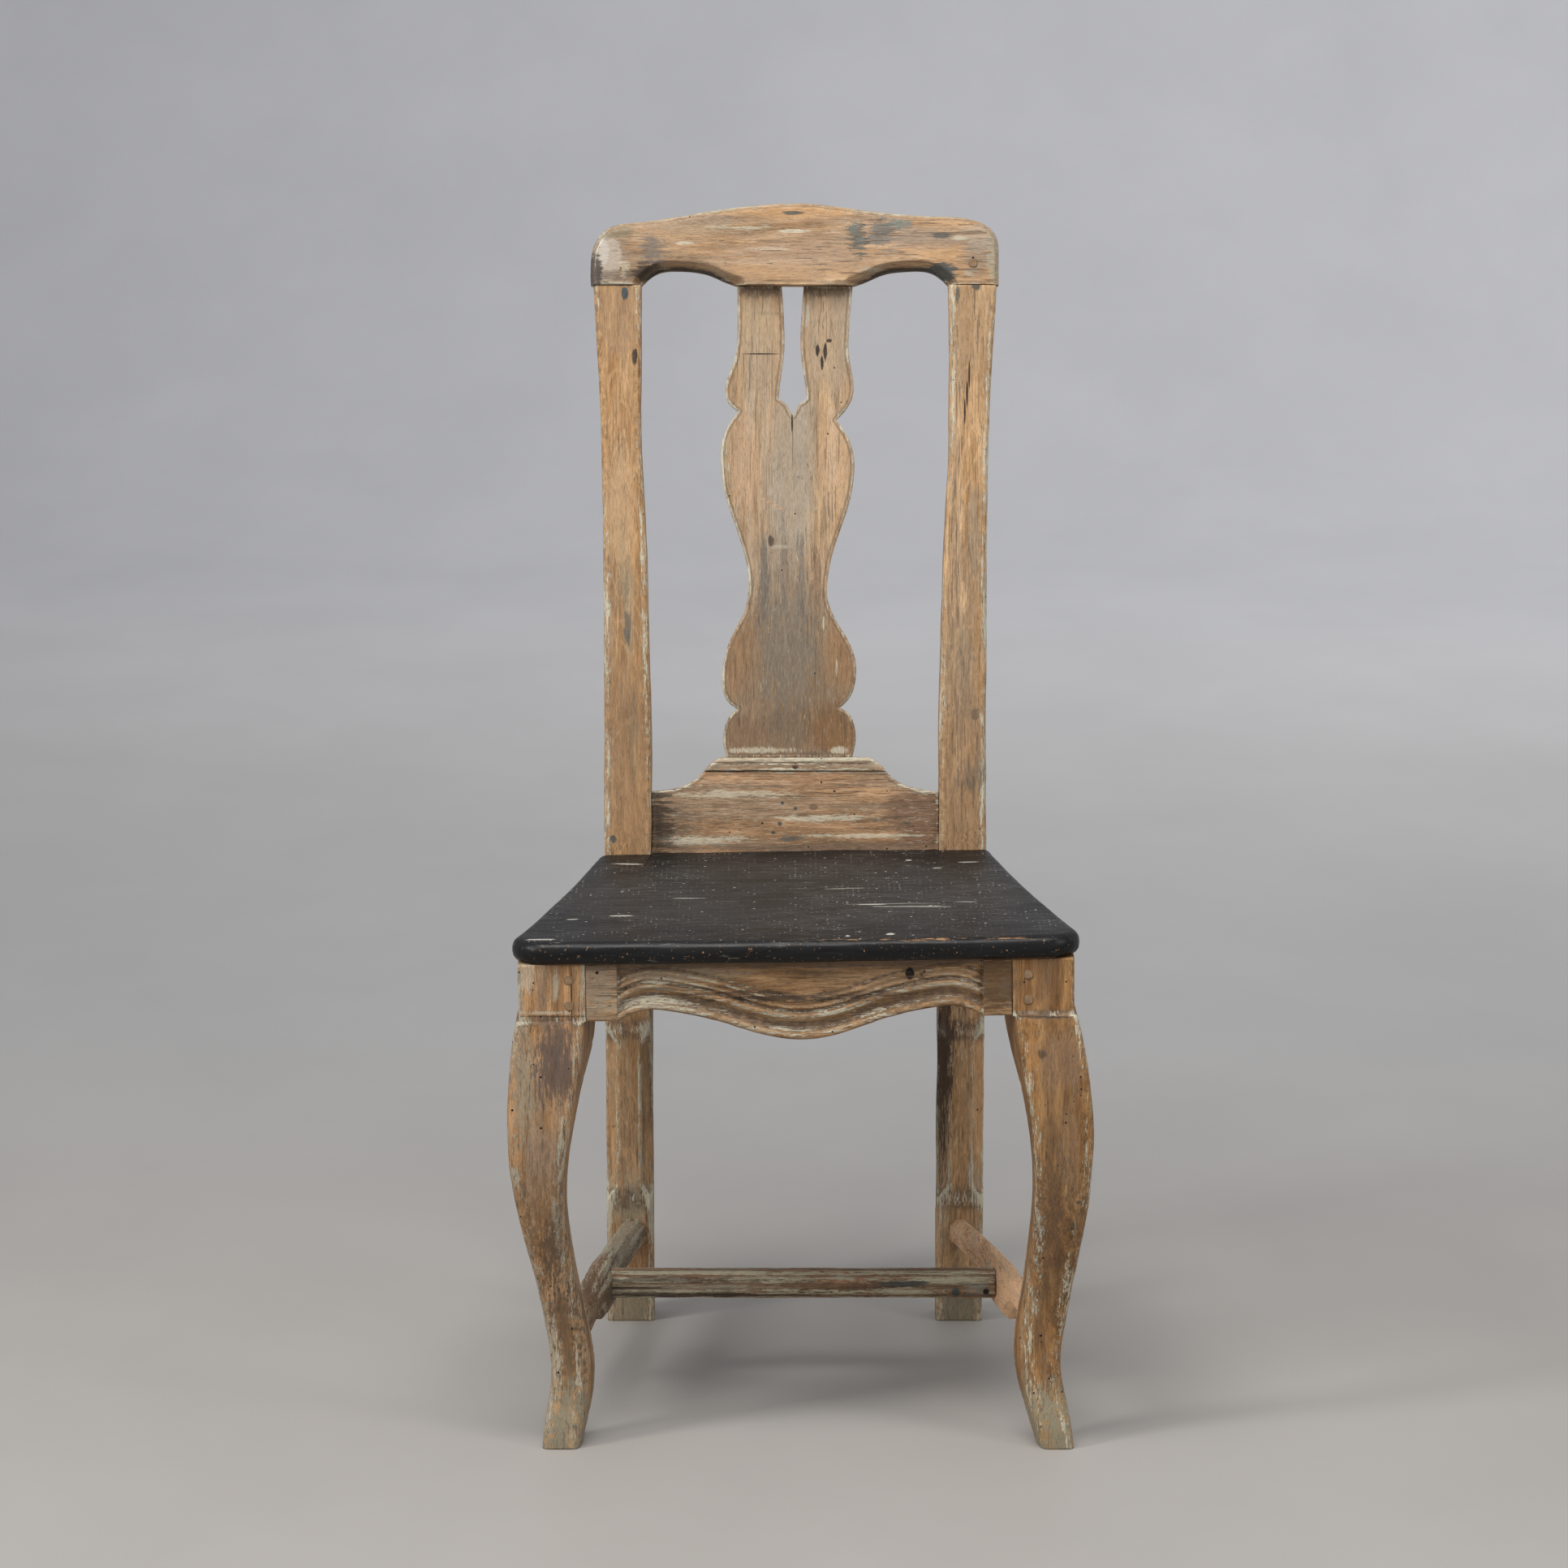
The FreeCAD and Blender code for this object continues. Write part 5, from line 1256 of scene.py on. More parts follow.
FRONT_LEG_WOOD = {
    LEFT: ScrapedWood(
        "left_leg_wood", Grain.UPRIGHT, seed=2.3, light=(0.50, 0.285, 0.135), middle=(0.33, 0.18, 0.08),
        deep=(0.14, 0.076, 0.036), bloom=(0.31, 0.24, 0.17), bloomed=0.45, paint=(0.42, 0.37, 0.275),
        painted=-0.012, holed=0.10, flecked=0.7, stains=LEFT_LEG_STAINS,
    ),
    RIGHT: ScrapedWood(
        "right_leg_wood", Grain.UPRIGHT, seed=5.1, light=(0.40, 0.215, 0.08), middle=(0.25, 0.125, 0.045),
        deep=(0.12, 0.058, 0.022), bloom=(0.25, 0.175, 0.105), bloomed=0.3, paint=CREAM, painted=-0.022,
        holed=0.20, flecked=0.7, stains=RIGHT_LEG_STAINS,
    ),
}
KNEE_DENTS = {
    LEFT: (Dent((-222.0, -262.0, 352.0), (9.0, 30.0, 12.0), 1.2),),
    RIGHT: (Dent((233.0, -262.0, 340.0), (8.0, 30.0, 16.0), 0.8),),
}


@dataclass
class FrontLegs:
    """The two cabriole legs, each in one piece with its square post."""

    post_outer: float = 235.0
    post_inner: dict[int, float] = sided(178.0, 182.0)
    post_front: float = APRON_FRONT
    post_depth: float = 57.0
    post_radii: tuple[float, ...] = (3.0, 2.5, 1.5, 0.7)
    foot_x: dict[int, float] = sided(-207.0, 218.0)
    ledge_round: float = 2.5

    def corners(self, side: int, z: Array) -> tuple[Array, Array]:
        """Corners and corner radii of the sections at these heights.

        Up to the ledge both follow the leg's table. Over the last few millimetres they close in
        on the post by a quarter circle, and above it they are the post's.

        Args:
            side: Which leg.
            z: Heights in the level seat frame.

        Returns:
            Corners (outer front, outer back, inner back, inner front) and their radii.
        """
        inner, depth = self.post_inner[side], self.post_depth
        shared_rows = np.array(LEG_ROWS)
        table = np.column_stack([shared_rows[:, 0], LEG_EDGES[side], shared_rows[:, 1:]])
        row = smooth_through(table, np.minimum(z / LEDGE, 1.0)) * depth
        outer = self.post_outer + row[:, 0]
        inner_front, inner_back = inner + row[:, 1], inner + row[:, 2]
        front, back = self.post_front - row[:, 3], self.post_front + depth - row[:, 4]
        leg = np.stack([
            np.column_stack([outer, front]), np.column_stack([outer, back]),
            np.column_stack([inner_back, back]), np.column_stack([inner_front, front]),
        ], axis=1)
        post = np.array([
            (self.post_outer, self.post_front), (self.post_outer, self.post_front + depth),
            (inner, self.post_front + depth), (inner, self.post_front),
        ])
        share = np.clip((z - LEDGE + self.ledge_round) / self.ledge_round, 0, 1)
        share = (1 - np.sqrt(1 - share**2))[:, None]
        radii = row[:, 5:6] * (1 - share) + np.array(self.post_radii) * share
        corners = leg * (1 - share[..., None]) + post * share[..., None]
        corners[..., 0] *= side
        return corners, radii

    def surface(self, side: int) -> Surface:
        """The leg and post as one tube of sections, its foot level with the floor.

        Args:
            side: Which leg.

        Returns:
            The surface in place.
        """
        foot = RAIL_TOP - (RAIL_TOP + self.foot_x[side] * math.sin(SETTLE)) / math.cos(SETTLE)
        leg = np.linspace(foot, LEDGE - self.ledge_round, 230)
        ledge = LEDGE - self.ledge_round * np.array([0.8, 0.6, 0.4, 0.22, 0.1, 0.03, 0.0])
        z = np.concatenate([leg, ledge, np.linspace(LEDGE + 0.8, RAIL_TOP, 26)])
        loops, edge = rounded_loops(*self.corners(side, z), arc=7, side=12)
        hollow = np.broadcast_to(np.exp(-(((z - LEDGE - 1) / 3.0) ** 2))[:, None], edge.shape)
        return tube(at_places(loops, z, 2), edge, hollow).placed(settled)

    def build(self, side: int) -> Piece:
        """One leg as a piece.

        Args:
            side: Which leg.

        Returns:
            The piece.
        """
        name = SIDE_NAMES[side]
        wear = Wear(20 + side, ALONG_Z, sway=0.6, ripple=0.16, nicks=0.9, dents=KNEE_DENTS[side])
        return make_piece(f"{name}_front_leg", self.surface(side), wear, (f"front_leg_{name}",),
                          FRONT_LEG_WOOD[side])


APRON_STAINS = stained(
    (96, -250, -12, 4.2, 16, 5.5, BLACK, 0.97, 1.0), (-168, -250, -7, 1.5, 9, 1.5, BLACK, 0.95, 0.2),
    # The four dark lines on the next two lines follow the moulding's grooves: dirt and painted shade.
    (-10, -250, -32, 60, 12, 3.0, DIRT_AND_SHADE, 0.85, 6.0), (-60, -250, -27, 60, 12, 2.2, DIRT_AND_SHADE, 0.7, 6.0),
    (50, -250, -29, 50, 12, 1.8, DIRT_AND_SHADE, 0.6, 6.0), (-100, -250, -22, 50, 12, 2.4, DIRT_AND_SHADE, 0.5, 6.0),
    (-168, -250, -20, 14, 14, 28, (0.27, 0.20, 0.135), 0.8),
    (182.5, -250, -20, 1.2, 14, 40, DIRT_AND_SHADE, 0.85, 0.8), (-178.5, -250, -20, 1.2, 14, 40, DIRT_AND_SHADE, 0.85, 0.8),
    (0, -252, 0.5, 240, 14, 2.2, DIRT_AND_SHADE, 0.9, 1.0),
    (172, -250, -16, 20, 14, 30, (0.095, 0.052, 0.024), 0.88), (176, -250, -24, 6, 8, 10, SAGE, 0.7, 5.0),
    # Painted shade: the first stain on the next line, an umber band along the top of the face, darkens it
    # under the seat's overhang.
    (0, -250, -2, 240, 14, 5, UMBER, 0.75, 2.0), (-90, -250, -10, 60, 8, 6, (0.33, 0.27, 0.19), 0.6),
    (60, -250, -16, 60, 8, 8, (0.36, 0.21, 0.10), 0.4), (-130, -250, -32, 44, 8, 9, SAGE, 0.45, 7.0),
)
APRON_WOOD = ScrapedWood(
    "apron_wood", Grain.ACROSS, Stance.SETTLED, 3.7, light=(0.46, 0.28, 0.14), middle=(0.30, 0.17, 0.078),
    deep=(0.14, 0.078, 0.036), bloom=(0.31, 0.235, 0.16), bloomed=0.45, paint=(0.46, 0.41, 0.31),
    painted=0.0, holed=0.05, hollow_darkening=0.95, stains=APRON_STAINS,
)
APRON_DENTS = (
    Dent((106.0, -246.0, 417.0), (1.8, 8.0, 3.2), 3.0),
    Dent((-171.0, -249.6, 415.0), (1.2, 3.0, 1.2), 1.5),
)
# Lower edge from the middle outward: share of the half width, share of the rise
APRON_EDGE = ((0.00, 0.000), (0.20, 0.160), (0.45, 0.610), (0.70, 0.927), (0.80, 1.000), (0.90, 0.930))
# Moulding from the lower edge up: share of its height, share of its depth
MOULDING = (
    (0.000, 0.40), (0.035, 0.16), (0.105, 0.12), (0.150, 0.40), (0.175, 0.80), (0.270, 1.00),
    (0.390, 0.78), (0.480, 0.32), (0.560, 0.25), (0.620, 0.65), (0.670, 0.65), (0.730, 0.22),
    (0.800, 0.50), (0.890, 0.28), (0.960, 0.70), (1.000, 0.75),
)


@dataclass
class Apron:
    """Front seat rail: a carved field with its moulding, and a plain block at each end."""

    face: float = APRON_FRONT
    thickness: float = 27.0
    ends: tuple[float, float] = (-178.0, 182.0)
    field_ends: tuple[float, float] = (-151.0, 158.0)
    hang: float = 18.5
    arch: float = 9.0
    moulding_height: float = 37.0
    moulding_depth: float = 6.5
    wall: float = 0.3
    foot_cut: float = 1.2
    foot_rise: float = 1.6
    full_relief: float = 1.2
    wall_reach: float = 1.5

    def lower_edge(self, x: Array) -> Array:
        """Height of the field's lower edge: a smooth curve, alike on both sides of its middle.

        Args:
            x: Places along the rail.

        Returns:
            Heights above the floor, level.
        """
        low, high = self.field_ends
        middle, half = (low + high) / 2, (high - low) / 2
        rise = self.hang + self.arch
        rows = np.array(APRON_EDGE + ((1.0, self.hang / rise),))
        rows = np.concatenate([rows[:0:-1] * (-1, 1), rows])
        return LEDGE - self.hang + rise * smooth_through(rows, (x - middle) / half)[:, 0]

    def profile(self, heights: Array) -> Array:
        """Depth of the moulding: the profile's broken line, softened over a millimetre.

        Args:
            heights: Heights above the lower edge, evenly spaced.

        Returns:
            Depths behind the block's face.
        """
        rows = np.array(MOULDING) * (self.moulding_height, self.moulding_depth)
        depth = np.interp(heights, rows[:, 0], rows[:, 1])
        kernel = np.exp(-np.linspace(-2, 2, 7) ** 2)
        padded = np.pad(depth, 3, mode="edge")
        return np.convolve(padded, kernel / kernel.sum(), mode="valid")

    def surface(self) -> Surface:
        """The rail as a tube of upright sections from end to end.

        Each section runs up the face, back over the top, down the back and forward underneath.
        The sections on either side of a field end differ, which makes the field's end wall.

        Returns:
            The surface in place.
        """
        low, high = self.field_ends
        stretches = ((self.ends[0], low - self.wall, 18), (low + self.wall, high - self.wall, 290),
                     (high + self.wall, self.ends[1], 18))
        x = np.concatenate([np.linspace(*stretch) for stretch in stretches])
        carved = (x > low) & (x < high)
        up = np.linspace(0, self.moulding_height, 90)
        cut = self.profile(up)
        bottom = np.where(carved, self.lower_edge(np.clip(x, low, high)), LEDGE)
        plain = self.foot_cut * np.clip(1 - up / self.foot_rise, 0, 1) ** 2
        face_depth = np.where(carved[:, None], cut, plain)
        face_height = bottom[:, None] + up
        share = np.linspace(0, 1, 16)[1:]
        upper_height = face_height[:, -1:] * (1 - share) + RAIL_FACE * share
        upper_depth = np.broadcast_to(face_depth[:, -1:], upper_height.shape)
        over = np.linspace(0, 1, 8)[1:]
        top_depth = face_depth[:, -1:] * (1 - over) + self.thickness * over
        top_height = np.full_like(top_depth, RAIL_FACE)
        down = np.linspace(0, 1, 18)[1:]
        back_height = RAIL_FACE * (1 - down) + bottom[:, None] * down
        back_depth = np.full_like(back_height, self.thickness)
        under = np.linspace(0, 1, 10)[1:-1]
        under_depth = self.thickness * (1 - under) + face_depth[:, :1] * under
        under_height = np.broadcast_to(bottom[:, None], under_depth.shape)
        depth = np.concatenate([face_depth, upper_depth, top_depth, back_depth, under_depth], axis=1)
        height = np.concatenate([face_height, upper_height, top_height, back_height, under_height], axis=1)
        across = np.broadcast_to(x[:, None], depth.shape)
        rings = np.stack([across, self.face + depth, height], axis=-1)
        blurred = np.convolve(np.pad(cut, 12, mode="edge"), np.ones(25) / 25, mode="valid")
        relief = np.zeros(depth.shape)
        relief[:, :len(up)] = np.where(carved[:, None], (cut - blurred) / self.full_relief, 0)
        edge = np.clip(-relief, 0, 1)
        ends = np.exp(-((np.minimum(abs(x - low), abs(x - high)) / self.wall_reach) ** 2)) * carved
        hollow = np.clip(np.clip(relief, 0, 1) + ends[:, None], 0, 1)
        return tube(rings, edge, hollow).placed(settled)

    def build(self) -> Piece:
        """The rail as a piece."""
        wear = Wear(31, ALONG_X, sway=0.35, ripple=0.16, nicks=0.6, dents=APRON_DENTS)
        return make_piece("apron", self.surface(), wear, ("front_seat_rail",), APRON_WOOD)


SEAT_BLACK = SeatPaint(scratches=tuple(
    Stain((x, y, 20), (long, wide, 8), CREAM, strength, 3.5) for x, y, long, wide, strength in (
        (66, -106, 13, 1.6, 0.9), (92, -116, 34, 1.5, 0.7), (118, -120, 20, 1.4, 0.9),
        (80, -103, 36, 1.3, 0.5), (150, -98, 9, 1.4, 0.8), (46, -30, 18, 2, 0.5), (103, 104, 3, 3.2, 0.9),
        (-150, 100, 14, 3.2, 0.7), (-192, -152, 6, 1.8, 0.9), (-96, -64, 14, 1.5, 0.6),
        (-150, -140, 8, 1.76, 0.9), (80, -236, 3, 4, 0.9), (44, -240, 2, 3.2, 0.8),
        (-215, -238, 12, 2.4, 0.7), (128, 62, 4, 2.4, 0.8), (156, 88, 9, 2.4, 0.7),
    )
))


@dataclass
class SeatBoard:
    """Black plank seat with a bowed front, round front corners and a worn nosing."""

    front_half: float = 246.0
    rear_half: float = 180.0
    bow: float = 9.0
    side_hollow: float = 4.0
    rear: float = BEND_Y
    tongue_half: float = 130.7
    tongue_rear: float = 155.4
    thickness: float = 20.0
    corner_reach: float = 32.8
    nosing: float = 8.5
    top: float = 450.0

    def outline(self) -> tuple[Array, Array]:
        """Right half of the front edge and the right side.

        The front bows by (x / half)^2, the side hollows by 4 t (1 - t), and a conic rounds the
        corner between them. Both end at the middle of that conic.

        Returns:
            Points from the front's middle to the corner, and from the corner to the rear.
        """
        corner = np.array([self.front_half, SEAT_FRONT + self.bow])
        x = np.linspace(0, self.front_half - self.corner_reach, 90)
        front = np.column_stack([x, SEAT_FRONT + self.bow * (x / self.front_half) ** 2])
        run = self.rear - corner[1]
        t = np.linspace(self.corner_reach / run, 1, 120)
        side_x = corner[0] + (self.rear_half - corner[0]) * t - 4 * self.side_hollow * t * (1 - t)
        side = np.column_stack([side_x, corner[1] + run * t])
        s = np.linspace(0, 1, 41)[:, None]
        weights = [(1 - s) ** 2, 1.35 * s * (1 - s), s**2]
        turn = sum(w * p for w, p in zip(weights, (front[-1], corner, side[0]))) / sum(weights)
        return np.concatenate([front[:-1], turn[:21]]), np.concatenate([turn[20:-1], side])

    def surface(self) -> Surface:
        """The board between its four edges.

        Returns:
            The surface in place.
        """
        half_front, right = self.outline()
        front = np.concatenate([(half_front * (-1, 1))[:0:-1], half_front])
        step = 0.5 - self.tongue_half / (2 * self.rear_half)
        extra = [step - 0.0008, step + 0.0008, 1 - step - 0.0008, 1 - step + 0.0008]
        u = np.sort(np.concatenate([crowded(170, 0.7), extra]))
        v = crowded(140, 0.7)
        rear_x = self.rear_half * (2 * u - 1)
        rear_y = np.where(abs(rear_x) < self.tongue_half, self.tongue_rear, self.rear)
        right = read_along(right, v)
        sheet = coons(read_along(front, u), right, np.column_stack([rear_x, rear_y]), right * (-1, 1), u, v)
        bottom, side, top, other = outline_numbers(sheet.shape[:2])
        nosing, plain = Arris(self.nosing, self.nosing), Arris(0.8, 0.8)
        rims = Rim.alike(nosing, bottom, side, other) + Rim.alike(plain, top)
        flat = board([sheet], rims, self.thickness, wall=4)
        return flat.placed(lambda p: settled(np.column_stack([p[:, 0], p[:, 2], self.top - p[:, 1]])))

    def build(self) -> Piece:
        """The board as a piece."""
        wear = Wear(41, ALONG_X, sway=0.45, ripple=0.10, nicks=0.5)
        return make_piece("seat", self.surface(), wear, ("seat_board",), SEAT_BLACK)


def rectangle(x0: Array, x1: Array, y0: Array, y1: Array, radius: float) -> tuple[Array, Array]:
    """Outlines of four-sided sections with softened corners.

    Args:
        x0: Low first bound of each section.
        x1: High first bound.
        y0: Low second bound.
        y1: High second bound.
        radius: Distance of the arc ends from the corners.

    Returns:
        The points of each outline, and how near each lies to a corner.
    """
    x0, x1, y0, y1 = np.broadcast_arrays(x0, x1, y0, y1)
    corners = np.stack([np.column_stack(pair) for pair in ((x0, y0), (x1, y0), (x1, y1), (x0, y1))], axis=1)
    return rounded_loops(corners, radius, arc=4, side=12)


REAR_RAIL_WOOD = ScrapedWood(
    "hidden_rail_scraped", Grain.ACROSS, Stance.SETTLED, 25.5, light=(0.30, 0.20, 0.125),
    middle=(0.22, 0.14, 0.085), deep=(0.12, 0.075, 0.045), bloom=(0.22, 0.19, 0.14), bloomed=0.6,
    paint=OLIVE, painted=0.04,
)
SIDE_RAIL_WOOD = ScrapedWood(
    "side_rail_wood", Grain.LENGTHWISE, Stance.SETTLED, 27.8, light=(0.40, 0.27, 0.17),
    middle=(0.28, 0.18, 0.105), deep=(0.16, 0.10, 0.055), bloom=(0.29, 0.235, 0.17), bloomed=0.65,
    paint=SAGE, painted=0.03,
)


@dataclass
class SeatRails:
    """The rails at the sides and the rear, under the seat."""

    front: float = -192.58
    rear: float = BEND_Y
    front_x: float = 219.5
    rear_x: float = 158.8
    half: float = 12.5
    rear_thickness: float = 28.0
    rear_half: float = 131.3
    arris: float = 1.8

    def side_surface(self, side: int) -> Surface:
        """One side rail: four-sided sections from the front post to the rear leg.

        Args:
            side: Which rail.

        Returns:
            The surface in place.
        """
        y = np.linspace(self.front, self.rear, 150)
        x = side * np.interp(y, [self.front, self.rear], [self.front_x, self.rear_x])
        loops, edge = rectangle(x - self.half, x + self.half, LEDGE, RAIL_FACE, self.arris)
        return tube(at_places(loops, y, 1), edge).placed(settled)

    def rear_surface(self) -> Surface:
        """The rear rail: four-sided sections between the rear legs.

        Returns:
            The surface in place.
        """
        x = np.linspace(-self.rear_half, self.rear_half, 130)
        near = np.full_like(x, self.rear)
        loops, edge = rectangle(near, near + self.rear_thickness, LEDGE, RAIL_FACE, self.arris)
        return tube(at_places(loops, x, 0), edge).placed(settled)

    def build(self) -> list[Piece]:
        """The three rails as pieces.

        Returns:
            The pieces.
        """
        pieces = [make_piece("rear_rail", self.rear_surface(), Wear(51, ALONG_X), ("rear_seat_rail",),
                             REAR_RAIL_WOOD)]
        for side, name in SIDE_NAMES.items():
            pieces.append(make_piece(f"{name}_side_rail", self.side_surface(side), Wear(53 + side, ALONG_Y),
                                     (f"side_seat_rail_{name}",), SIDE_RAIL_WOOD))
        return pieces


# Rear legs and stretchers


# Share of the post's rise, then how far its outer and inner face move outward, as shares of its width
STILE_EDGE_ROWS = (
    (0.00, 0.000, 0.000), (0.08, 0.000, 0.000), (0.16, 0.000, 0.000), (0.32, 0.003, 0.045),
    (0.50, 0.012, 0.095), (0.62, 0.030, 0.165), (0.72, 0.055, 0.212), (0.84, 0.110, 0.220),
    (1.00, 0.225, 0.200),
)
LEFT_POST_STAINS = stained(
    (-160, 0, 55, 44, 60, 95, (0.33, 0.195, 0.10), 0.5), (-160, 10, 497.4, 30, 40, 1.3, DIRT_AND_SHADE, 0.8, 0.8),
    (-158, 0, 462, 24, 12, 34, (0.30, 0.195, 0.115), 0.6, 2.0), (-155, 0, 484, 3.4, 8, 6, INK, 0.95, 2.0),
    (-156, 0, 110, 20, 8, 90, (0.06, 0.05, 0.04), 0.22, 9.0), (-146, 0, 427, 3.2, 12, 8, DIRT_AND_SHADE, 0.9, 2.4),
    (-157, 0, 235, 6, 8, 30, OLIVE, 0.55, 4.0), (-153, 0, 184, 3, 8, 16, INK, 0.6, 3.0),
    (-152, 0, 205, 5, 10, 60, (0.34, 0.28, 0.19), 0.5), (-147, 0, 90, 5, 8, 40, OLIVE, 0.35, 4.0),
    (-166, 0, -8, 3, 8, 4, INK, 0.85, 2.0), (-160, 0, 290, 14, 10, 60, (0.52, 0.35, 0.20), 0.5),
    (-132, 10, -220, 7, 30, 130, OLIVE, 0.75, 1.8),
    (-152, 0, -232, 16, 16, 130, (0.42, 0.205, 0.08), 0.7),
    (-150, 0, -352, 30, 60, 22, (0.31, 0.28, 0.20), 0.75, 5.0),
    (-150, 0, -460, 60, 80, 36, (0.25, 0.225, 0.155), 0.8, 2.6),
    (-142, 0, -410, 14, 30, 34, (0.20, 0.105, 0.05), 0.7),
)
RIGHT_POST_STAINS = stained(
    (160, 0, 50, 44, 60, 90, (0.30, 0.175, 0.09), 0.55),
    (160, 0, 456, 22, 12, 46, (0.36, 0.235, 0.13), 0.6),
    (160, 0, 110, 20, 8, 90, (0.06, 0.05, 0.04), 0.22, 9.0),
    (160, 10, 497.4, 30, 40, 1.3, DIRT_AND_SHADE, 0.8, 0.8), (158.6, 0, 411, 0.9, 12, 13, DIRT_AND_SHADE, 0.95, 0.5),
    (156.6, 0, 394, 1.1, 12, 12, DIRT_AND_SHADE, 0.95, 0.5), (154.6, 0, 378, 0.9, 12, 12, DIRT_AND_SHADE, 0.95, 0.5),
    (165, 0, 491, 4, 8, 4, INK, 0.8, 2.0), (148, 0, 484, 2, 8, 8, INK, 0.7, 2.0),
    (163, 0, 270, 6, 8, 40, (0.30, 0.235, 0.165), 0.6, 3.0), (154, 0, 240, 5, 8, 30, UMBER, 0.4, 4.0),
    (168, 0, 160, 6, 8, 50, (0.44, 0.24, 0.10), 0.5),
    (153, 0, 150, 6, 8, 50, (0.27, 0.20, 0.13), 0.4, 3.0),
    (160, 0, 20, 30, 8, 34, (0.28, 0.17, 0.09), 0.5, 2.0), (165, 0, 105, 5, 8, 5, UMBER, 0.7, 2.0),
    (160, 0, 50, 14, 8, 16, INK, 0.4, 5.0), (139, -4, -215, 10, 22, 140, (0.055, 0.035, 0.024), 0.9, 2.4),
    (156, -4, -255, 11, 22, 90, (0.38, 0.20, 0.085), 0.6, 2.0),
    (168, 10, -230, 7, 60, 100, (0.44, 0.23, 0.10), 0.6),
    (130, 10, -230, 3, 60, 120, (0.30, 0.28, 0.22), 0.8, 1.5),
    (150, 0, -345, 30, 24, 26, (0.12, 0.10, 0.065), 0.7, 3.4), (168, 0, -345, 8, 30, 30, SAGE, 0.5, 5.0),
    (150, 0, -462, 60, 80, 38, (0.18, 0.165, 0.115), 0.85, 2.6),
    (150, -4, -130, 6, 22, 60, (0.09, 0.055, 0.035), 0.8, 4.0),
)
POST_WOOD = {
    LEFT: ScrapedWood(
        "left_post_wood", Grain.UPRIGHT, Stance.BENT, 7.9, light=(0.52, 0.315, 0.155),
        middle=(0.41, 0.232, 0.103), deep=(0.26, 0.14, 0.06), bloomed=0.32, painted=-0.015, arched=0.6,
        middle_x=-158.0, holed=0.02, lined=0.15, flecked=0.6, stains=LEFT_POST_STAINS,
    ),
    RIGHT: ScrapedWood(
        "right_post_wood", Grain.UPRIGHT, Stance.BENT, 9.4, light=(0.54, 0.35, 0.19),
        middle=(0.42, 0.25, 0.12), deep=(0.25, 0.14, 0.065), bloomed=0.42, painted=-0.01, arched=0.5,
        middle_x=162.0, holed=0.03, lined=0.2, flecked=0.7, stains=RIGHT_POST_STAINS,
    ),
}


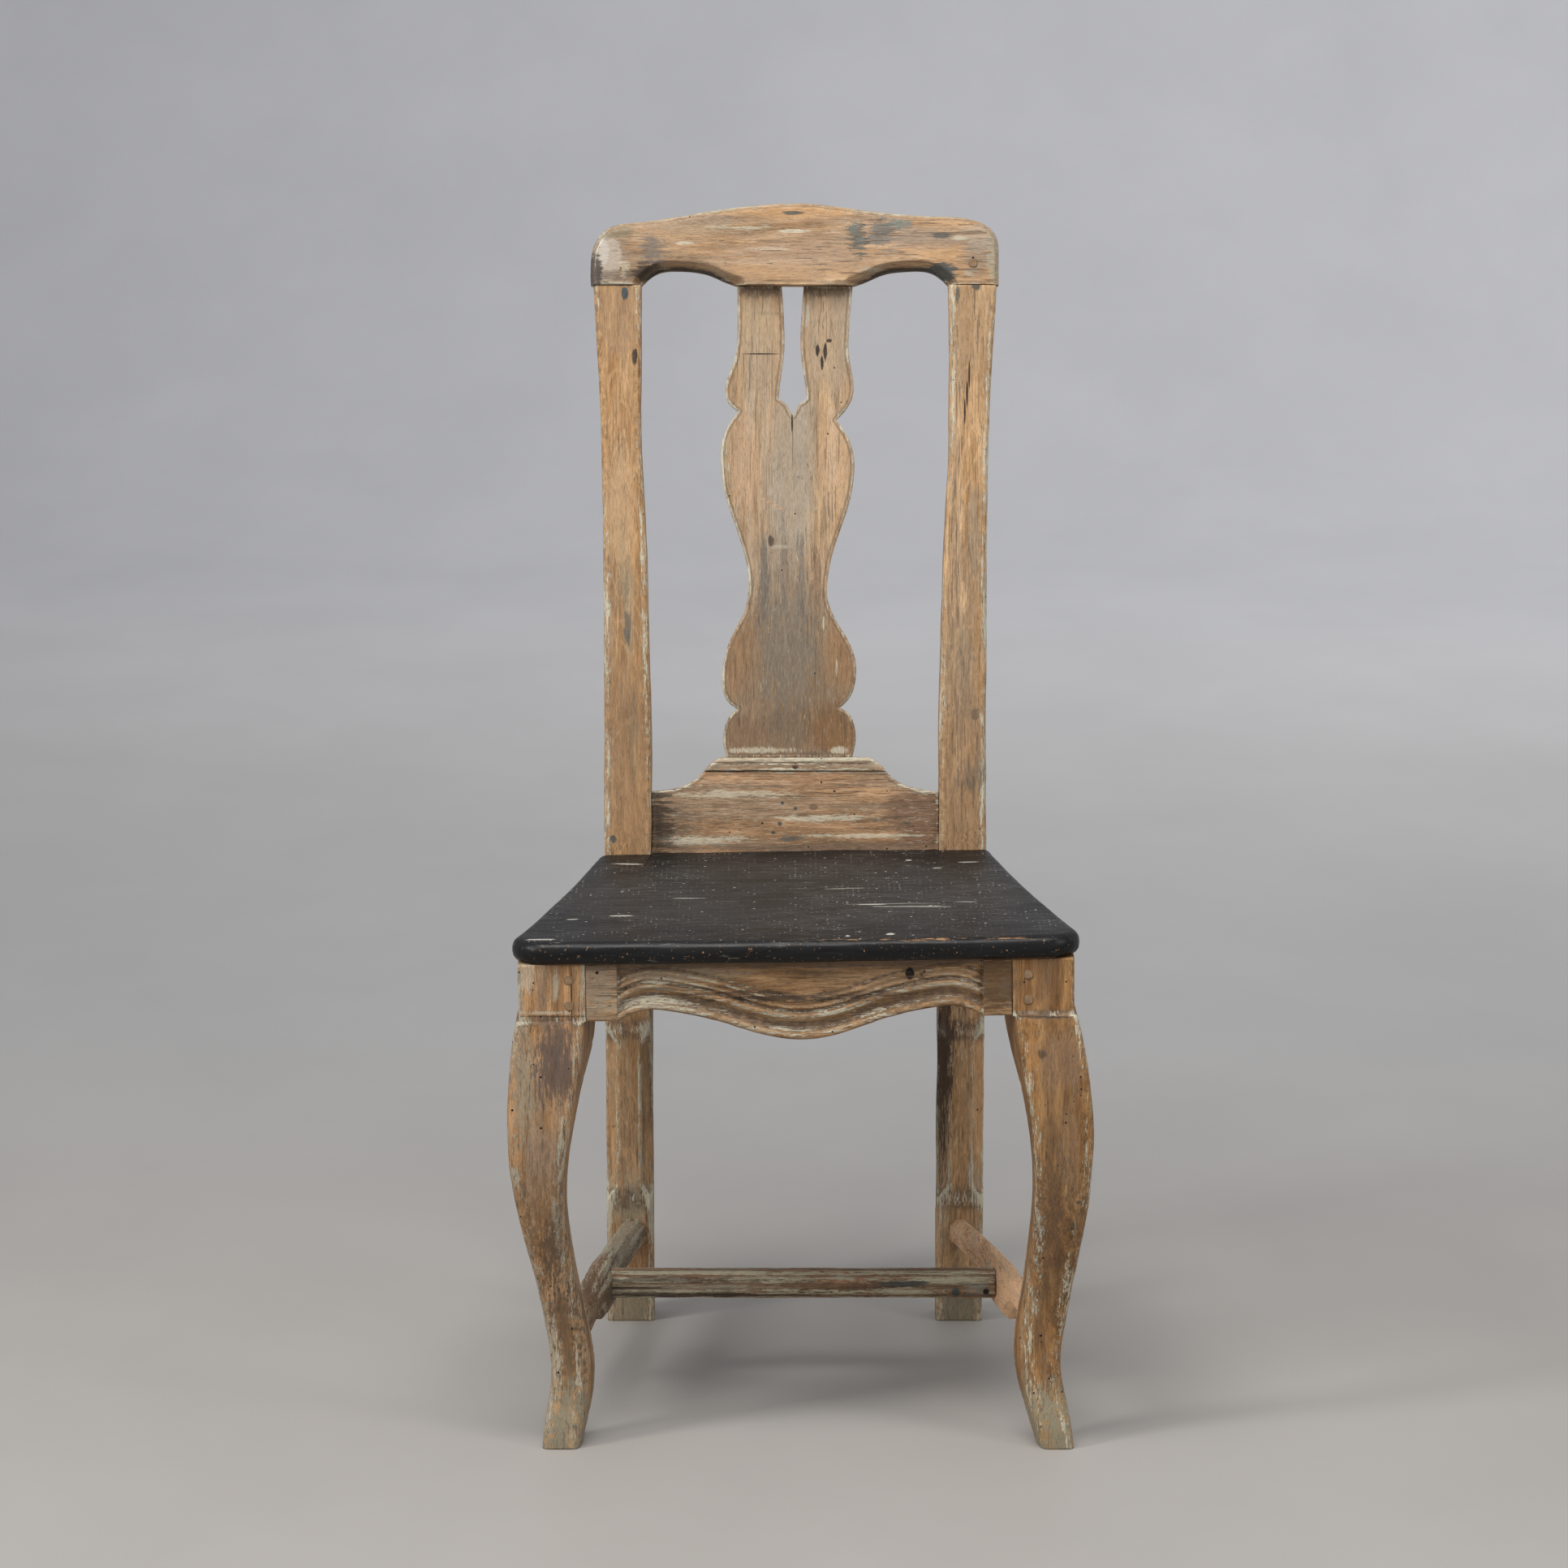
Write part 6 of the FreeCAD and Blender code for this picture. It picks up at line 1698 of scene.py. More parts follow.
@dataclass
class RearLegs:
    """The two rear legs, each in one piece with its leaning back post."""

    outer: float = 174.3
    inner: float = 131.3
    depth: float = 44.0
    top_depth: float = 28.0
    rise: float = POST_RISE
    splay: float = 30.0
    foot_depth: float = 40.0
    straight: float = 330.0
    bend: float = 20.0
    chamfer: float = 11.0
    chamfer_span: tuple[float, float] = (121.0, 284.0)
    chamfer_run: float = 14.0
    arris: float = 2.6
    rear_arris: float = 2.0
    rounding: float = 0.9
    stop_reach: float = 9.0

    def curved(self, z: Array, face: float, splay: float) -> Array:
        """Depth of a face of the lower leg, which is an arc of a circle up to the straight part.

        Args:
            z: Heights.
            face: Depth of the straight part.
            splay: How far the foot stands back from it.

        Returns:
            The depths.
        """
        radius = (self.straight**2 + splay**2) / (2 * splay)
        below = np.clip(self.straight - z, 0, None)
        return face + radius - np.sqrt(radius**2 - below**2)

    def side_line(self, low: float, high: float, face: float, splay: float) -> Array:
        """One face line of the leg and post in the side view, from the floor to the top.

        Below the bend it is the leg's own line. The bend is a parabola, and above it the line
        runs straight between its depths behind the post's face.

        Args:
            low: Depth behind the post's face at the bend.
            high: Depth at the top.
            face: Depth of the leg's straight part.
            splay: How far its foot stands back.

        Returns:
            Rows of y and z.
        """
        z = np.linspace(0, BEND_Z - self.bend, 250)
        leg = np.column_stack([self.curved(z, face, splay), z])
        corner_rise = (face - BEND_Y) * math.sin(RAKE)
        rise = np.linspace(self.bend, self.rise, 260)
        share = (rise - corner_rise) / (self.rise - corner_rise)
        post = leaned(np.column_stack([0 * rise, low + (high - low) * share, rise]))[:, 1:]
        t = np.linspace(0, 1, 14)[1:-1, None]
        turn = (1 - t) ** 2 * leg[-1] + 2 * t * (1 - t) * np.array([face, BEND_Z]) + t**2 * post[0]
        return np.concatenate([leg, turn, post])

    def surface(self, side: int) -> Surface:
        """The leg and post as one tube of sections between its front and back lines.

        A section has eight corners, two at each arris. Their distance is the arris's width, and
        over the chamfer's span the front ones grow to the chamfer's.

        Args:
            side: Which leg.

        Returns:
            The surface in place.
        """
        rear = BEND_Y + self.depth
        front = self.side_line(0, 0, BEND_Y, self.splay)
        flat_depth = self.depth * math.cos(RAKE)
        back = self.side_line(flat_depth, self.top_depth, rear, self.splay + self.foot_depth - self.depth)
        across = back - front
        depth = np.linalg.norm(across, axis=1)
        rise = (front[:, 1] - BEND_Z) / math.cos(RAKE) / self.rise
        out = smooth_through(STILE_EDGE_ROWS, rise) * (self.outer - self.inner)
        outer, inner = self.outer + out[:, 0], self.inner + out[:, 1]
        low, high = self.chamfer_span
        inside = np.minimum(front[:, 1] - low, high - front[:, 1]) / self.chamfer_run
        cut = self.arris + (self.chamfer - self.arris) * np.clip(inside, 0, 1)
        soft = np.full_like(cut, self.rear_arris)
        corners = np.stack([
            np.column_stack(pair) for pair in (
                (outer - cut, 0 * cut), (outer, cut), (outer, depth - soft), (outer - soft, depth),
                (inner + soft, depth), (inner, depth - soft), (inner, cut), (inner + cut, 0 * cut),
            )
        ], axis=1)
        loops, edge = rounded_loops(corners, self.rounding)
        share = (loops[..., 1] / depth[:, None])[..., None]
        line = front[:, None] + across[:, None] * share
        rings = np.concatenate([side * loops[..., :1], line], axis=-1)
        stops = [np.exp(-(((front[:, 1] - place) / self.stop_reach) ** 2)) for place in self.chamfer_span]
        near_front = np.exp(-((loops[..., 1] / self.stop_reach) ** 2))
        return tube(rings, edge, (stops[0] + stops[1])[:, None] * near_front)

    def build(self, side: int) -> Piece:
        """One leg and post as a piece.

        Args:
            side: Which leg.

        Returns:
            The piece.
        """
        name = SIDE_NAMES[side]
        wear = Wear(60 + side, ALONG_Z, sway=0.45, ripple=0.14, nicks=0.8)
        return make_piece(f"{name}_rear_leg", self.surface(side), wear, (f"stile_{name}",),
                          POST_WOOD[side])


def eight_sided(x: Array, z: Array, wide: Array, high: Array, cut: Array) -> Array:
    """Corners of eight-sided sections.

    Args:
        x: Middle of each section.
        z: Middle height of each.
        wide: Half its width.
        high: Half its height.
        cut: What its corners lose.

    Returns:
        Eight corners for each section.
    """
    pairs = ((wide, high - cut), (wide - cut, high), (cut - wide, high), (-wide, high - cut),
             (-wide, cut - high), (cut - wide, -high), (wide - cut, -high), (wide, cut - high))
    return np.stack([np.column_stack([x + across, z + up]) for across, up in pairs], axis=1)


LEFT_BAR_STAINS = stained(
    # Painted shade: the dark brown over the bar's front half, next to the front leg.
    (-184, -70, 100, 30, 70, 40, (0.13, 0.08, 0.045), 0.6),
    (-182, -10, 108, 40, 46, 9, (0.22, 0.12, 0.075), 0.7),
    (-160, 80, 108, 44, 90, 16, (0.44, 0.385, 0.29), 0.85, 4.0),
    (-165, 70, 100, 50, 70, 40, (0.22, 0.19, 0.13), 0.5),
    (-165, -10, 90, 7, 60, 30, (0.10, 0.075, 0.05), 0.8),
)
RIGHT_BAR_STAINS = stained(
    # The pale orange over the bar's front half: the bare pine's own colour, lightened further as painted
    # light where the left lamp falls on it.
    (186, -60, 100, 40, 110, 40, (0.80, 0.49, 0.275), 0.85, 1.2),
    (170, -20, 118, 16, 40, 6, CREAM, 0.4, 7.0),
)
BAR_WOOD = {
    LEFT: ScrapedWood(
        "left_bar_wood", Grain.LENGTHWISE, seed=11.2, light=(0.25, 0.15, 0.08),
        middle=(0.165, 0.095, 0.048), deep=(0.085, 0.048, 0.026), bloom=(0.19, 0.155, 0.10), bloomed=0.5,
        paint=SAGE, painted=0.0, stains=LEFT_BAR_STAINS,
    ),
    RIGHT: ScrapedWood(
        "right_bar_wood", Grain.LENGTHWISE, seed=13.6, light=(0.68, 0.43, 0.26),
        middle=(0.58, 0.345, 0.195), deep=(0.36, 0.19, 0.10), bloom=(0.56, 0.42, 0.30), bloomed=0.3,
        painted=-0.06, flecked=0.1, stains=RIGHT_BAR_STAINS,
    ),
}
CROSS_STAINS = stained(
    (-110, -36, 89, 80, 14, 5, (0.30, 0.265, 0.19), 0.8, 4.0), (-110, -36, 83, 80, 14, 3, DIRT_AND_SHADE, 0.7, 4.0),
    (-90, -36, 97, 90, 14, 2.4, DIRT_AND_SHADE, 0.6, 5.0), (-150, -36, 90, 40, 14, 1.1, DIRT_AND_SHADE, 0.95, 1.0),
    (-40, -36, 83, 60, 14, 1.2, DIRT_AND_SHADE, 0.8, 2.0), (0, -36, 99, 190, 12, 4, (0.34, 0.17, 0.10), 0.7, 4.0),
    (100, -38, 87, 24, 10, 4.5, (0.46, 0.41, 0.29), 0.85, 3.5), (95, -36, 94, 22, 12, 3.0, INK, 0.9, 3.0),
    (143, -38, 86, 3.5, 10, 6, INK, 0.9, 2.0), (165, -38, 88, 13, 10, 9, (0.22, 0.25, 0.22), 0.7, 5.0),
    (170, -38, 87, 3.2, 8, 3.6, BLACK, 0.95, 2.0),
    (60, -38, 80, 130, 10, 3, (0.22, 0.12, 0.07), 0.6, 3.0),
)
CROSS_WOOD = ScrapedWood(
    "cross_bar_wood", Grain.ACROSS, seed=15.8, light=(0.38, 0.22, 0.125), middle=(0.19, 0.11, 0.06),
    deep=(0.06, 0.036, 0.022), bloom=(0.22, 0.18, 0.125), bloomed=0.5, paint=(0.42, 0.375, 0.265),
    painted=0.02, flecked=0.5, lined=0.4, stains=CROSS_STAINS,
)


@dataclass
class Stretchers:
    """The two side stretchers with their thick blocks, and the cross stretcher between them."""

    front: float = -194.15
    rear: float = 168.36
    block: float = -26.58
    block_half: float = 34.0
    ramp: float = 26.0
    end_run: float = 10.0
    front_x: dict[int, float] = sided(190.76, 210.96)
    rear_x: dict[int, float] = sided(149.5, 152.0)
    front_z: dict[int, float] = sided(96.0, 104.0)
    rear_z: float = 89.0
    bow: dict[int, float] = sided(2.5, 4.7)
    half: dict[int, float] = sided(11.5, 9.5)
    block_width: dict[int, float] = sided(12.5, 11.0)
    half_height: float = 13.0
    block_height: float = 20.5
    block_z: float = 87.5
    bar_cut: float = 6.0
    block_cut: float = 7.0
    cross_z: float = 91.5
    cross_half: float = 13.0
    cross_half_height: float = 12.0
    cross_sunk: float = 10.0
    rounding: float = 1.1

    def middle(self, side: int, y: Array | float) -> Array:
        """Middle line of a side stretcher: straight, bowed outward by sin(pi t).

        Args:
            side: Which stretcher.
            y: Depths.

        Returns:
            Distances from the chair's middle.
        """
        t = (y - self.front) / (self.rear - self.front)
        straight = self.front_x[side] + (self.rear_x[side] - self.front_x[side]) * t
        return straight + self.bow[side] * np.sin(np.pi * t)

    def side_surface(self, side: int) -> Surface:
        """One side stretcher: eight-sided sections that swell to the block and back.

        Args:
            side: Which stretcher.

        Returns:
            The surface in place.
        """
        start, slope = self.front_z[side], self.rear_z - self.front_z[side]
        reach = self.block_half + self.ramp
        near = start + slope * (self.block - reach - self.front) / (self.rear - self.front)
        far = start + slope * (self.block + reach - self.front) / (self.rear - self.front)
        bar = (self.half[side], self.half_height, self.bar_cut)
        block = (self.block_width[side], self.block_height, self.block_cut)
        table = np.array([
            (self.front, start, *bar),
            (self.front + self.end_run, start, *bar),
            (self.block - reach, near, *bar),
            (self.block - self.block_half, self.block_z, *block),
            (self.block + self.block_half, self.block_z, *block),
            (self.block + reach, far, *bar),
            (self.rear - self.end_run, self.rear_z, *bar),
            (self.rear, self.rear_z, *bar),
        ])
        y = np.linspace(self.front, self.rear, 240)
        rows = [np.interp(y, table[:, 0], column) for column in table.T[1:]]
        corners = eight_sided(side * self.middle(side, y), *rows)
        loops, edge = rounded_loops(corners, self.rounding)
        return tube(at_places(loops, y, 1), edge)

    def cross_surface(self) -> Surface:
        """The cross stretcher: eight-sided sections from block to block.

        Returns:
            The surface in place.
        """
        ends = [side * (self.middle(side, self.block) - self.cross_sunk) for side in SIDE_NAMES]
        x = np.linspace(*ends, 230)
        sizes = (self.block, self.cross_z, self.cross_half, self.cross_half_height, self.bar_cut)
        loops, edge = rounded_loops(eight_sided(*[np.full_like(x, size) for size in sizes]), self.rounding)
        return tube(at_places(loops, x, 0), edge)

    def build(self) -> list[Piece]:
        """The three stretchers as pieces.

        Returns:
            The pieces.
        """
        wear = Wear(71, ALONG_X, sway=0.4, ripple=0.16, nicks=0.9)
        pieces = [make_piece("cross_bar", self.cross_surface(), wear, ("cross_stretcher",),
                             CROSS_WOOD)]
        for side, name in SIDE_NAMES.items():
            wear = Wear(73 + side, ALONG_Y, sway=0.5, ripple=0.18, nicks=0.9)
            node = (f"side_stretcher_{name}",)
            pieces.append(make_piece(f"{name}_bar", self.side_surface(side), wear, node,
                                     BAR_WOOD[side]))
        return pieces


# Back


# Top line from each end to the middle: share of the half length, share of the peak
CREST_TOP = {
    LEFT: ((1.000, 0.00), (1.000, 0.22), (0.980, 0.50), (0.925, 0.675), (0.770, 0.768), (0.470, 0.880),
           (0.185, 0.974)),
    RIGHT: ((1.000, 0.00), (1.000, 0.33), (0.978, 0.635), (0.900, 0.775), (0.690, 0.842), (0.385, 0.905),
            (0.150, 0.982)),
}
# Arch from its inner foot outward: share of its width, share of its rise
ARCH = ((0.00, 0.00), (0.12, 0.28), (0.30, 0.76), (0.58, 1.00), (0.84, 0.82), (1.00, 0.00))
CREST_STAINS = stained(
    (0, -1, 562.9, 75, 20, 5, ORANGE, 0.6), (-20, -1, 509.9, 80, 14, 7, (0.48, 0.29, 0.15), 0.6),
    (0, -1, 527.9, 66, 12, 9, (0.36, 0.25, 0.18), 0.55), (130, -1, 528.9, 34, 12, 8, ORANGE, 0.45),
    (-110, -1, 545.9, 40, 12, 8, (0.46, 0.30, 0.17), 0.6),
    (-168, -6, 514, 20, 40, 30, (0.26, 0.185, 0.13), 0.6, 2.0),
    # Painted highlight: the two pale soft patches on the next two lines stand in for the sheen on the left
    # shoulder.
    (-172, -1, 522, 15, 30, 22, (0.50, 0.43, 0.35), 0.65, 0.6),
    (-176, -1, 527, 7, 30, 13, (0.56, 0.52, 0.47), 0.6, 0.5),
    (-184, -2, 507, 9, 14, 20, (0.05, 0.035, 0.03), 0.9, 1.8),
    (-176, 0, 515, 20, 30, 26, (0.30, 0.25, 0.20), 0.15, 1.4, 0.8),
    (-164, -6, 546, 18, 30, 7, OLIVE, 0.8, 2.4), (-183, 6, 530, 6, 14, 16, OLIVE, 0.8, 2.4),
    # Painted shade: the two dark patches on the next line darken the arches' bevels and underside.
    (-97, 15, 505, 50, 9, 20, DIRT_AND_SHADE, 0.9, 1.2), (97, 15, 505, 50, 9, 20, DIRT_AND_SHADE, 0.9, 1.2),
    (-160, 10, 496.6, 30, 40, 1.3, DIRT_AND_SHADE, 0.85, 0.8), (160, 10, 496.6, 30, 40, 1.3, DIRT_AND_SHADE, 0.85, 0.8),
    (-130, -1, 526, 11, 14, 17, (0.15, 0.13, 0.115), 0.75, 6.0),
    (-137, -1, 509.9, 7, 14, 9, UMBER, 0.7, 3.0), (-160, -1, 505.9, 22, 14, 5, UMBER, 0.7, 3.0),
    (-155, -1, 511.9, 5, 12, 7, CREAM, 0.45, 4.0), (-52, -1, 548.9, 24, 12, 2.2, CREAM, 0.7, 6.0),
    (-1, -1, 545.9, 15, 12, 1.7, CREAM, 0.85, 1.6), (-101, -1, 534.9, 9, 12, 1.6, CREAM, 0.8, 2.0),
    (-20, -1, 529.9, 20, 12, 1.6, CREAM, 0.4, 3.0), (-2, -1, 562.4, 9, 12, 1.6, INK, 0.8, 2.0),
    (57, -1, 541.9, 8, 12, 18, INK, 0.75, 6.0), (54, -1, 549, 4, 12, 6, (0.45, 0.42, 0.33), 0.9, 5.0),
    (59, -1, 537, 4, 12, 7, (0.45, 0.42, 0.33), 0.9, 5.0),
    (80, -1, 543.9, 14, 12, 14, (0.11, 0.12, 0.125), 0.75, 6.0),
    (94, -1, 552.9, 14, 12, 4.5, (0.16, 0.19, 0.17), 0.8, 3.0),
    (135, -1, 541.9, 12, 12, 2.6, INK, 0.7, 3.0),
    (120, -1, 538.9, 40, 12, 9, (0.24, 0.20, 0.165), 0.5, 3.0),
    (150, -1, 539.9, 9, 12, 2.6, CREAM, 0.75, 3.0), (158, -1, 508.9, 7, 12, 4, SAGE, 0.75, 4.0),
    (165, -1, 520.9, 12, 12, 16, (0.27, 0.205, 0.15), 0.6, 2.4),
    (181, -6, 522, 6, 30, 30, (0.34, 0.31, 0.23), 0.75, 3.0),
    (72, -1, 510.9, 14, 12, 2.2, CREAM, 0.7, 3.0),
    (-80, -4, 502, 26, 26, 12, (0.30, 0.255, 0.18), 0.6, 2.0),
    (80, -4, 502, 26, 26, 12, (0.30, 0.255, 0.18), 0.55, 2.0),
    (-142, 0, 508, 14, 26, 5, UMBER, 0.75, 2.0), (132, 4, 508, 18, 16, 9, INK, 0.9, 2.4),
    (-134, 6, 508, 16, 16, 9, DIRT_AND_SHADE, 0.8, 2.4), (170, -1, 540, 18, 12, 14, (0.36, 0.32, 0.26), 0.45, 3.0),
    (40, -1, 520, 70, 12, 12, (0.34, 0.235, 0.155), 0.4, 4.0),
    (-90, -1, 552, 50, 12, 8, (0.30, 0.235, 0.17), 0.45, 6.0),
)
CREST_WOOD = ScrapedWood(
    "crest_scraped", Grain.ACROSS, Stance.LEANING, 17.3, light=(0.53, 0.345, 0.20),
    middle=(0.40, 0.245, 0.13), deep=(0.27, 0.16, 0.082), bloom=(0.38, 0.30, 0.225), bloomed=0.4,
    paint=(0.46, 0.42, 0.31), painted=0.0, holed=0.02, lined=0.3, flecked=0.6, stains=CREST_STAINS,
)


@dataclass
class Crest:
    """Top rail that caps the posts, with round shoulders and two bevelled arches below."""

    half_length: float = 185.98
    peak: float = 74.5
    thickness: float = 30.0
    proud: float = 1.0
    rise: float = POST_RISE
    arch_inner: float = 54.0
    arch_outer: float = 139.9
    arch_rise: float = 13.4
    shoulder: float = 45.0
    rim: Arris = Arris(7.0, 7.0)
    bevel: Arris = Arris(8.5, 12.0, 1.0)
    plain: Arris = Arris(1.0, 1.0)

    def top_line(self) -> Array:
        """Outline over the top, from the left end's foot to the right end's.

        Returns:
            Rows of x and height above the posts.
        """
        size = np.array([self.half_length, self.peak])
        left = np.array(CREST_TOP[LEFT]) * size * (-1, 1)
        right = np.array(CREST_TOP[RIGHT]) * size
        return curve_points(np.concatenate([left, [[0, self.peak]], right[::-1]]), 900)

    def lower_line(self) -> Array:
        """Underside from end to end: flat over the posts and the splat, arched between.

        Returns:
            Rows of x and height above the posts.
        """
        rows = np.array(ARCH)
        x = self.arch_inner + (self.arch_outer - self.arch_inner) * rows[:, 0]
        arch = curve_points(np.column_stack([x, rows[:, 1] * self.arch_rise]), 120)
        over_post = np.linspace(self.arch_outer, self.half_length, 40)[1:]
        over_splat = np.linspace(-self.arch_inner, self.arch_inner, 80)[1:-1]
        right = np.concatenate([arch, np.column_stack([over_post, np.zeros_like(over_post)])])
        middle = np.column_stack([over_splat, np.zeros_like(over_splat)])
        return np.concatenate([(right * (-1, 1))[::-1], middle, right])

    def surface(self) -> Surface:
        """The rail between its four edges, its arrises worked along each.

        Returns:
            The surface in place.
        """
        top = self.top_line()
        low = [np.flatnonzero((top[:, 1] > self.shoulder) & (top[:, 0] * side > 0)) for side in SIDE_NAMES]
        first, last = low[0][0], low[1][-1]
        u, v = crowded(300, 0.6), crowded(46, 0.8)
        bottom = read_along(self.lower_line(), u)
        sheet = coons(bottom, read_along(top[last:][::-1], v), read_along(top[first:last + 1], u),
                      read_along(top[:first + 1], v), u, v)
        under, right, over, left = outline_numbers(sheet.shape[:2])
        away = abs(bottom[:, 0])
        rims = Rim.alike(self.rim, right, over, left)
        for side in SIDE_NAMES:
            on_side = bottom[:, 0] * side > 0
            arched = (away > self.arch_inner - 1) & (away < self.arch_outer + 1) & on_side
            rims.append(Rim(under[arched], self.bevel, self.plain))
            rims += Rim.alike(self.plain, under[(away > self.arch_outer) & on_side])
        rims += Rim.alike(self.plain, under[away < self.arch_inner + 1])
        flat = board([sheet], rims, self.thickness, wall=8)
        return flat.placed(lambda p: leaned(p + (0, -self.proud, self.rise)))

    def build(self) -> Piece:
        """The rail as a piece."""
        wear = Wear(81, ALONG_X, sway=0.5, ripple=0.12, nicks=0.5)
        return make_piece("crest", self.surface(), wear, ("crest_rail",), CREST_WOOD)


# Each edge in stretches from notch to notch: share of the height, share of the half width
SPLAT_EDGES = {
    LEFT: (
        ((0.000, 0.92), (0.030, 0.97), (0.065, 0.945), (0.090, 0.86), (0.102, 0.76)),
        ((0.102, 0.76), (0.122, 0.92), (0.152, 0.985), (0.186, 0.98), (0.225, 0.93), (0.270, 0.80),
         (0.310, 0.66), (0.355, 0.600), (0.403, 0.617), (0.453, 0.705), (0.503, 0.82), (0.553, 0.937),
         (0.611, 1.000), (0.662, 1.000), (0.695, 0.935), (0.734, 0.75)),
        ((0.734, 0.75), (0.752, 0.895), (0.774, 0.940), (0.799, 0.92), (0.837, 0.82), (0.896, 0.76),
         (1.000, 0.763)),
    ),
    RIGHT: (
        ((0.000, 0.93), (0.040, 0.984), (0.070, 0.96), (0.095, 0.87), (0.105, 0.75)),
        ((0.105, 0.75), (0.128, 0.90), (0.160, 0.970), (0.194, 0.984), (0.232, 0.92), (0.265, 0.80),
         (0.303, 0.645), (0.335, 0.565), (0.378, 0.565), (0.428, 0.63), (0.474, 0.73), (0.520, 0.842),
         (0.562, 0.919), (0.611, 0.960), (0.645, 0.948), (0.690, 0.83), (0.716, 0.70)),
        ((0.716, 0.70), (0.738, 0.84), (0.765, 0.935), (0.800, 0.942), (0.853, 0.88), (0.900, 0.878),
         (1.000, 0.935)),
    ),
}
# The slit's point and its edge above that: share of the height, share of its half width
SLIT_POINT = ((0.726, 0.00), (0.738, 0.24), (0.749, 0.42), (0.762, 1.00))
SLIT_EDGE = ((0.762, 1.00), (0.800, 0.88), (0.845, 0.66), (0.915, 0.62), (1.000, 0.80))
PRONG_DENTS = (Dent(tuple(leaned((26.0, 14.0, 432.0))), (3.5, 9.0, 6.0), 1.0),)
SPLAT_STAINS = stained(
    (-5, 14, 120, 85, 12, 115, (0.22, 0.135, 0.072), 0.7, 1.5),
    (-3, 14, 325.1, 22, 10, 90, (0.38, 0.335, 0.27), 0.5, 3.0),
    (36, 14, 335.1, 13, 10, 45, (0.54, 0.345, 0.20), 0.6),
    (-45, 14, 330.1, 12, 10, 50, (0.50, 0.33, 0.21), 0.5),
    (-5, 14, 225, 70, 12, 44, (0.25, 0.195, 0.15), 0.25, 2.0),
    (-28, 14, 228, 5, 12, 40, (0.13, 0.12, 0.105), 0.7, 6.0),
    (6, 14, 215, 5, 12, 44, (0.15, 0.14, 0.12), 0.6, 6.0),
    (-10, 14, 240, 4, 12, 34, (0.17, 0.13, 0.10), 0.6, 6.0),
    (20, 14, 232, 4, 12, 30, (0.20, 0.125, 0.075), 0.6, 6.0),
    (-6, 14, 165.1, 26, 12, 60, (0.235, 0.20, 0.155), 0.65, 4.0),
    (-55, 14, 160.1, 20, 10, 34, (0.30, 0.175, 0.09), 0.65),
    (46, 14, 160.1, 20, 10, 34, (0.34, 0.19, 0.09), 0.65),
    (38, 14, 92.1, 30, 12, 24, (0.22, 0.115, 0.045), 0.8),
    (-50, 14, 88.1, 26, 12, 18, (0.22, 0.135, 0.08), 0.75),
    (-5, 14, 90.1, 20, 12, 26, (0.19, 0.135, 0.09), 0.6), (0, 14, 66.1, 80, 12, 7, UMBER, 0.7),
    # Painted shade: the two umber patches on the next line darken the prongs' tops under the crest.
    (-33, 14, 495.1, 24, 20, 9, UMBER, 0.85, 2.4), (30, 14, 495.1, 24, 20, 9, UMBER, 0.8, 2.4),
    (-31, 14, 435.1, 17, 8, 0.7, DIRT_AND_SHADE, 0.9, 0.5), (-24, 14, 472.1, 12, 8, 2.0, OLIVE, 0.6, 2.0),
    (24, 14, 430.1, 10, 8, 16, (0.55, 0.39, 0.26), 0.4), (20.5, 14, 438.1, 2.2, 8, 6, DIRT_AND_SHADE, 0.95, 2.0),
    (27.5, 14, 436.1, 2.0, 8, 8, DIRT_AND_SHADE, 0.95, 2.0), (24.5, 14, 427.1, 1.7, 8, 7, DIRT_AND_SHADE, 0.95, 1.6),
    (31, 14, 447.1, 2.6, 8, 1.8, DIRT_AND_SHADE, 0.9, 1.2),
    (9.5, 14, 470.1, 3.6, 8, 12, (0.38, 0.36, 0.29), 0.7, 2.0),
    (-29, 14, 303, 3.4, 8, 1.2, (0.56, 0.34, 0.19), 0.5, 1.0),
    (-24, 14, 300, 3.4, 8, 1.2, (0.56, 0.34, 0.19), 0.5, 1.0),
    (-19, 14, 297, 3.4, 8, 1.2, (0.56, 0.34, 0.19), 0.5, 1.0),
    (-14, 14, 294, 3.4, 8, 1.2, (0.56, 0.34, 0.19), 0.5, 1.0),
    (-5, 14, 130, 60, 12, 75, (0.06, 0.05, 0.045), 0.25, 9.0),
    (-33, 14, 445, 22, 10, 46, (0.36, 0.265, 0.17), 0.55, 2.0),
    (32, 14, 445, 22, 10, 46, (0.35, 0.265, 0.18), 0.55, 2.0),
    (-22, 14, 264.1, 3.4, 8, 5, DIRT_AND_SHADE, 0.7, 3.0), (-14, 14, 259.1, 10, 8, 2, SAGE, 0.85, 3.0),
    (-2.7, 14, 373.1, 0.9, 8, 10, DIRT_AND_SHADE, 0.95, 0.5), (-2.2, 14, 350.1, 0.5, 8, 24, UMBER, 0.7, 0.4),
    (-33, 14, 73.1, 34, 8, 2.6, CREAM, 0.8, 5.0), (40, 14, 73.1, 8, 8, 4, CREAM, 0.85, 3.0),
    (38, 14, 148.1, 1.0, 8, 8, CREAM, 0.85, 1.0), (26, 14, 189.1, 1.0, 8, 7, CREAM, 0.85, 1.0),
    (45, 14, 200.1, 3, 8, 12, CREAM, 0.6, 4.0),
)
SPLAT_WOOD = ScrapedWood(
    "splat_scraped", Grain.UPRIGHT, Stance.LEANING, 19.6, light=(0.53, 0.365, 0.22),
    middle=(0.42, 0.275, 0.155), deep=(0.29, 0.185, 0.10), bloom=(0.40, 0.34, 0.26), bloomed=0.5,
    painted=0.0, arched=0.2, middle_x=8.0, holed=0.02, lined=0.55, flecked=0.6, stains=SPLAT_STAINS,
)


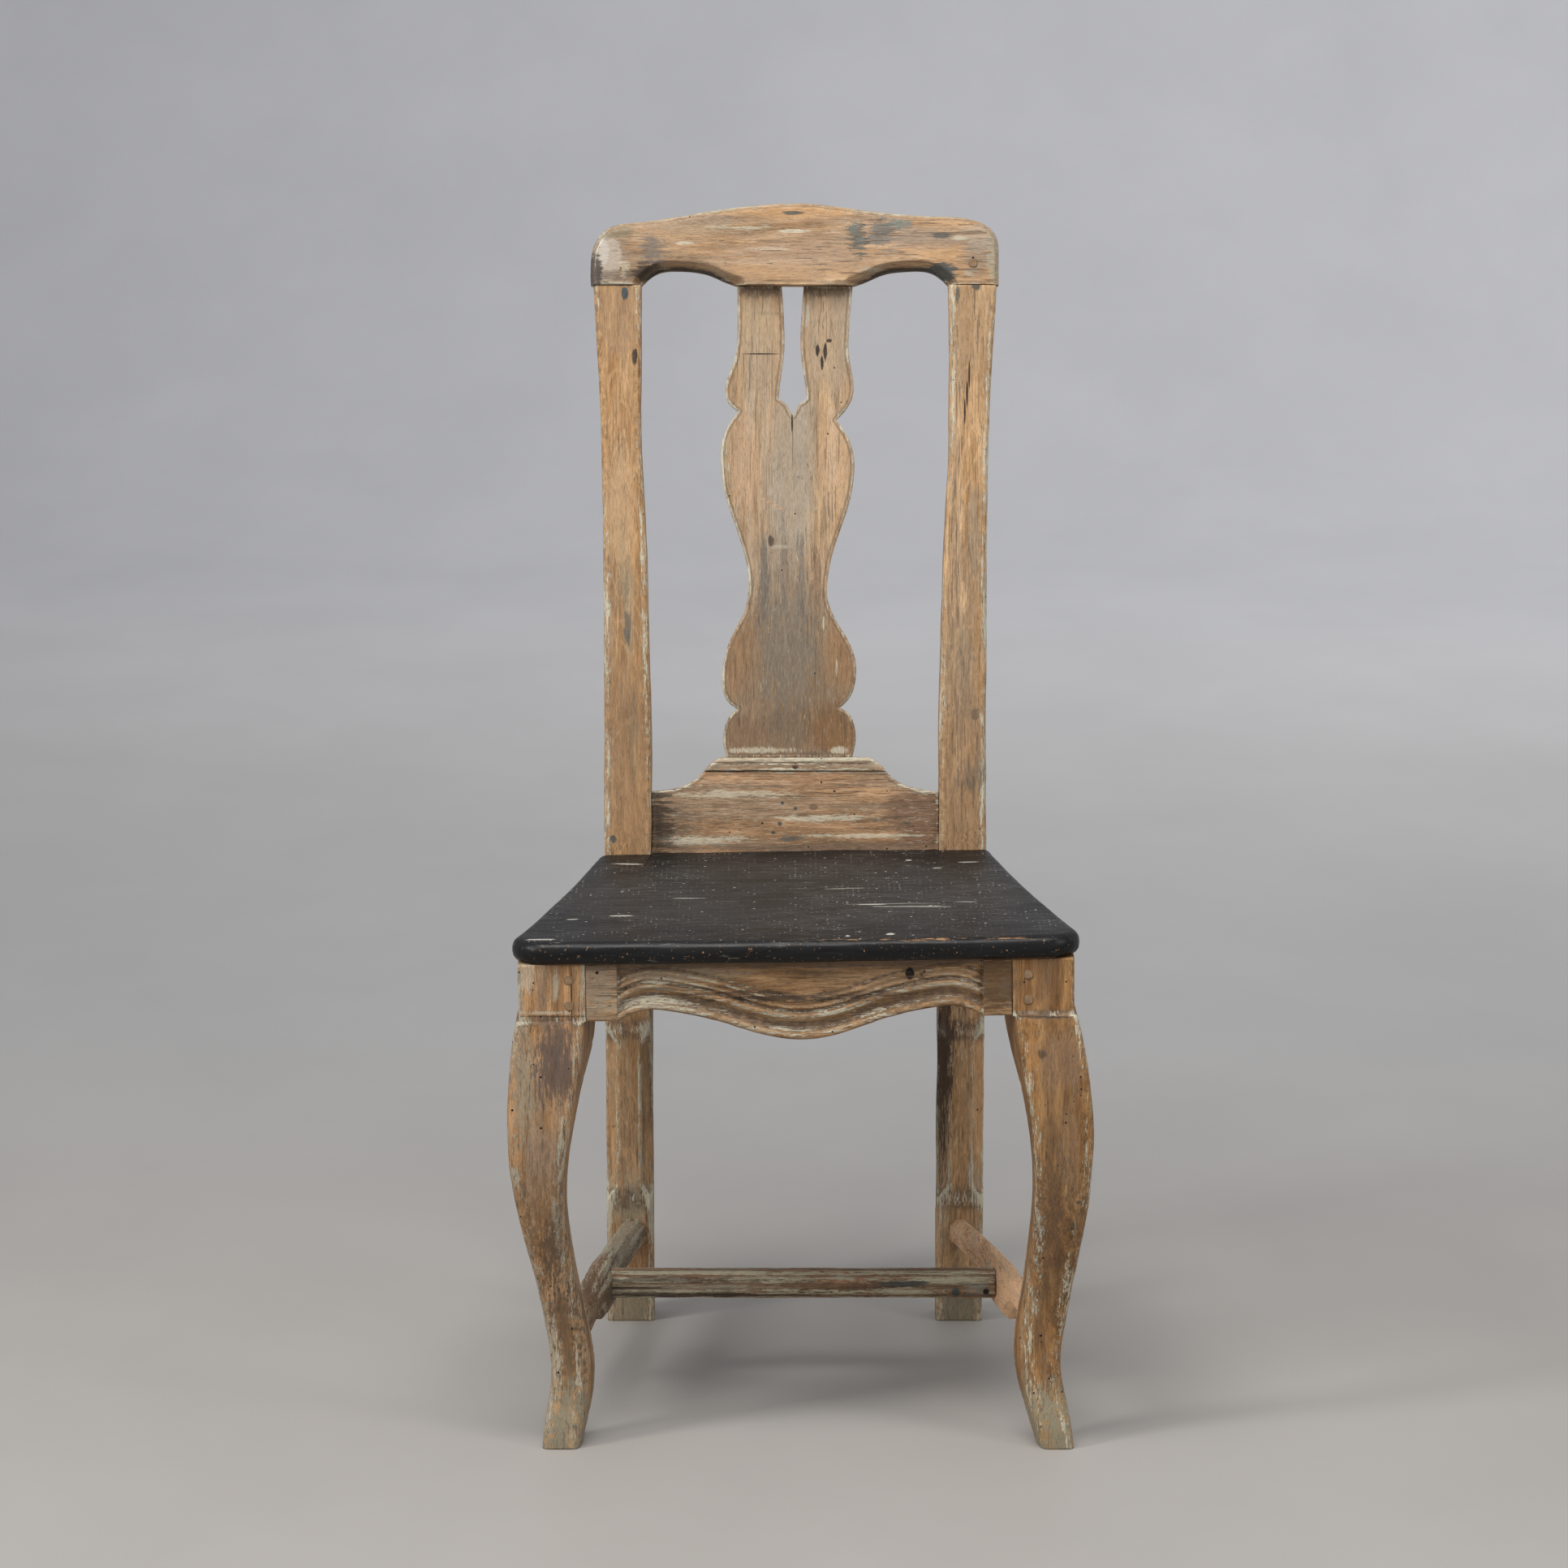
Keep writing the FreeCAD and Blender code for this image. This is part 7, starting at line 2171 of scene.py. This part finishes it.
@dataclass
class Splat:
    """Waisted board in the middle of the back, slit into two prongs at the top."""

    middle: float = -5.5
    half: float = 62.0
    slit_middle: float = -2.3
    slit_half: float = 12.5
    foot: float = 66.5
    height: float = 430.5
    thickness: float = 11.0
    setback: float = 14.0
    rim: Arris = Arris(1.8, 1.2, 0.5)
    end: Arris = Arris(0.4, 0.4)

    def edge_at(self, side: int, share: Array) -> Array:
        """One edge of the splat: smooth curves that meet in the notches.

        Args:
            side: Which edge.
            share: Shares of the height.

        Returns:
            Places across the chair.
        """
        size = np.array([self.height, self.half])
        lines = [curve_points(np.array(rows) * size, 160) for rows in SPLAT_EDGES[side]]
        line = np.concatenate([lines[0]] + [one[1:] for one in lines[1:]])
        return self.middle + side * np.interp(share * self.height, line[:, 0], line[:, 1])

    def slit_at(self, share: Array) -> Array:
        """Half the slit's width, none below its point.

        Args:
            share: Shares of the height.

        Returns:
            The half widths.
        """
        size = np.array([self.height, self.slit_half])
        upper = curve_points(np.array(SLIT_EDGE) * size, 120)
        line = np.concatenate([np.array(SLIT_POINT) * size, upper[1:]])
        return np.interp(share * self.height, line[:, 0], line[:, 1], left=0.0)

    def surface(self) -> Surface:
        """The board as two sheets, one each side of the slit, joined below its point.

        Returns:
            The surface in place.
        """
        notches = [end[0] for edges in SPLAT_EDGES.values() for rows in edges for end in (rows[0], rows[-1])]
        point = [row[0] for row in SLIT_POINT]
        share = np.unique(np.concatenate([np.linspace(0, 1, 380), notches, point]))
        u = crowded(34, 0.8)
        z = np.broadcast_to((share * self.height)[:, None], (len(share), len(u)))
        slit = self.slit_at(share)
        left, right = self.edge_at(LEFT, share), self.edge_at(RIGHT, share)
        bounds = ((left, self.slit_middle - slit), (self.slit_middle + slit, right))
        sheets = [np.stack([low[:, None] * (1 - u) + high[:, None] * u, z], axis=-1) for low, high in bounds]
        start = np.searchsorted(share, point[0])
        bottom, inner, top, outer = outline_numbers(z.shape)
        shift = z.size
        rims = Rim.alike(self.rim, outer, inner[start:], inner + shift, outer[start:] + shift)
        rims += Rim.alike(self.end, bottom, bottom + shift, top, top + shift)
        flat = board(sheets, rims, self.thickness)
        return flat.placed(lambda p: leaned(p + (0, self.setback, self.foot)))

    def build(self) -> Piece:
        """The board as a piece."""
        wear = Wear(91, ALONG_Z, sway=0.4, ripple=0.10, nicks=0.5, dents=PRONG_DENTS)
        return make_piece("splat_board", self.surface(), wear, ("splat",), SPLAT_WOOD)


BACK_RAIL_STAINS = stained(
    (-124, 8, 8, 12, 12, 34, DIRT_AND_SHADE, 0.8, 5.0), (-108, 8, -2, 20, 12, 26, UMBER, 0.6, 6.0),
    (116, 8, 14, 34, 12, 30, (0.17, 0.10, 0.062), 0.8, 2.0), (24, 8, 11, 46, 10, 3.0, CREAM, 0.75, 6.0),
    (60, 8, -5, 44, 10, 2.0, CREAM, 0.7, 5.0), (-59, 8, 33, 50, 10, 3.0, CREAM, 0.6, 6.0),
    (-90, 8, -9, 40, 10, 4.0, CREAM, 0.65, 6.0), (-11.6, 8, 25, 1.7, 8, 1.7, INK, 0.9, 0.6),
    (0.3, 8, 20, 1.7, 8, 1.7, INK, 0.9, 0.6), (-14, 8, 6, 2.2, 8, 2.2, INK, 0.9, 0.8),
    (-20, 8, -2, 1.8, 8, 1.8, INK, 0.9, 0.6), (17, 8, 21, 4, 8, 2.6, UMBER, 0.75, 3.0),
    (-5, 8, -8, 11, 8, 3.6, INK, 0.7, 5.0), (30, 8, -15, 110, 10, 4, UMBER, 0.7, 4.0),
)
BACK_RAIL_WOOD = ScrapedWood(
    "back_rail_wood", Grain.ACROSS, Stance.LEANING, 21.9, light=(0.46, 0.275, 0.15),
    middle=(0.32, 0.185, 0.095), deep=(0.15, 0.085, 0.045), bloom=(0.35, 0.26, 0.18), bloomed=0.45,
    painted=0.01, holed=0.05, flecked=0.7, lined=0.4, stains=BACK_RAIL_STAINS,
)
CAP_STAINS = stained(
    (0, 8, 64.5, 90, 12, 1.5, CREAM, 0.85, 2.0), (0, 8, 57, 70, 8, 2.4, (0.24, 0.14, 0.075), 0.6, 3.0),
)
CAP_WOOD = ScrapedWood(
    "cap_wood", Grain.ACROSS, Stance.LEANING, 23.2, light=(0.44, 0.29, 0.18), middle=(0.31, 0.20, 0.12),
    deep=(0.17, 0.105, 0.06), bloom=(0.34, 0.28, 0.20), bloomed=0.6, painted=0.015, holed=0.02,
    hollow_darkening=0.95, stains=CAP_STAINS,
)
# Top line beside the cap strip: share of the way to the end, share of the drop
BACK_RAIL_HOLLOW = ((0.00, 0.00), (0.10, 0.27), (0.27, 0.58), (0.63, 0.885), (1.00, 1.00))


@dataclass
class BackRail:
    """Lower back rail with a hollow at each end, and the cap strip that the splat stands on."""

    half: float = 131.3
    cap_half: float = 83.0
    cap_top_half: float = 68.3
    bottom: float = -38.9
    end_rise: float = 35.3
    cap_rise: float = 54.3
    cap_height: float = 12.2
    recess: float = 10.0
    thickness: float = 20.0
    overhang: float = 2.0
    end_bulge: tuple[float, float] = (0.832, 1.001)
    groove_rise: float = 6.6
    groove_reach: float = 0.9
    groove_front: float = 4.0
    groove_depth: float = 0.9

    def rail_surface(self) -> Surface:
        """The rail: columns from its foot to its top line.

        Returns:
            The surface in place.
        """
        rows = np.array(BACK_RAIL_HOLLOW)
        run, drop = self.half - self.cap_half, self.cap_rise - self.end_rise
        rows = np.column_stack([self.cap_half + run * rows[:, 0], self.cap_rise - drop * rows[:, 1]])
        line = curve_points(rows, 150)
        x = np.concatenate([np.linspace(-self.half, self.half, 190), [-self.cap_half, self.cap_half]])
        x = np.unique(x)
        top = np.interp(abs(x), line[:, 0], line[:, 1])
        v = crowded(60, 0.7)[:, None]
        sheet = np.stack(np.broadcast_arrays(x, self.bottom * (1 - v) + top * v), axis=-1)
        bottom, right, over, left = outline_numbers(sheet.shape[:2])
        soft, plain = Arris(1.6, 1.6), Arris(0.3, 0.3)
        rims = Rim.alike(soft, over) + Rim.alike(plain, bottom, right, left)
        flat = board([sheet], rims, self.thickness)
        return flat.placed(lambda p: leaned(p + (0, self.recess, 0)))

    def cap_surface(self) -> Surface:
        """The cap strip: a bar with slanted, bulging ends, a round nose and a shallow groove.

        Returns:
            The surface in place.
        """
        t = np.linspace(0, 1, 30)
        bulge = 4 * t * (1 - t)
        x = self.cap_half + (self.cap_top_half - self.cap_half) * t + self.end_bulge[0] * bulge
        right = np.column_stack([x, self.cap_height * t + self.end_bulge[1] * bulge])
        u, v = crowded(170, 0.3), crowded(26, 0.7)
        bottom = np.column_stack([self.cap_half * (2 * u - 1), 0 * u])
        top = np.column_stack([self.cap_top_half * (2 * u - 1), 0 * u + self.cap_height])
        side = read_along(right, v)
        sheet = coons(bottom, side, top, side * (-1, 1), u, v)
        under, right_line, over, left_line = outline_numbers(sheet.shape[:2])
        nose, soft = Arris(3.0, 2.6), Arris(1.2, 1.2)
        rims = [Rim(over, nose, soft), Rim(under, soft, soft)]
        rims += [Rim(line, nose, soft) for line in (right_line, left_line)]
        flat = board([sheet], rims, self.thickness + self.overhang)
        groove = np.exp(-(((flat.points[:, 2] - self.groove_rise) / self.groove_reach) ** 2))
        groove *= flat.points[:, 1] < self.groove_front
        flat.points[:, 1] += self.groove_depth * groove
        flat.hollow += groove
        return flat.placed(lambda p: leaned(p + (0, self.recess - self.overhang, self.cap_rise)))

    def build(self) -> list[Piece]:
        """The rail and its cap strip as pieces.

        Returns:
            The pieces.
        """
        rail_wear, cap_wear = Wear(95, ALONG_X, sway=0.35), Wear(97, ALONG_X, sway=0.2, nicks=0.4)
        return [
            make_piece("lower_back_rail", self.rail_surface(), rail_wear, ("back_rail",),
                       BACK_RAIL_WOOD),
            make_piece("cap_strip", self.cap_surface(), cap_wear, ("shoe_moulding",), CAP_WOOD),
        ]


# Pegs


PEG_WOOD = Speckled("peg_end_wood", (0.21, 0.125, 0.06), (0.29, 0.18, 0.09), 4.0, 0.7, 0.75, rim=UMBER,
                    relief=0.0005)
IRON = Speckled("rusty_nail", (0.028, 0.024, 0.022), (0.12, 0.055, 0.028), 1.6, 0.4, 0.62, 0.6, relief=0.0003)
# Way in from the head in millimetres, share of the radius, nearness to the arris
PEG_RINGS = (
    (0.0, 0.80, 0.6), (0.08, 0.93, 1.0), (0.3, 0.985, 1.0), (0.7, 1.0, 0.5), (1.5, 1.0, 0.0),
)


@dataclass(frozen=True)
class Peg:
    """One whittled peg: where its head is, which way it is driven, and its shape."""

    head: Triple
    way: Triple
    length: float
    radius: float = 4.0
    square: float = 2.6
    wave: float = 0.025
    tip: float = 0.95

    def surface(self) -> Surface:
        """The peg as a tube of uneven sections with a low domed head.

        Its radius round the axis is r / (|cos a|^n + |sin a|^n)^(1/n), with a small wave.

        Returns:
            The surface in place.
        """
        way = np.array(self.way) / np.linalg.norm(self.way)
        first = np.cross(way, (0.0, 0.0, 1.0))
        first /= np.linalg.norm(first)
        second = np.cross(way, first)
        angle = np.linspace(0, 2 * np.pi, 28, endpoint=False)
        power = self.square
        shape = (abs(np.cos(angle)) ** power + abs(np.sin(angle)) ** power) ** (-1 / power)
        shape = shape * (1 + self.wave * np.sin(3 * angle + self.head[0]))
        rows = PEG_RINGS + ((0.5 * self.length, 1.0, 0.0), (self.length, self.tip, 0.0))
        along, size, edge = np.array(rows).T[..., None]
        turned = np.cos(angle)[:, None] * first + np.sin(angle)[:, None] * second
        round_it = (self.radius * size * shape)[..., None] * turned
        rings = np.array(self.head) + along[..., None] * way + round_it
        return tube(rings, np.broadcast_to(edge, rings.shape[:2]))


@dataclass
class Pegs:
    """All the pegs that lock the joints, group by group."""

    heights: tuple[float, float] = (394.5, 416.5)
    proud: float = 0.5
    long: float = 34.0
    short: float = 25.0
    front_x: dict[int, float] = sided(-192.0, 196.0)

    def groups(self) -> dict[str, list[Surface]]:
        """The pegs of each group.

        Returns:
            Surfaces in place by the name of their CAD node.
        """
        inward, outward = (0, 1, 0), (0, -1, 0)
        proud, long, short = self.proud, self.long, self.short
        post = [(side, z) for side in SIDE_NAMES for z in self.heights]
        front = [Peg((self.front_x[side], APRON_FRONT - proud, z), inward, long) for side, z in post]
        sides = [Peg((side * (235.0 + proud), -205.58, z), (-side, 0, 0), short) for side, z in post]
        sides += [Peg((side * (174.3 + proud), 160.42, z), (-side, 0, 0), short) for side, z in post]
        rear = [Peg((side * 139.8, 192.42 + proud, z), outward, long) for side, z in post]
        back = [Peg((side * 142.3, 43.6 + proud, 6.15), outward, long) for side in SIDE_NAMES]
        crest = [Peg((-162.0, -1 - proud, 510.0), inward, short, 5.2, 6.0),
                 Peg((162.0, -1 - proud, 517.0), inward, short)]
        bars = [Peg((side * x, y, z), (-side, 0, 0), 24.0, 3.0) for side, x, y, z in (
            (LEFT, 212.7, -202.13, 96.0), (LEFT, 174.2, 176.36, 89.0),
            (RIGHT, 231.2, -202.17, 104.0), (RIGHT, 174.2, 176.36, 89.0))]
        return {
            "front_rail_pegs": [peg.surface().placed(settled) for peg in front],
            "side_rail_pegs": [peg.surface().placed(settled) for peg in sides],
            "back_rail_pegs": [peg.surface().placed(settled) for peg in rear]
            + [peg.surface().placed(leaned) for peg in back],
            "crest_pegs": [peg.surface().placed(leaned) for peg in crest],
            "stretcher_pegs": [peg.surface() for peg in bars],
        }

    def build(self) -> list[Piece]:
        """The groups as pieces.

        Returns:
            The pieces.
        """
        still = Wear(101, (1.0, 1.0, 1.0), sway=0.0, ripple=0.08, nicks=0.2)
        return [
            make_piece(f"{node}_heads", Surface.joined(surfaces), still, (node,), PEG_WOOD)
            for node, surfaces in self.groups().items()
        ]


# Studio


@dataclass(frozen=True)
class Studio:
    """Pale floor that runs far back and curves up into a wall, soft lights and the camera."""

    camera: Triple = (-0.0101, -4.8437, 1.3792)
    pitch: float = 0.171770
    lens: float = 127.67
    floor_end: float = 5.4
    bend_radius: float = 3.0
    half_width: float = 9.0
    air: Colour = (0.62, 0.63, 0.65)
    glow: float = 0.78

    def build_camera(self) -> None:
        """The camera at the photograph's place, level and turned down by its pitch."""
        data = bpy.data.cameras.new("camera")
        data.lens, data.sensor_width = self.lens, 36.0
        data.clip_start, data.clip_end = 0.05, 60.0
        camera = bpy.data.objects.new("camera", data)
        camera.location = self.camera
        camera.rotation_euler = (math.pi / 2 - self.pitch, 0, 0)
        bpy.context.scene.collection.objects.link(camera)
        bpy.context.scene.camera = camera

    def build_floor(self) -> None:
        """The floor and wall: one sheet that rises by an arc of a circle far behind the chair."""
        end, radius = self.floor_end, self.bend_radius
        flat = np.column_stack([np.linspace(-7, end, 60), np.zeros(60)])
        angle = np.linspace(0, np.pi / 2, 30)[1:]
        bend = np.column_stack([end + radius * np.sin(angle), radius * (1 - np.cos(angle))])
        wall = np.column_stack([np.full(10, end + radius), np.linspace(radius + 0.1, 7, 10)])
        line = np.concatenate([flat, bend, wall])
        x = np.linspace(-self.half_width, self.half_width, 40)
        grid = np.stack(np.broadcast_arrays(x, line[:, :1], line[:, 1:]), axis=-1)
        numbers = np.arange(grid.shape[0] * len(x)).reshape(-1, len(x))
        mesh = bpy.data.meshes.new("floor")
        mesh.from_pydata(grid.reshape(-1, 3).tolist(), [], grid_faces(numbers).tolist())
        mesh.polygons.foreach_set("use_smooth", np.ones(len(mesh.polygons), bool))
        floor = bpy.data.objects.new("floor", mesh)
        bpy.context.scene.collection.objects.link(floor)
        mesh.materials.append(FloorPaint().material())

    def build_lights(self) -> None:
        """A wide soft light over the front, a softer one at each side, and an even surround."""
        rows = (
            ("over", (-0.3, -1.3, 3.3), (0.0, 0.1, 0.4), (1.8, 1.2), 70.0, (1.0, 0.98, 0.95)),
            ("left", (-2.9, -1.9, 2.5), (0.0, 0.0, 0.6), (0.7, 1.3), 62.0, (1.0, 0.985, 0.96)),
            ("right", (3.0, -2.3, 2.2), (0.0, 0.0, 0.6), (0.9, 1.6), 28.0, (1.0, 0.985, 0.96)),
            ("wall", (1.6, 3.4, 3.6), (1.8, 7.0, 0.4), (6.0, 1.4), 165.0, (0.97, 0.98, 1.0)),
        )
        for name, place, target, size, watts, colour in rows:
            data = bpy.data.lights.new(name, "AREA")
            data.shape, data.size, data.size_y = "RECTANGLE", *size
            data.energy, data.color = watts, colour
            light = bpy.data.objects.new(name, data)
            light.location = place
            light.rotation_euler = (Vector(target) - light.location).to_track_quat("-Z", "Y").to_euler()
            bpy.context.scene.collection.objects.link(light)
        world = bpy.data.worlds.new("surround")
        world.use_nodes = True
        tree = world.node_tree
        Graph(tree).feed(tree.nodes["Background"], {"Color": self.air, "Strength": self.glow})
        bpy.context.scene.world = world


def main() -> None:
    """Load the frame, build every sub-assembly in order, and report each piece."""
    logging.basicConfig(level=logging.INFO, format="%(message)s")
    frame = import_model()
    legs, rear_legs = FrontLegs(), RearLegs()
    pieces = [legs.build(side) for side in SIDE_NAMES] + [rear_legs.build(side) for side in SIDE_NAMES]
    pieces += [Apron().build(), SeatBoard().build(), Crest().build(), Splat().build()]
    pieces += SeatRails().build() + BackRail().build() + Stretchers().build() + Pegs().build()
    studio = Studio()
    studio.build_camera()
    studio.build_floor()
    studio.build_lights()
    bpy.context.scene.view_settings.view_transform = "Standard"
    for node, finish in (("shoe_nail", IRON), ("seat_dowels", PEG_WOOD)):
        kept = frame["nodes"][node].data
        kept.materials.clear()
        kept.materials.append(finish.material())
    LOG.info("%d pieces on %d nodes", len(pieces), len(frame["nodes"]))


if __name__ == "__main__":
    main()
